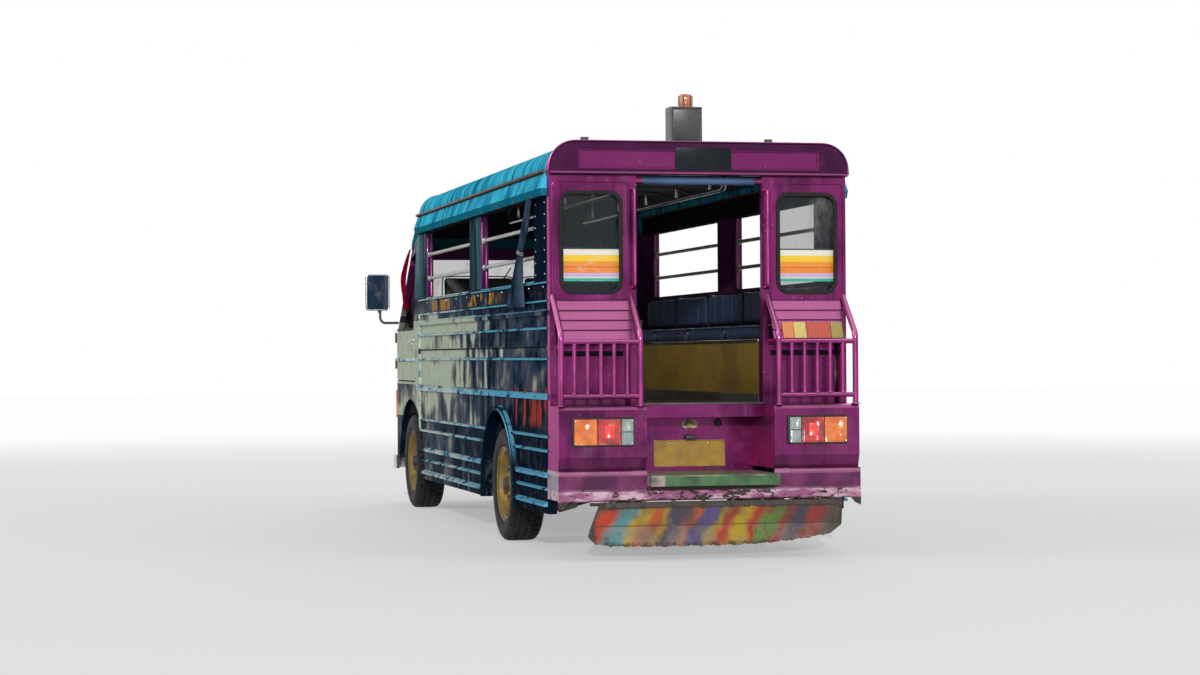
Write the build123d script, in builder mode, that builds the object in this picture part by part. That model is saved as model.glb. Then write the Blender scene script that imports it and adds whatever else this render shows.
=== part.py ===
"""A cab-over jeepney: a hollow passenger body with two side benches and an open rear entrance, on a ladder chassis.

The frame is +X forwards, +Y to the left and +Z up, in millimetres, with the origin on the ground below the middle.
Places along the vehicle are given as distances forward of the upper rear face, and station() turns them into X.
"""

from build123d import *
import os

os.makedirs("parts", exist_ok=True)

# Reach along the vehicle
REAR_REACH = 300.0  # rear step, behind the upper rear face
BODY_LENGTH = 5450.0  # upper rear face to the cab's front panel
BUMPER_REACH = 60.0  # front bumper, ahead of the front panel
OVERALL_LENGTH = REAR_REACH + BODY_LENGTH + BUMPER_REACH
REAR_FACE = REAR_REACH - OVERALL_LENGTH / 2
CAB_LENGTH = 1170.0
CAB_START = BODY_LENGTH - CAB_LENGTH
WALL_START = 60.0  # rear end of the side walls and the roof

# Cross-section of the passenger body
SKIN_Y = 800.0  # flat outer skin of each side
WALL = 45.0
WALL_INNER_Y = SKIN_Y - WALL
FLOOR_TOP = 790.0
FLOOR_THICK = 40.0
FLOOR_BOTTOM = FLOOR_TOP - FLOOR_THICK
SILL_HEIGHT = 640.0  # window sills, above the floor
SILL_Z = FLOOR_TOP + SILL_HEIGHT
SKIRT_DROP = 1205.0  # sides' lower edge, below the sills
SKIRT_BOTTOM = SILL_Z - SKIRT_DROP
ROOF_TOP = 2150.0
ROOF_THICK = 32.0
ROOF_DEPTH = 277.0  # crown of the roof to the top of the side windows
EAVE_Z = ROOF_TOP - ROOF_DEPTH
EAVE_REACH = 36.0

# Running gear
REAR_AXLE_AT = 1370.0
FRONT_OVERHANG = 730.0  # front axle to the cab's front panel, which makes the wheelbase 3350
FRONT_AXLE_AT = BODY_LENGTH - FRONT_OVERHANG
TYRE_RADIUS = 322.0
TYRE_WIDTH = 195.0
RIM_RADIUS = 211.0
TYRE_INSET = 5.0  # tyres, inside the sides' skin
WHEEL_Y = SKIN_Y - TYRE_INSET - TYRE_WIDTH / 2
AXLE_Z = TYRE_RADIUS
SPINDLE_RADIUS = 26.0
SPINDLE_END = WHEEL_Y + 12
RUN_CLEARANCE = 0.05  # radial, spindle in hub and pin in arm
GAP = 9.0  # between a door and its opening

# Chassis
RAIL_OUTER_Y = 360.0
RAIL_WIDTH = 60.0
RAIL_INNER_Y = RAIL_OUTER_Y - RAIL_WIDTH
BEARER_HEIGHT = 100.0
RAIL_HEIGHT = 150.0
RAIL_TOP = FLOOR_BOTTOM - BEARER_HEIGHT
RAIL_BOTTOM = RAIL_TOP - RAIL_HEIGHT
RAIL_WALL = 8.0
RAIL_START = 250.0
RAIL_END = BODY_LENGTH - 100
HANGER_DROP = 48.0  # spring ends, below the rails
SPRING_HALF = 560.0
CROSS_RADIUS = 32.0
REAR_BEARERS = (REAR_AXLE_AT - 1040, REAR_AXLE_AT - 520, REAR_AXLE_AT + 530)
FRONT_BEARERS = (CAB_START - 1830, CAB_START - 1280, CAB_START - 730, CAB_START - 130)
REAR_CROSS_TUBES = (REAR_AXLE_AT - 950, REAR_AXLE_AT - 470, REAR_AXLE_AT + 470)
FRONT_CROSS_TUBES = (CAB_START - 1680, CAB_START - 930, CAB_START - 230, RAIL_END - 70)
ENGINE_START = CAB_START + 160
ENGINE_GAP = 98.0  # engine to the front cross tube
ENGINE_END = FRONT_CROSS_TUBES[-1] - CROSS_RADIUS - ENGINE_GAP
ENGINE_BRACKETS = (ENGINE_START + 140, ENGINE_END - 170)
SUMP_DROP = 80.0  # engine, below the rails
TANK_GAP = 10.0  # tank to the rail beside it
TANK_WIDTH = 330.0
TANK_DEPTH = 270.0
TANK_ENDS = (150.0, 250.0)  # tank, past the bearers that it hangs from

# Side windows, as distances forward of the rear face
PILLAR = 310.0  # front pillar, beside the cab
SIDE_WINDOWS = ((400.0, 1960.0), (2340.0, CAB_START - PILLAR))
BAR_HEIGHTS = (SILL_Z + 137, SILL_Z + 295)
BAR_RADIUS = 11.0
# Mouldings along each side: top below the sill as parts of the sides' depth, height, reach out from the skin
LEDGE_PARTS = 1205.0
LEDGES = (
    (0.0, 10.0, 12.0),
    (96.0, 10.0, 8.0),
    (146.0, 30.0, 14.0),
    (236.0, 12.0, 10.0),
    (336.0, 8.0, 5.0),
    (396.0, 12.0, 10.0),
    (580.0, 34.0, 12.0),
    (798.0, 14.0, 12.0),
    (872.0, 14.0, 12.0),
    (990.0, 26.0, 20.0),
    (1068.0, 14.0, 16.0),
    (1142.0, 24.0, 24.0),
)
CORNER_STRIP = 26.0  # upright trim at the front end of each side wall

# Wheel arches: height over their centre, half width to the front and to the rear
ARCH_CENTRE_Z = AXLE_Z - 72
REAR_ARCH = (TYRE_RADIUS + 168, TYRE_RADIUS + 165, TYRE_RADIUS + 165)
FRONT_ARCH = (TYRE_RADIUS + 178, TYRE_RADIUS + 178, TYRE_RADIUS + 298)
ARCH_FOOT_Z = min(ARCH_CENTRE_Z, SKIRT_BOTTOM) - 100  # arches are cut down to here, below the sides' lower edge
ARCH_LIP = 26.0
ARCH_LIP_REACH = 22.0

# Rear face
SHEET = 12.0
ENTRY_HALF = 340.0
HEADER_HEIGHT = 170.0
HEADER_BOTTOM = ROOF_TOP - HEADER_HEIGHT
HEADER_REACH = 25.0
HEADER_CORNER = 150.0
HEADER_RECESS = 10.0
PANEL_THICK = 40.0
POST_WIDTH = 34.0
BELT_HEIGHT = 540.0  # bottom of the rear windows' panels, above the floor
BELT_Z = FLOOR_TOP + BELT_HEIGHT
FRAME_Y = (ENTRY_HALF + 48, SKIN_Y - 38)
FRAME_Z = (BELT_Z + 4, HEADER_BOTTOM - 58)
FRAME_WIDTH = 35.0
REAR_WINDOW_Y = (FRAME_Y[0] + FRAME_WIDTH, FRAME_Y[1] - FRAME_WIDTH + 14)
REAR_WINDOW_Z = (FRAME_Z[0] + FRAME_WIDTH, FRAME_Z[1] - FRAME_WIDTH)
REAR_WINDOW_CORNER = 58.0
GLASS_THICK = 6.0
FRAME_STEP = 8.0
BOARD_COUNT = 4
BOARD_HEIGHT = 51.0
BOARD_STEP = 22.0
BOARD_LAP = 9.0
BOARDS_BOTTOM = BELT_Z - BOARD_COUNT * BOARD_HEIGHT
BOARDS_REACH = BOARD_STEP * BOARD_COUNT + BOARD_LAP
NICHE_DEPTH = 72.0
BOX_TOP = FLOOR_TOP - 5
BOX_REACH = 205.0
BOX_HEIGHT = 329.0
BOX_BOTTOM = BOX_TOP - BOX_HEIGHT
BOX_CREASE_Z = BOX_BOTTOM + 69
BOX_TUCK = 25.0
RECESS_DEPTH = 230.0  # entry recess, ahead of the rear face
GUARD_RADIUS = 15.0
GUARD_BAR_RADIUS = 10.0
GUARD_RAIL_RADIUS = 13.0
GUARD_SETBACK = BOX_REACH - 10
GUARD_OUTER_Y = SKIN_Y - 16
GUARD_INNER_Y = ENTRY_HALF + 29
GUARD_RAILS_Z = (BOARDS_BOTTOM - 14, BOX_TOP + 49)
GUARD_KNEE_Z = BOARDS_BOTTOM + 24
GUARD_BARS = 5
LAMP_Y = (ENTRY_HALF + 71, SKIN_Y - 70)
LAMP_Z = (BOX_CREASE_Z + 59, BOX_TOP - 61)
LAMP_DEPTH = 28.0
LAMP_GAP = 6.0
SILL_STRIP = 70.0
STEP_DROP = 358.0  # rear step, below the floor
STEP_TOP = FLOOR_TOP - STEP_DROP
STEP_HEIGHT = 55.0
STEP_SKIN = 8.0
BUMPER_GAP = 425.0
BAND_BOTTOM = BOX_BOTTOM - 100
LIP_HEIGHT = 56.0
LIP_BOTTOM = BAND_BOTTOM - LIP_HEIGHT
PLATE_WIDTH = 390.0
PLATE_HEIGHT = 140.0
PLATE_THICK = 2.0
PLATE_BOTTOM = STEP_TOP + 22
PLATE_HOLE_PITCH = 206.0
PLATE_HOLE_RADIUS = 3.5
PLATE_HOLE_INSET = 18.0

# Cab
CAB_SHEET = 40.0
CAB_BOTTOM = FLOOR_TOP - 460
CAB_BELT = FLOOR_TOP + 410
CAB_TOP_FRONT = BODY_LENGTH - 330
CAB_TOP_FRONT_Z = EAVE_Z - 67
CAB_TOP_HALF = SKIN_Y - 78
CAB_CORNER = 140.0
CAB_TOP_CORNER = 110.0
CAB_ROOF_FRONT_DEPTH = 109.0
CAB_ROOF_FRONT_TOP = CAB_TOP_FRONT_Z + CAB_ROOF_FRONT_DEPTH
DOOR_REAR = CAB_START + 220
DOOR_FRONT = BODY_LENGTH - 85
DOOR_BOTTOM = FLOOR_TOP + 90
DOOR_FRAME = 55.0
CAB_FLOOR_TOP = FLOOR_TOP + 10
CAB_FLOOR_THICK = 40.0
SEAT_BOX_TOP = CAB_FLOOR_TOP + 240
SEAT_BOX_GAP = 100.0  # seat box, ahead of the passenger body
SEAT_BOX_LENGTH = 540.0
SEAT_BOX_AT = (CAB_START + SEAT_BOX_GAP, CAB_START + SEAT_BOX_GAP + SEAT_BOX_LENGTH)
HUMP_TOP = CAB_FLOOR_TOP + 200
HUMP_LENGTH = 280.0  # engine's hump, ahead of the seat box
HUMP_END = SEAT_BOX_AT[1] + HUMP_LENGTH
HUMP_HALF = 300.0


def station(distance):
    """X of a place given as its distance forward of the upper rear face."""
    return REAR_FACE + distance


def block(xs, ys, zs, mode=Mode.ADD):
    """Adds a box between two distances, two Y and two Z to the current part."""
    centre = (station(sum(xs) / 2), sum(ys) / 2, sum(zs) / 2)
    with Locations(centre):
        Box(abs(xs[1] - xs[0]), abs(ys[1] - ys[0]), abs(zs[1] - zs[0]), mode=mode)


def side_prism(points, y_from, y_to, mode=Mode.ADD):
    """Adds a solid whose side view is the polygon of (distance, z) points, from y_from to y_to."""
    with BuildSketch(Plane.XZ.offset(-y_to)) as outline:
        with BuildLine():
            Polyline(*[(station(x), z) for x, z in points], close=True)
        make_face()
    extrude(outline.sketch, amount=y_to - y_from, mode=mode)


def front_prism(points, x_from, x_to, mode=Mode.ADD):
    """Adds a solid whose rear view is the polygon of (y, z) points, between two distances."""
    with BuildSketch(Plane.YZ.offset(station(x_from))) as outline:
        with BuildLine():
            Polyline(*points, close=True)
        make_face()
    extrude(outline.sketch, amount=x_to - x_from, mode=mode)


def rod(start, end, radius, mode=Mode.ADD):
    """Adds a round bar between two (distance, y, z) points."""
    first = Vector(station(start[0]), start[1], start[2])
    last = Vector(station(end[0]), end[1], end[2])
    with BuildSketch(Plane(origin=first, z_dir=last - first)) as section:
        Circle(radius)
    extrude(section.sketch, amount=(last - first).length, mode=mode)


def tube(points, bend, radius, mode=Mode.ADD):
    """Adds a round bar swept along straight runs through (distance, y, z) points, joined by bends."""
    route = [Vector(station(x), y, z) for x, y, z in points]
    with BuildLine() as path:
        FilletPolyline(*route, radius=bend)
    with BuildSketch(Plane(origin=route[0], z_dir=route[1] - route[0])) as section:
        Circle(radius)
    sweep(section.sketch, path=path.line, mode=mode)


def arch_face(axle_at, arch, grow):
    """Side view of a wheel arch, a quarter ellipse to the front and one to the rear of the axle."""
    height, front, rear = (size + grow for size in arch)
    centre = station(axle_at)
    base = ARCH_FOOT_Z
    with BuildSketch(Plane.XZ) as face:
        with Locations((centre, ARCH_CENTRE_Z)):
            Ellipse(front, height)
        with Locations((centre - rear, ARCH_CENTRE_Z)):
            Rectangle(2 * rear, 4 * height, mode=Mode.SUBTRACT)
        with BuildSketch(Plane.XZ, mode=Mode.PRIVATE) as back:
            with Locations((centre, ARCH_CENTRE_Z)):
                Ellipse(rear, height)
            with Locations((centre + rear, ARCH_CENTRE_Z)):
                Rectangle(2 * rear, 4 * height, mode=Mode.SUBTRACT)
        add(back.sketch_local)
        with Locations((centre, ARCH_CENTRE_Z - height / 2)):
            Rectangle(4 * rear, height, mode=Mode.SUBTRACT)
        with Locations((centre + (front - rear) / 2, (ARCH_CENTRE_Z + base) / 2)):
            Rectangle(front + rear, ARCH_CENTRE_Z - base)
    return face.sketch


def arch_cut(axle_at, arch, y_from, y_to):
    """Cuts a wheel arch out of the current part between two Y."""
    face = arch_face(axle_at, arch, 0).moved(Location((0, y_to, 0)))
    extrude(face, amount=y_to - y_from, mode=Mode.SUBTRACT)


def mirrored(name, source):
    """Writes the mirror image of a left-hand piece as its right-hand twin."""
    with BuildPart() as twin:
        mirror(source, about=Plane.XZ)
    write(twin.part, name)
    return twin.part


def write(part, name):
    """Labels a finished piece and writes it to its file."""
    part.label = name
    export_step(part, f"parts/{name}.step")


# Side walls: a moulded skin with window openings, between the rear panel and the cab
wall_outline = [(SKIN_Y, EAVE_Z)]
for drop, height, reach in LEDGES:
    top = SILL_Z - drop * SKIRT_DROP / LEDGE_PARTS
    wall_outline += [
        (SKIN_Y, top),
        (SKIN_Y + reach, top - reach / 2),
        (SKIN_Y + reach, top - height),
        (SKIN_Y, top - height),
    ]
wall_outline += [(SKIN_Y, SKIRT_BOTTOM), (WALL_INNER_Y, SKIRT_BOTTOM), (WALL_INNER_Y, EAVE_Z)]

with BuildPart() as side_wall_left:
    front_prism(wall_outline, WALL_START, CAB_START)
    for window_rear, window_front in SIDE_WINDOWS:
        block(
            (window_rear, window_front),
            (WALL_INNER_Y - 1, SKIN_Y + 1),
            (SILL_Z, EAVE_Z + 1),
            mode=Mode.SUBTRACT,
        )
    block(
        (CAB_START - 2 * CORNER_STRIP, CAB_START - CORNER_STRIP),
        (SKIN_Y, SKIN_Y + CORNER_STRIP / 2),
        (SKIRT_BOTTOM + 200, SILL_Z - 100),
    )
    lip_face = arch_face(REAR_AXLE_AT, REAR_ARCH, ARCH_LIP)
    extrude(lip_face.moved(Location((0, SKIN_Y + ARCH_LIP_REACH, 0))), amount=ARCH_LIP_REACH)
    block(
        (0, CAB_START),
        (WALL_INNER_Y, SKIN_Y + 2 * ARCH_LIP_REACH),
        (ARCH_FOOT_Z - 1, SKIRT_BOTTOM),
        mode=Mode.SUBTRACT,
    )
    arch_cut(REAR_AXLE_AT, REAR_ARCH, WALL_INNER_Y - 1, SKIN_Y + 2 * ARCH_LIP_REACH)
    arch_cut(FRONT_AXLE_AT, FRONT_ARCH, WALL_INNER_Y - 1, SKIN_Y + 2 * ARCH_LIP_REACH)
write(side_wall_left.part, "side_wall_left")
side_wall_right = mirrored("side_wall_right", side_wall_left.part)

# Safety bars across the side windows
with BuildPart() as window_bars:
    for window_rear, window_front in SIDE_WINDOWS:
        for bar_z in BAR_HEIGHTS:
            bar_y = WALL_INNER_Y + WALL / 2
            rod((window_rear, bar_y, bar_z), (window_front, bar_y, bar_z), BAR_RADIUS)
            rod((window_rear, -bar_y, bar_z), (window_front, -bar_y, bar_z), BAR_RADIUS)
write(window_bars.part, "window_bars")


def roof_half(outer):
    """Half of the roof's section in the rear view, its outer outline or the hollow below it."""
    drop = 0.0 if outer else ROOF_THICK
    side = SKIN_Y - 2 if outer else WALL_INNER_Y
    spring = ROOF_TOP - 152 if outer else ROOF_TOP - 165
    shoulder = (side - 138 if outer else side - 115, ROOF_TOP - 18 - drop)
    crown = (0.0, ROOF_TOP - drop)
    bow = ((side + shoulder[0]) / 2 + 34, (spring + shoulder[1]) / 2 + 30)
    with BuildSketch(Plane.YZ) as half:
        with BuildLine():
            Line((0, EAVE_Z), (side, EAVE_Z))
            Line((side, EAVE_Z), (side, spring))
            ThreePointArc((side, spring), bow, shoulder)
            ThreePointArc(shoulder, (shoulder[0] / 2, ROOF_TOP - 4 - drop), crown)
            Line(crown, (0, EAVE_Z))
        make_face()
        mirror(about=Plane.YZ)
    return half.sketch


# Roof: one curved shell with gutters and flared eaves
EAVE_OUTLINE = (
    (SKIN_Y - 4, EAVE_Z),
    (SKIN_Y + EAVE_REACH - 6, EAVE_Z),
    (SKIN_Y + EAVE_REACH, EAVE_Z + 39),
    (SKIN_Y + 8, EAVE_Z + 117),
    (SKIN_Y + 20, EAVE_Z + 119),
    (SKIN_Y + 20, EAVE_Z + 127),
    (SKIN_Y - 4, EAVE_Z + 127),
)
with BuildPart() as roof_shell:
    outer_face = roof_half(True).moved(Location((station(WALL_START), 0, 0)))
    extrude(outer_face, amount=CAB_START - WALL_START)
    front_prism(EAVE_OUTLINE, WALL_START, CAB_START)
    front_prism([(-y, z) for y, z in EAVE_OUTLINE], WALL_START, CAB_START)
    inner_face = roof_half(False).moved(Location((station(WALL_START), 0, 0)))
    extrude(inner_face, amount=CAB_START - WALL_START, mode=Mode.SUBTRACT)
write(roof_shell.part, "roof_shell")

# Rear header: the cap over the rear face, with a recessed band, two inset panels and a blank centre panel
with BuildPart() as rear_header:
    with BuildSketch(Plane.YZ.offset(station(-HEADER_REACH))) as cap:
        with Locations((0, (HEADER_BOTTOM + ROOF_TOP) / 2)):
            Rectangle(2 * (SKIN_Y + 5), ROOF_TOP - HEADER_BOTTOM)
        fillet(cap.vertices().group_by(Axis.Y)[-1], radius=HEADER_CORNER)
    extrude(amount=HEADER_REACH + WALL_START)
    recess_half = SKIN_Y - HEADER_CORNER - 10
    recess_z = (HEADER_BOTTOM + 34, ROOF_TOP - 48)
    block((-HEADER_REACH - 1, HEADER_RECESS - HEADER_REACH), (-recess_half, recess_half), recess_z, mode=Mode.SUBTRACT)
    for panel_from, panel_to in ((8 - recess_half, -160), (-152, 152), (160, recess_half - 8)):
        block(
            (HEADER_RECESS - HEADER_REACH - 6, HEADER_RECESS - HEADER_REACH),
            (panel_from, panel_to),
            (recess_z[0] + 6, recess_z[1] - 6),
        )
    inner_face = roof_half(False).moved(Location((station(PANEL_THICK - HEADER_REACH), 0, 0)))
    extrude(inner_face, amount=WALL_START + HEADER_REACH, mode=Mode.SUBTRACT)
    rod((-HEADER_REACH, -SKIN_Y, HEADER_BOTTOM + 8), (-HEADER_REACH, SKIN_Y, HEADER_BOTTOM + 8), 7)
write(rear_header.part, "rear_header")

# Rear panel, left: window panel, lapped boards, niche behind the guard, and the lamp box below
board_line = []
for board in range(BOARD_COUNT):
    board_line += [
        (-BOARD_STEP * board, BELT_Z - BOARD_HEIGHT * board),
        (-BOARD_STEP * (board + 1) - BOARD_LAP, BELT_Z - BOARD_HEIGHT * (board + 1)),
    ]
box_face = [
    (NICHE_DEPTH, BOX_TOP),
    (-BOX_REACH + 20, BOX_TOP),
    (-BOX_REACH + 6, BOX_TOP - 6),
    (-BOX_REACH, BOX_TOP - 20),
    (-BOX_REACH, BOX_CREASE_Z),
    (-BOX_REACH + BOX_TUCK, BOX_BOTTOM),
]
box_inside = [
    (-BOX_REACH + BOX_TUCK + SHEET, BOX_BOTTOM),
    (-BOX_REACH + SHEET, BOX_CREASE_Z),
    (-BOX_REACH + SHEET, BOX_TOP - SHEET),
    (NICHE_DEPTH, BOX_TOP - SHEET),
]
with BuildPart() as rear_panel_left:
    block((0, PANEL_THICK), (ENTRY_HALF, SKIN_Y), (BELT_Z, HEADER_BOTTOM))
    block((-FRAME_STEP, 0), FRAME_Y, FRAME_Z)
    with BuildSketch(Plane.YZ.offset(station(-FRAME_STEP - 1))) as opening:
        with Locations((sum(REAR_WINDOW_Y) / 2, sum(REAR_WINDOW_Z) / 2)):
            RectangleRounded(
                REAR_WINDOW_Y[1] - REAR_WINDOW_Y[0],
                REAR_WINDOW_Z[1] - REAR_WINDOW_Z[0],
                REAR_WINDOW_CORNER,
            )
    extrude(amount=PANEL_THICK + FRAME_STEP + 2, mode=Mode.SUBTRACT)
    block((0, WALL_START), (SKIN_Y - POST_WIDTH, SKIN_Y), (BOX_TOP - SHEET, HEADER_BOTTOM))
    block((0, PANEL_THICK), (ENTRY_HALF, ENTRY_HALF + POST_WIDTH), (BOX_TOP - SHEET, HEADER_BOTTOM))
    side_prism(
        board_line + [(-BOARDS_REACH + SHEET, BOARDS_BOTTOM), (SHEET, BELT_Z)],
        ENTRY_HALF + POST_WIDTH,
        SKIN_Y - POST_WIDTH,
    )
    block(
        (-BOARDS_REACH, NICHE_DEPTH),
        (ENTRY_HALF + POST_WIDTH, WALL_INNER_Y),
        (BOARDS_BOTTOM - SHEET, BOARDS_BOTTOM),
    )
    block(
        (NICHE_DEPTH - SHEET, NICHE_DEPTH),
        (ENTRY_HALF, WALL_INNER_Y),
        (BOX_TOP - SHEET, BOARDS_BOTTOM),
    )
    slot_y = (ENTRY_HALF + 60, WALL_INNER_Y - 5)
    block((NICHE_DEPTH - SHEET, NICHE_DEPTH), slot_y, (BOARDS_BOTTOM - 86, BOARDS_BOTTOM - 34), mode=Mode.SUBTRACT)
    block((-400, NICHE_DEPTH + 1), (0, SKIN_Y + 1), (BOX_TOP - 100, BOX_TOP), mode=Mode.SUBTRACT)
write(rear_panel_left.part, "rear_panel_left")
rear_panel_right = mirrored("rear_panel_right", rear_panel_left.part)

# Lamp box, left: folded sheet with closed ends, below the niche
with BuildPart() as lamp_box_left:
    side_prism(box_face + box_inside, ENTRY_HALF, WALL_INNER_Y)
    side_prism(
        [(-BOX_REACH + SHEET, BOX_TOP - SHEET), (WALL_START, BOX_TOP - SHEET), (WALL_START, BOX_TOP)]
        + box_face[1:]
        + box_inside[:2],
        WALL_INNER_Y,
        SKIN_Y,
    )
    side_prism(
        box_face[1:] + [(WALL_START, BOX_BOTTOM), (WALL_START, BOX_TOP)],
        SKIN_Y - SHEET,
        SKIN_Y,
    )
    side_prism(
        box_face[1:]
        + [(RECESS_DEPTH, BOX_BOTTOM), (RECESS_DEPTH, FLOOR_BOTTOM), (NICHE_DEPTH, FLOOR_BOTTOM)]
        + [(NICHE_DEPTH, BOX_TOP)],
        ENTRY_HALF,
        ENTRY_HALF + SHEET,
    )
write(lamp_box_left.part, "lamp_box_left")
lamp_box_right = mirrored("lamp_box_right", lamp_box_left.part)

# Glass of the two rear windows
with BuildPart() as rear_glass:
    for side in (1, -1):
        with BuildSketch(Plane.YZ.offset(station(PANEL_THICK / 2))) as pane:
            with Locations((side * sum(REAR_WINDOW_Y) / 2, sum(REAR_WINDOW_Z) / 2)):
                RectangleRounded(
                    REAR_WINDOW_Y[1] - REAR_WINDOW_Y[0],
                    REAR_WINDOW_Z[1] - REAR_WINDOW_Z[0],
                    REAR_WINDOW_CORNER,
                )
        extrude(amount=GLASS_THICK)
write(rear_glass.part, "rear_glass")

# Tube guards in front of the niches: two bent uprights, two rails and five bars on each side
with BuildPart() as guard_left:
    for upright_y in (GUARD_OUTER_Y, GUARD_INNER_Y):
        tube(
            [
                (20, upright_y, GUARD_KNEE_Z + GUARD_SETBACK + 18),
                (-GUARD_SETBACK, upright_y, GUARD_KNEE_Z),
                (-GUARD_SETBACK, upright_y, BOX_TOP - 20),
            ],
            60,
            GUARD_RADIUS,
        )
    for rail_z in GUARD_RAILS_Z:
        start = (-GUARD_SETBACK, GUARD_INNER_Y, rail_z)
        rod(start, (-GUARD_SETBACK, GUARD_OUTER_Y, rail_z), GUARD_RAIL_RADIUS)
    bar_pitch = (GUARD_OUTER_Y - GUARD_INNER_Y) / (GUARD_BARS + 1)
    for bar in range(GUARD_BARS):
        bar_y = GUARD_INNER_Y + bar_pitch * (bar + 1)
        low = (-GUARD_SETBACK, bar_y, GUARD_RAILS_Z[1])
        rod(low, (-GUARD_SETBACK, bar_y, GUARD_RAILS_Z[0]), GUARD_BAR_RADIUS)
    add(rear_panel_left.part, mode=Mode.SUBTRACT)
    block((0, 200), (0, SKIN_Y + 100), (BOX_TOP, SILL_Z + 100), mode=Mode.SUBTRACT)
    block((-300, 0), (0, SKIN_Y + 100), (BOX_TOP - 100, BOX_TOP), mode=Mode.SUBTRACT)
with BuildPart() as rear_guards:
    add(guard_left.part)
    mirror(guard_left.part, about=Plane.XZ)
write(rear_guards.part, "rear_guards")

# Tail lamps: a housing and three lenses on each lamp box, the outer one widest
with BuildPart() as tail_lamps:
    for side in (1, -1):
        block(
            (-BOX_REACH - LAMP_DEPTH / 2, -BOX_REACH),
            (side * LAMP_Y[0], side * LAMP_Y[1]),
            LAMP_Z,
        )
        lens_unit = (LAMP_Y[1] - LAMP_Y[0] - 4 * LAMP_GAP) / 5
        lens_from = LAMP_Y[0] + LAMP_GAP
        for units in (1, 2, 2):
            lens_to = lens_from + units * lens_unit
            block(
                (-BOX_REACH - LAMP_DEPTH, -BOX_REACH - LAMP_DEPTH / 2),
                (side * lens_from, side * lens_to),
                (LAMP_Z[0] + LAMP_GAP, LAMP_Z[1] - LAMP_GAP),
            )
            lens_from = lens_to + LAMP_GAP
write(tail_lamps.part, "tail_lamps")

# Sill of the entrance and the riser at the back of the recess
with BuildPart() as rear_apron:
    block((-10, SHEET), (-ENTRY_HALF, ENTRY_HALF), (FLOOR_TOP - SILL_STRIP, FLOOR_TOP))
    riser_half = ENTRY_HALF + SHEET
    block((RECESS_DEPTH, RECESS_DEPTH + SHEET), (-riser_half, riser_half), (STEP_TOP - STEP_HEIGHT, FLOOR_BOTTOM))
write(rear_apron.part, "rear_apron")

# Number plate, blank, with its two screw holes
with BuildPart() as number_plate:
    plate_face = RECESS_DEPTH - PLATE_THICK
    block(
        (plate_face, RECESS_DEPTH),
        (-PLATE_WIDTH / 2, PLATE_WIDTH / 2),
        (PLATE_BOTTOM, PLATE_BOTTOM + PLATE_HEIGHT),
    )
    for hole_y in (-PLATE_HOLE_PITCH / 2, PLATE_HOLE_PITCH / 2):
        hole_z = PLATE_BOTTOM + PLATE_HEIGHT - PLATE_HOLE_INSET
        hole_start = (plate_face - 1, hole_y, hole_z)
        rod(hole_start, (RECESS_DEPTH + 1, hole_y, hole_z), PLATE_HOLE_RADIUS, mode=Mode.SUBTRACT)
write(number_plate.part, "number_plate")

# Rear step: a tread with a deep front edge, open below
with BuildPart() as rear_step:
    block((-REAR_REACH, RECESS_DEPTH), (-ENTRY_HALF, ENTRY_HALF), (STEP_TOP - STEP_HEIGHT, STEP_TOP))
    block(
        (-REAR_REACH + SHEET, RECESS_DEPTH + 1),
        (-ENTRY_HALF + SHEET, ENTRY_HALF - SHEET),
        (STEP_TOP - STEP_HEIGHT - 1, STEP_TOP - STEP_SKIN),
        mode=Mode.SUBTRACT,
    )
write(rear_step.part, "rear_step")

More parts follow.
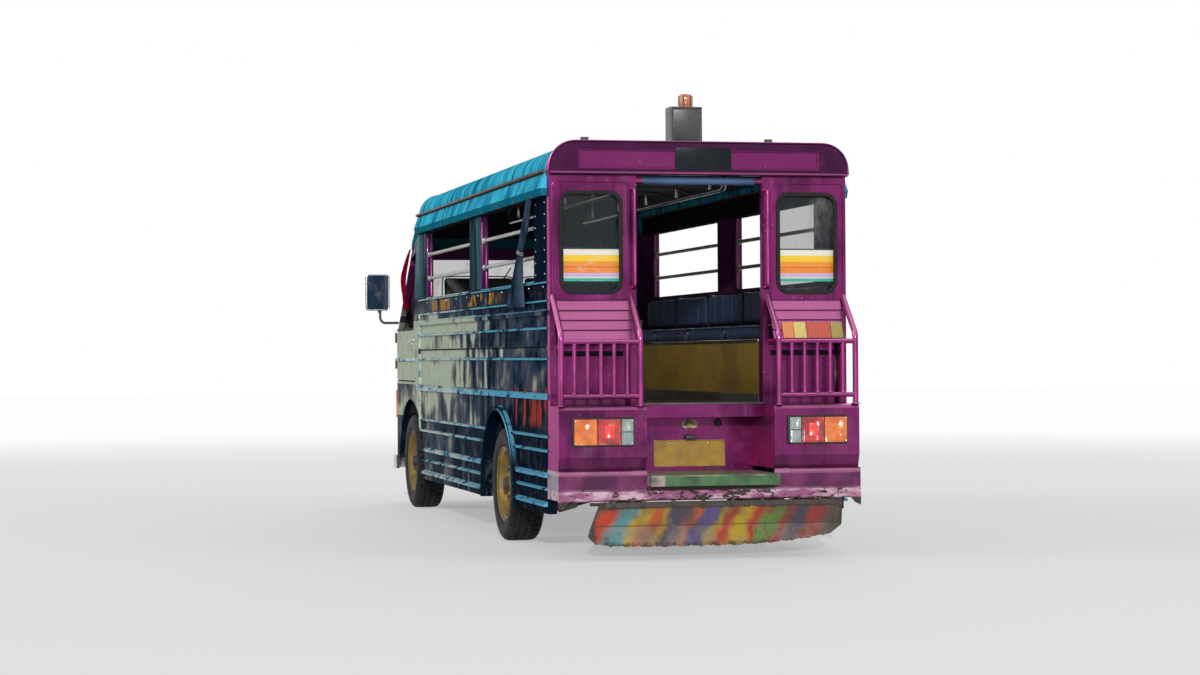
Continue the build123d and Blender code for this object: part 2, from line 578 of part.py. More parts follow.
# Rear bumper: a band below each lamp box, a full-width lip, brackets to the rails and the flap's hanger
FLAP_TOP = LIP_BOTTOM - 4
BUMPER_SKIN = SKIN_Y + 4
with BuildPart() as rear_bumper:
    for side in (1, -1):
        near, far = sorted((side * BUMPER_GAP, side * BUMPER_SKIN))
        side_prism(
            [
                (-BOX_REACH + BOX_TUCK, BOX_BOTTOM),
                (-BOX_REACH - 2, BOX_BOTTOM - 4),
                (-BOX_REACH - 2, BAND_BOTTOM),
                (-BOX_REACH + SHEET, BAND_BOTTOM),
                (-BOX_REACH + SHEET, BOX_BOTTOM - 12),
                (-BOX_REACH + BOX_TUCK, BOX_BOTTOM - 12),
            ],
            near,
            far,
        )
        end_ys = (side * (BUMPER_SKIN - SHEET), side * BUMPER_SKIN)
        block((-BOX_REACH, WALL_START), end_ys, (BAND_BOTTOM - 50, BOX_BOTTOM))
        front_prism(
            [
                (side * BUMPER_SKIN, LIP_BOTTOM + 8),
                (side * BUMPER_SKIN, LIP_BOTTOM - 40),
                (side * (BUMPER_SKIN - 30), LIP_BOTTOM - 26),
                (side * (BUMPER_SKIN - 62), LIP_BOTTOM + 8),
            ],
            -BOX_REACH - 8,
            -BOX_REACH,
        )
        block((-BOX_REACH, -BOX_REACH + SHEET), (side * ENTRY_HALF, side * BUMPER_GAP), (BAND_BOTTOM, BOX_BOTTOM))
        bead_z = BOX_BOTTOM - 16
        rod((-BOX_REACH, side * BUMPER_GAP, bead_z), (-BOX_REACH, side * SKIN_Y, bead_z), 6)
        bracket_near, bracket_far = sorted((side * (RAIL_INNER_Y + 6), side * (RAIL_INNER_Y + 18)))
        side_prism(
            [
                (RAIL_START + 50, RAIL_BOTTOM),
                (RAIL_START + 90, RAIL_BOTTOM),
                (RAIL_START + 90, BAND_BOTTOM - 26),
                (-BOX_REACH + SHEET, LIP_BOTTOM),
                (-BOX_REACH + SHEET, BAND_BOTTOM - 6),
                (RECESS_DEPTH + SHEET, STEP_TOP - STEP_HEIGHT),
                (RAIL_START + 50, STEP_TOP - STEP_HEIGHT + 23),
            ],
            bracket_near,
            bracket_far,
        )
        rod((-BOX_REACH, side * 560, FLAP_TOP - 10), (-BOX_REACH, side * 560, LIP_BOTTOM + 4), 7)
    side_prism(
        [
            (-BOX_REACH - 8, LIP_BOTTOM + 8),
            (-BOX_REACH - 8, BAND_BOTTOM - 6),
            (-BOX_REACH, BAND_BOTTOM),
            (-BOX_REACH + SHEET, BAND_BOTTOM),
            (-BOX_REACH + SHEET, LIP_BOTTOM),
            (-BOX_REACH, LIP_BOTTOM),
        ],
        -BUMPER_SKIN,
        BUMPER_SKIN,
    )
    rod((-BOX_REACH, -640, FLAP_TOP - 10), (-BOX_REACH, 640, FLAP_TOP - 10), 8)
write(rear_bumper.part, "rear_bumper")

# Mud flap: a full-width rubber sheet hung from the bumper, kicked out along a crease, with a bowed lower edge
FLAP_THICK = 8.0
FLAP_LENGTH = 226.0
FLAP_HALF = 640.0  # at its top edge
FLAP_CREASE_Z = FLAP_TOP - 120
FLAP_BACK = -BOX_REACH - 8
# Edge of the flap seen from behind, as Y outside its half width and height below its top
FLAP_LEFT_EDGE = ((60.0, 34.0), (50.0, 116.0), (28.0, 174.0))
FLAP_RIGHT_EDGE = ((46.0, 116.0), (36.0, 168.0))
with BuildPart() as mud_flap:
    side_prism(
        [
            (FLAP_BACK, FLAP_TOP),
            (FLAP_BACK - FLAP_THICK, FLAP_TOP),
            (FLAP_BACK - FLAP_THICK - 12, FLAP_CREASE_Z),
            (FLAP_BACK - FLAP_THICK - 36, FLAP_TOP - FLAP_LENGTH),
            (FLAP_BACK - 36, FLAP_TOP - FLAP_LENGTH),
            (FLAP_BACK - 12, FLAP_CREASE_Z),
        ],
        -FLAP_HALF - 80,
        FLAP_HALF + 80,
    )
    left_edge = [(-FLAP_HALF - out, FLAP_TOP - drop) for out, drop in FLAP_LEFT_EDGE]
    right_edge = [(FLAP_HALF + out, FLAP_TOP - drop) for out, drop in FLAP_RIGHT_EDGE]
    with BuildSketch(Plane.YZ.offset(station(FLAP_BACK - 200))) as flap_outline:
        with BuildLine():
            Polyline((-FLAP_HALF, FLAP_TOP + 4), (FLAP_HALF, FLAP_TOP + 4), *right_edge)
            ThreePointArc(right_edge[-1], (0, FLAP_TOP - FLAP_LENGTH + 8), left_edge[-1])
            Polyline(*reversed(left_edge), (-FLAP_HALF, FLAP_TOP + 4))
        make_face()
    extrude(amount=400, mode=Mode.INTERSECT)
write(mud_flap.part, "mud_flap")

# Floor of the passenger space, with a tongue out to the entrance sill
with BuildPart() as floor_pan:
    block((NICHE_DEPTH, CAB_START), (-WALL_INNER_Y, WALL_INNER_Y), (FLOOR_BOTTOM, FLOOR_TOP))
    block((SHEET, NICHE_DEPTH), (-ENTRY_HALF, ENTRY_HALF), (FLOOR_BOTTOM, FLOOR_TOP))
write(floor_pan.part, "floor_pan")

# Benches: an open box below each cushion, a seat cushion and a back cushion
BENCH_START = 90.0
BENCH_END = CAB_START - 330
BENCH_Y = (ENTRY_HALF + 5, WALL_INNER_Y - 55)
BENCH_TOP = FLOOR_TOP + 332
CUSHION_THICK = 78.0
BENCH_LEGS = 3
with BuildPart() as bench_frames:
    for side in (1, -1):
        ys = sorted((side * BENCH_Y[0], side * WALL_INNER_Y))
        block((BENCH_START, BENCH_END), ys, (FLOOR_TOP, BENCH_TOP))
        hollow = (side * (BENCH_Y[0] + SHEET), side * (WALL_INNER_Y + 1))
        inside = (BENCH_START + SHEET, BENCH_END - SHEET)
        block(inside, hollow, (FLOOR_TOP - 1, BENCH_TOP - SHEET), mode=Mode.SUBTRACT)
        for leg in range(BENCH_LEGS):
            leg_at = BENCH_START + (BENCH_END - BENCH_START) * (leg + 1) / (BENCH_LEGS + 1)
            block((leg_at - 20, leg_at + 20), ys, (FLOOR_TOP, BENCH_TOP - SHEET / 2))
write(bench_frames.part, "bench_frames")
with BuildPart() as bench_pads:
    for side in (1, -1):
        block(
            (BENCH_START, BENCH_END),
            (side * BENCH_Y[0], side * BENCH_Y[1]),
            (BENCH_TOP, BENCH_TOP + CUSHION_THICK),
        )
    fillet(bench_pads.edges().filter_by(Axis.X).group_by(Axis.Z)[-1], radius=24)
    for side in (1, -1):
        block(
            (BENCH_START, BENCH_END),
            (side * (BENCH_Y[1] + 2), side * WALL_INNER_Y),
            (BENCH_TOP + CUSHION_THICK + 12, SILL_Z - 8),
        )
write(bench_pads.part, "bench_pads")

# Grab rails along the ceiling, one above each bench's front edge
CEILING_RAIL_Y = 250.0
CEILING_RAIL_Z = ROOF_TOP - 210
CEILING_RAIL_RADIUS = 14.0
with BuildPart() as ceiling_rails:
    for side in (1, -1):
        tube(
            [
                (400, side * CEILING_RAIL_Y, ROOF_TOP - ROOF_THICK - 6),
                (400, side * CEILING_RAIL_Y, CEILING_RAIL_Z),
                (CAB_START - 380, side * CEILING_RAIL_Y, CEILING_RAIL_Z),
                (CAB_START - 380, side * CEILING_RAIL_Y, ROOF_TOP - ROOF_THICK - 6),
            ],
            50,
            CEILING_RAIL_RADIUS,
        )
write(ceiling_rails.part, "ceiling_rails")

# Rails of the entrance: the wrapped bar across its top and an upright one on each side
ENTRY_RAIL_Y = ENTRY_HALF + 18
ENTRY_RAIL_SETBACK = 45.0
ENTRY_RAIL_Z = (GUARD_KNEE_Z + 245, FRAME_Z[1] - 17)
with BuildPart() as entry_rails:
    for side in (1, -1):
        tube(
            [
                (2, side * ENTRY_RAIL_Y, ENTRY_RAIL_Z[1]),
                (-ENTRY_RAIL_SETBACK, side * ENTRY_RAIL_Y, ENTRY_RAIL_Z[1]),
                (-ENTRY_RAIL_SETBACK, side * ENTRY_RAIL_Y, ENTRY_RAIL_Z[0]),
                (2, side * ENTRY_RAIL_Y, ENTRY_RAIL_Z[0]),
            ],
            20,
            9,
        )
    block((0, 60), (-SKIN_Y, SKIN_Y), (BELT_Z, HEADER_BOTTOM), mode=Mode.SUBTRACT)
    rod((20, -ENTRY_HALF, HEADER_BOTTOM - 28), (20, ENTRY_HALF, HEADER_BOTTOM - 28), 19)
write(entry_rails.part, "entry_rails")

# Sign box on the roof, blank, and the beacon on it
SIGN_HEIGHT = 198.0
SIGN_HALF = 85.0
SIGN_FOOT = 8.0  # feet, inside the box's sides
SIGN_TOP = ROOF_TOP + SIGN_HEIGHT
SIGN_Y = 40.0
with BuildPart() as roof_sign:
    block((100, 210), (SIGN_Y - SIGN_HALF, SIGN_Y + SIGN_HALF), (ROOF_TOP - 2, SIGN_TOP))
    for foot_y in (SIGN_Y - SIGN_HALF + SIGN_FOOT, SIGN_Y + SIGN_HALF - SIGN_FOOT):
        block((110, 200), (foot_y - 6, foot_y + 6), (ROOF_TOP - 12, ROOF_TOP - 2))
    roof_top_face = roof_half(True).moved(Location((station(WALL_START), 0, 0)))
    extrude(roof_top_face, amount=400, mode=Mode.SUBTRACT)
write(roof_sign.part, "roof_sign")
with BuildPart() as beacon:
    with Locations((station(155), SIGN_Y - 10, SIGN_TOP + 37)):
        Cylinder(38, 74)
    fillet(beacon.edges().group_by(Axis.Z)[-1], radius=18)
write(beacon.part, "beacon")

# Small lamps and reflectors: two on the header, one with an oval flange and one over the plate on the riser,
# and a row of reflectors over the two lowest right-hand boards
CLEARANCE_LAMPS_Y = (610.0, -380.0)
REFLECTORS_Y = ((-424.0, -482.0), (-485.0, -551.0), (-554.0, -684.0), (-688.0, -751.0))
REFLECTOR_HEIGHT = 83.0
REFLECTOR_THICK = 8.0
nose_slope = BOARD_STEP / BOARD_HEIGHT
with BuildPart() as marker_lamps:
    for lamp_y in CLEARANCE_LAMPS_Y:
        with Locations((station(10), lamp_y, ROOF_TOP + 8)):
            Cylinder(22, 30)
            Cylinder(30, 10, align=(Align.CENTER, Align.CENTER, Align.MAX))
    add(rear_header.part, mode=Mode.SUBTRACT)
    oval_z = STEP_TOP + 246
    with BuildSketch(Plane.YZ.offset(station(RECESS_DEPTH - 8))):
        with Locations((0, oval_z)):
            Ellipse(48, 24)
    extrude(amount=8)
    rod((RECESS_DEPTH - 8, 0, oval_z), (RECESS_DEPTH - 26, 0, oval_z), 20)
    plate_lamp_z = PLATE_BOTTOM + PLATE_HEIGHT + 6
    block((RECESS_DEPTH - 44, RECESS_DEPTH), (-28, 28), (plate_lamp_z, plate_lamp_z + 20))
    for reflector_from, reflector_to in REFLECTORS_Y:
        low_z = BOARDS_BOTTOM + 4
        high_z = low_z + REFLECTOR_HEIGHT
        foot = -BOARDS_REACH + nose_slope * 4 - 0.2
        head = foot + nose_slope * REFLECTOR_HEIGHT
        side_prism(
            [(foot, low_z), (head, high_z), (head - REFLECTOR_THICK, high_z), (foot - REFLECTOR_THICK, low_z)],
            reflector_to,
            reflector_from,
        )
write(marker_lamps.part, "marker_lamps")


def cab_outline(plane, front, rear_half, front_half, corner, rear):
    """Plan outline of the cab on a plane whose local x runs forward from the passenger body."""
    with BuildSketch(plane) as outline:
        with BuildLine():
            Polyline(
                (-rear, -rear_half),
                (front, -front_half),
                (front, front_half),
                (-rear, rear_half),
                close=True,
            )
        make_face()
        fillet(outline.vertices().group_by(Axis.X)[-1], radius=corner)
    return outline.sketch


def cab_hull(inset, rear=0.0):
    """Solid inside the cab's skin: upright to the belt, then tapered to the sloping top edge."""
    half = SKIN_Y - inset
    top_half = CAB_TOP_HALF - inset
    belt_front = BODY_LENGTH - CAB_START - inset
    slope = Vector(CAB_TOP_FRONT - CAB_START, 0, CAB_TOP_FRONT_Z - EAVE_Z)
    top_plane = Plane(
        origin=(station(CAB_START), 0, EAVE_Z),
        x_dir=slope,
        z_dir=Vector(-slope.Z, 0, slope.X),
    )
    base = Plane(origin=(station(CAB_START), 0, CAB_BOTTOM))
    belt = Plane(origin=(station(CAB_START), 0, CAB_BELT))
    with BuildPart() as hull:
        lower = cab_outline(base, belt_front, half, half, CAB_CORNER - inset, rear)
        extrude(lower, amount=CAB_BELT - CAB_BOTTOM)
        upper_face = cab_outline(top_plane, slope.length - inset, half, top_half, CAB_TOP_CORNER - inset, rear)
        belt_face = cab_outline(belt, belt_front, half, half, CAB_CORNER - inset, rear)
        loft([belt_face.face(), upper_face.face()], ruled=True)
    return hull.part


def door_points(grow):
    """Side view of the left door's edge, or of its opening when grown."""
    slope = (CAB_TOP_FRONT_Z - EAVE_Z) / (CAB_TOP_FRONT - CAB_START)
    rake = (CAB_TOP_FRONT - BODY_LENGTH) / (CAB_TOP_FRONT_Z - CAB_BELT)
    rear = DOOR_REAR - grow
    front = DOOR_FRONT + grow
    head_rear = EAVE_Z + slope * (rear - CAB_START) - 34 + grow
    corner_z = CAB_TOP_FRONT_Z - 31 + grow
    corner = front + rake * (corner_z - CAB_BELT)
    return [
        (rear, DOOR_BOTTOM - grow),
        (front, DOOR_BOTTOM - grow),
        (front, CAB_BELT),
        (corner, corner_z),
        (corner - 60, head_rear + slope * (corner - 60 - rear)),
        (rear, head_rear),
    ]


def door_window_points():
    """Side view of the door's window opening."""
    slope = (CAB_TOP_FRONT_Z - EAVE_Z) / (CAB_TOP_FRONT - CAB_START)
    rake = (CAB_TOP_FRONT - BODY_LENGTH) / (CAB_TOP_FRONT_Z - CAB_BELT)
    rear = DOOR_REAR + DOOR_FRAME
    front = DOOR_FRONT - DOOR_FRAME
    head = EAVE_Z + slope * (rear - CAB_START) - 28 - DOOR_FRAME
    head_front = CAB_TOP_FRONT_Z - 81
    return [
        (rear, CAB_BELT + 40),
        (front + rake * 40, CAB_BELT + 40),
        (front + rake * (head_front - CAB_BELT), head_front),
        (front + rake * (head_front - CAB_BELT) - 60, head + slope * (CAB_TOP_FRONT - 150 - rear)),
        (rear, head),
    ]


cab_outer = cab_hull(0.0)
cab_inner = cab_hull(CAB_SHEET, rear=20.0)
with BuildPart() as cab_skin:
    add(cab_outer)
    add(cab_inner, mode=Mode.SUBTRACT)

# Cab shell: pillars, front panel and corners, with openings for the doors and the windscreen
SCREEN_Z = (CAB_BELT + 62, CAB_TOP_FRONT_Z - 64)
SCREEN_HALF = CAB_TOP_HALF - 90
SIDE_ZONE = (SKIN_Y - 300, SKIN_Y + 100)
with BuildPart() as cab_shell:
    add(cab_skin.part)
    side_prism(door_points(GAP), *SIDE_ZONE, mode=Mode.SUBTRACT)
    side_prism(door_points(GAP), -SIDE_ZONE[1], -SIDE_ZONE[0], mode=Mode.SUBTRACT)
    screen_reach = (CAB_TOP_FRONT - 120, BODY_LENGTH + 150)
    block(screen_reach, (-SCREEN_HALF, SCREEN_HALF), SCREEN_Z, mode=Mode.SUBTRACT)
    arch_cut(FRONT_AXLE_AT, FRONT_ARCH, -SKIN_Y - 50, SKIN_Y + 50)
write(cab_shell.part, "cab_shell")

# Windscreen: glass that follows the front of the shell
with BuildPart() as windscreen:
    add(cab_hull(14.0))
    add(cab_hull(14.0 + GLASS_THICK, rear=20.0), mode=Mode.SUBTRACT)
    with BuildPart(mode=Mode.PRIVATE) as screen_zone:
        block(screen_reach, (-SCREEN_HALF, SCREEN_HALF), SCREEN_Z)
    add(screen_zone.part, mode=Mode.INTERSECT)
write(windscreen.part, "windscreen")

# Front doors, hinged at their front edges
with BuildPart() as door_left:
    add(cab_skin.part)
    with BuildPart(mode=Mode.PRIVATE) as door_zone:
        side_prism(door_points(0), *SIDE_ZONE)
    add(door_zone.part, mode=Mode.INTERSECT)
    side_prism(door_window_points(), *SIDE_ZONE, mode=Mode.SUBTRACT)
write(door_left.part, "door_left")
door_right = mirrored("door_right", door_left.part)


def cab_roof_face(distance, half, bottom, top, corner):
    """Rear view of the cab's roof at a distance."""
    with BuildSketch(Plane.YZ.offset(station(distance))) as face:
        with Locations((0, (bottom + top) / 2)):
            Rectangle(2 * half, top - bottom)
        fillet(face.vertices().group_by(Axis.Y)[-1], radius=corner)
    return face.sketch.face()


# Cab roof, sloping down to the windscreen
with BuildPart() as cab_roof:
    loft(
        [
            cab_roof_face(CAB_START, SKIN_Y, EAVE_Z, ROOF_TOP - 6, 145),
            cab_roof_face(CAB_TOP_FRONT, CAB_TOP_HALF, CAB_TOP_FRONT_Z, CAB_ROOF_FRONT_TOP, 80),
        ],
        ruled=True,
    )
    with BuildPart(mode=Mode.PRIVATE) as cab_loft_hollow:
        loft(
            [
                cab_roof_face(CAB_START - 1, WALL_INNER_Y, EAVE_Z - 40, ROOF_TOP - 6 - ROOF_THICK, 110),
                cab_roof_face(
                    CAB_TOP_FRONT - ROOF_THICK,
                    CAB_TOP_HALF - CAB_SHEET,
                    CAB_TOP_FRONT_Z - 40,
                    CAB_ROOF_FRONT_TOP - ROOF_THICK,
                    50,
                ),
            ],
            ruled=True,
        )
    add(cab_loft_hollow.part, mode=Mode.SUBTRACT)
write(cab_roof.part, "cab_roof")

# Cab floor with the seat box and the hump over the engine
with BuildPart() as cab_floor:
    floor_half = SKIN_Y - CAB_SHEET
    floor_z = (CAB_FLOOR_TOP - CAB_FLOOR_THICK, CAB_FLOOR_TOP)
    block((CAB_START, BODY_LENGTH - CAB_SHEET), (-floor_half, floor_half), floor_z)
    box_half = floor_half - 120
    block(SEAT_BOX_AT, (-box_half, box_half), (CAB_FLOOR_TOP, SEAT_BOX_TOP))
    block((SEAT_BOX_AT[1], HUMP_END), (-HUMP_HALF, HUMP_HALF), (CAB_FLOOR_TOP, HUMP_TOP))
    block(
        (SEAT_BOX_AT[0] + SHEET, SEAT_BOX_AT[1] - SHEET),
        (-box_half + SHEET, box_half - SHEET),
        (CAB_FLOOR_TOP - 100, SEAT_BOX_TOP - SHEET),
        mode=Mode.SUBTRACT,
    )
    block(
        (SEAT_BOX_AT[0] + 2 * SHEET, HUMP_END - SHEET),
        (-HUMP_HALF + SHEET, HUMP_HALF - SHEET),
        (CAB_FLOOR_TOP - 100, HUMP_TOP - SHEET),
        mode=Mode.SUBTRACT,
    )
    add(cab_inner, mode=Mode.INTERSECT)
write(cab_floor.part, "cab_floor")

# Cab seats: a driver's seat and a wider one beside it, each a cushion and a back
SEAT_CUSHION = 105.0
SEAT_BACK_HEIGHT = 560.0
SEAT_BACK_THICK = 75.0
CAB_SEATS_Y = ((120.0, 620.0), (-620.0, 60.0))
with BuildPart() as cab_seats:
    for seat_ys in CAB_SEATS_Y:
        seat_at = (SEAT_BOX_AT[0] + SEAT_BACK_THICK + 7, SEAT_BOX_AT[1] - 10)
        block(seat_at, seat_ys, (SEAT_BOX_TOP, SEAT_BOX_TOP + SEAT_CUSHION))
    fillet(cab_seats.edges().filter_by(Axis.Y).group_by(Axis.Z)[-1], radius=25)
    for seat_ys in CAB_SEATS_Y:
        back_at = (SEAT_BOX_AT[0] + 5, SEAT_BOX_AT[0] + 5 + SEAT_BACK_THICK)
        block(back_at, seat_ys, (SEAT_BOX_TOP, SEAT_BOX_TOP + SEAT_BACK_HEIGHT))
    fillet(cab_seats.edges().filter_by(Axis.X).group_by(Axis.Z)[-1], radius=40)
write(cab_seats.part, "cab_seats")

# Dashboard with the steering column
WHEEL_CENTRE = (BODY_LENGTH - 430, 380.0, CAB_BELT + 160)
COLUMN_AXIS = (0.5, 0.0, -0.8660254)


def on_column(distance):
    """Point on the steering column, measured down from the steering wheel's centre."""
    return tuple(place + distance * part for place, part in zip(WHEEL_CENTRE, COLUMN_AXIS))


with BuildPart() as dashboard:
    side_prism(
        [
            (BODY_LENGTH - 300, CAB_BELT - 200),
            (BODY_LENGTH - CAB_SHEET, CAB_BELT - 200),
            (BODY_LENGTH - CAB_SHEET, CAB_BELT - 10),
            (BODY_LENGTH - 220, CAB_BELT + 5),
            (BODY_LENGTH - 310, CAB_BELT - 50),
        ],
        -SKIN_Y + 100,
        SKIN_Y - 100,
    )
    rod(on_column(26), on_column(330), 22)
    add(cab_inner, mode=Mode.INTERSECT)
write(dashboard.part, "dashboard")

# Steering wheel: rim, hub and three spokes
column_end = Vector(station(on_column(0)[0]), on_column(0)[1], on_column(0)[2])
wheel_plane = Plane(origin=column_end, x_dir=(0, 1, 0), z_dir=Vector(*COLUMN_AXIS) * -1)
with BuildPart() as steering_wheel:
    with Locations(wheel_plane):
        Torus(190, 12)
        Cylinder(42, 36)
        for turn in (90, 210, 330):
            with Locations(Rotation(0, 0, turn)):
                with Locations((110, 0, 0)):
                    Box(160, 26, 10)
write(steering_wheel.part, "steering_wheel")

# Grille: a frame with curved slats on the front panel
GRILLE_HALF = 390.0
GRILLE_Z = (CAB_BOTTOM + 270, CAB_BOTTOM + 630)
SLATS = 7
with BuildPart() as grille:
    block((BODY_LENGTH, BODY_LENGTH + 24), (-GRILLE_HALF, GRILLE_HALF), GRILLE_Z)
    block(
        (BODY_LENGTH + 4, BODY_LENGTH + 25),
        (-GRILLE_HALF + 22, GRILLE_HALF - 22),
        (GRILLE_Z[0] + 22, GRILLE_Z[1] - 22),
        mode=Mode.SUBTRACT,
    )
    slat_pitch = (GRILLE_Z[1] - GRILLE_Z[0] - 44) / SLATS
    for slat in range(SLATS):
        slat_z = GRILLE_Z[0] + 22 + slat_pitch * (slat + 0.5)
        side_prism(
            [
                (BODY_LENGTH + 4, slat_z + 12),
                (BODY_LENGTH + 20, slat_z + 4),
                (BODY_LENGTH + 20, slat_z - 4),
                (BODY_LENGTH + 4, slat_z - 6),
            ],
            -GRILLE_HALF + 22,
            GRILLE_HALF - 22,
        )
write(grille.part, "grille")

# Head lamps: bezel and lens
with BuildPart() as head_lamps:
    for side in (1, -1):
        lamp_y = side * (GRILLE_HALF + 130)
        lamp_z = GRILLE_Z[0] + 200
        rod((BODY_LENGTH, lamp_y, lamp_z), (BODY_LENGTH + 26, lamp_y, lamp_z), 98)
        rod((BODY_LENGTH + 20, lamp_y, lamp_z), (BODY_LENGTH + 40, lamp_y, lamp_z), 84)
write(head_lamps.part, "head_lamps")

# Corner lamps, wrapped round the cab's front corners
CORNER_LAMP_Z = (CAB_BOTTOM + 283, CAB_BOTTOM + 477)
with BuildPart() as corner_lamps:
    add(cab_hull(-9.0))
    add(cab_outer, mode=Mode.SUBTRACT)
    with BuildPart(mode=Mode.PRIVATE) as lamp_zone:
        for side in (1, -1):
            zone_ys = (side * (SKIN_Y - 110), side * (SKIN_Y + 50))
            block((BODY_LENGTH - 120, BODY_LENGTH + 150), zone_ys, CORNER_LAMP_Z)
    add(lamp_zone.part, mode=Mode.INTERSECT)
write(corner_lamps.part, "corner_lamps")

# Front bumper: a bar that wraps the corners, on two brackets
with BuildPart() as front_bumper:
    bumper_z = CAB_BOTTOM - 80
    bumper_plane = Plane(origin=(station(CAB_START), 0, bumper_z))
    bumper_front = BODY_LENGTH - CAB_START
    bar_half = SKIN_Y + 20
    bar_face = cab_outline(bumper_plane, bumper_front + BUMPER_REACH, bar_half, bar_half, CAB_CORNER + 10, 0)
    extrude(bar_face, amount=95)
    bar_inside = cab_outline(bumper_plane, bumper_front, SKIN_Y, SKIN_Y, CAB_CORNER, 20)
    extrude(bar_inside, amount=95, mode=Mode.SUBTRACT)
    behind = (CAB_START - 100, BODY_LENGTH - 210)
    block(behind, (-SKIN_Y - 100, SKIN_Y + 100), (0, CAB_BOTTOM + 80), mode=Mode.SUBTRACT)
    for side in (1, -1):
        side_prism(
            [
                (RAIL_END - 60, RAIL_BOTTOM),
                (RAIL_END - 10, RAIL_BOTTOM),
                (RAIL_END - 10, CAB_BOTTOM - 4),
                (BODY_LENGTH, CAB_BOTTOM - 8),
                (BODY_LENGTH, bumper_z + 5),
                (RAIL_END - 60, bumper_z + 50),
            ],
            *sorted((side * (RAIL_INNER_Y + 18), side * (RAIL_INNER_Y + 42))),
        )
write(front_bumper.part, "front_bumper")

# Mirrors on bent arms
with BuildPart() as mirror_left:
    arm_z = CAB_BELT + 90
    tube(
        [
            (BODY_LENGTH - 70, SKIN_Y - 20, arm_z),
            (BODY_LENGTH, SKIN_Y + 100, arm_z),
            (BODY_LENGTH + 6, SKIN_Y + 105, arm_z + 110),
        ],
        40,
        9,
    )
    block((BODY_LENGTH - 10, BODY_LENGTH + 24), (SKIN_Y + 34, SKIN_Y + 206), (arm_z + 90, arm_z + 350))
    fillet(mirror_left.edges().filter_by(Axis.X).sort_by(Axis.X)[-4:], radius=24)
    add(cab_outer, mode=Mode.SUBTRACT)
with BuildPart() as mirrors:
    add(mirror_left.part)
    mirror(mirror_left.part, about=Plane.XZ)
write(mirrors.part, "mirrors")

# Ladder chassis: two channel rails with a jacking pad below each
JACK_PAD_AT = (REAR_AXLE_AT + 780, REAR_AXLE_AT + 880)
with BuildPart() as frame_rails:
    for side in (1, -1):
        rail_ys = (side * RAIL_INNER_Y, side * RAIL_OUTER_Y)
        block((RAIL_START, RAIL_END), rail_ys, (RAIL_BOTTOM, RAIL_TOP))
        block(
            (RAIL_START - 1, RAIL_END + 1),
            (side * (RAIL_INNER_Y - 1), side * (RAIL_OUTER_Y - RAIL_WALL)),
            (RAIL_BOTTOM + RAIL_WALL, RAIL_TOP - RAIL_WALL),
            mode=Mode.SUBTRACT,
        )
        block(JACK_PAD_AT, rail_ys, (RAIL_BOTTOM - 10, RAIL_BOTTOM))
write(frame_rails.part, "frame_rails")

# Tubes between the rails and the engine's brackets
ENGINE_HALF = 230.0
with BuildPart() as cross_members:
    cross_z = (RAIL_BOTTOM + RAIL_TOP) / 2
    reach = RAIL_OUTER_Y - RAIL_WALL
    for cross_at in REAR_CROSS_TUBES + FRONT_CROSS_TUBES:
        rod((cross_at, -reach, cross_z), (cross_at, reach, cross_z), CROSS_RADIUS)
    for side in (1, -1):
        for bracket_at in ENGINE_BRACKETS:
            bracket_ys = (side * ENGINE_HALF, side * reach)
            block((bracket_at - 25, bracket_at + 25), bracket_ys, (cross_z - 8, cross_z + 8))
write(cross_members.part, "cross_members")

# Bearers under the floor and the cab's feet on the rails
with BuildPart() as floor_bearers:
    for bearer_at in REAR_BEARERS + FRONT_BEARERS:
        block((bearer_at - 22, bearer_at + 22), (-WALL_INNER_Y, WALL_INNER_Y), (RAIL_TOP, FLOOR_BOTTOM))
    for side in (1, -1):
        rail_ys = (side * RAIL_INNER_Y, side * RAIL_OUTER_Y)
        for mount_at in (CAB_START + 50, RAIL_END - 100):
            block((mount_at - 30, mount_at + 30), rail_ys, (RAIL_TOP, CAB_FLOOR_TOP - CAB_FLOOR_THICK))
write(floor_bearers.part, "floor_bearers")

# Engine, as one plain block, and the fuel tank slung under the floor on the right
TANK_Y = (-RAIL_OUTER_Y - TANK_GAP - TANK_WIDTH, -RAIL_OUTER_Y - TANK_GAP)
TANK_TOP = RAIL_TOP - 50
with BuildPart() as engine_block:
    block((ENGINE_START, ENGINE_END), (-ENGINE_HALF, ENGINE_HALF), (RAIL_BOTTOM - SUMP_DROP, HUMP_TOP - 50))
write(engine_block.part, "engine_block")
with BuildPart() as fuel_tank:
    tank_at = (FRONT_BEARERS[0] - TANK_ENDS[0], FRONT_BEARERS[1] + TANK_ENDS[1])
    block(tank_at, TANK_Y, (TANK_TOP - TANK_DEPTH, TANK_TOP))
    fillet(fuel_tank.edges().filter_by(Axis.X), radius=45)
    for strap_at in FRONT_BEARERS[:2]:
        block((strap_at - 20, strap_at + 20), TANK_Y, (TANK_TOP - 40, RAIL_TOP))
write(fuel_tank.part, "fuel_tank")

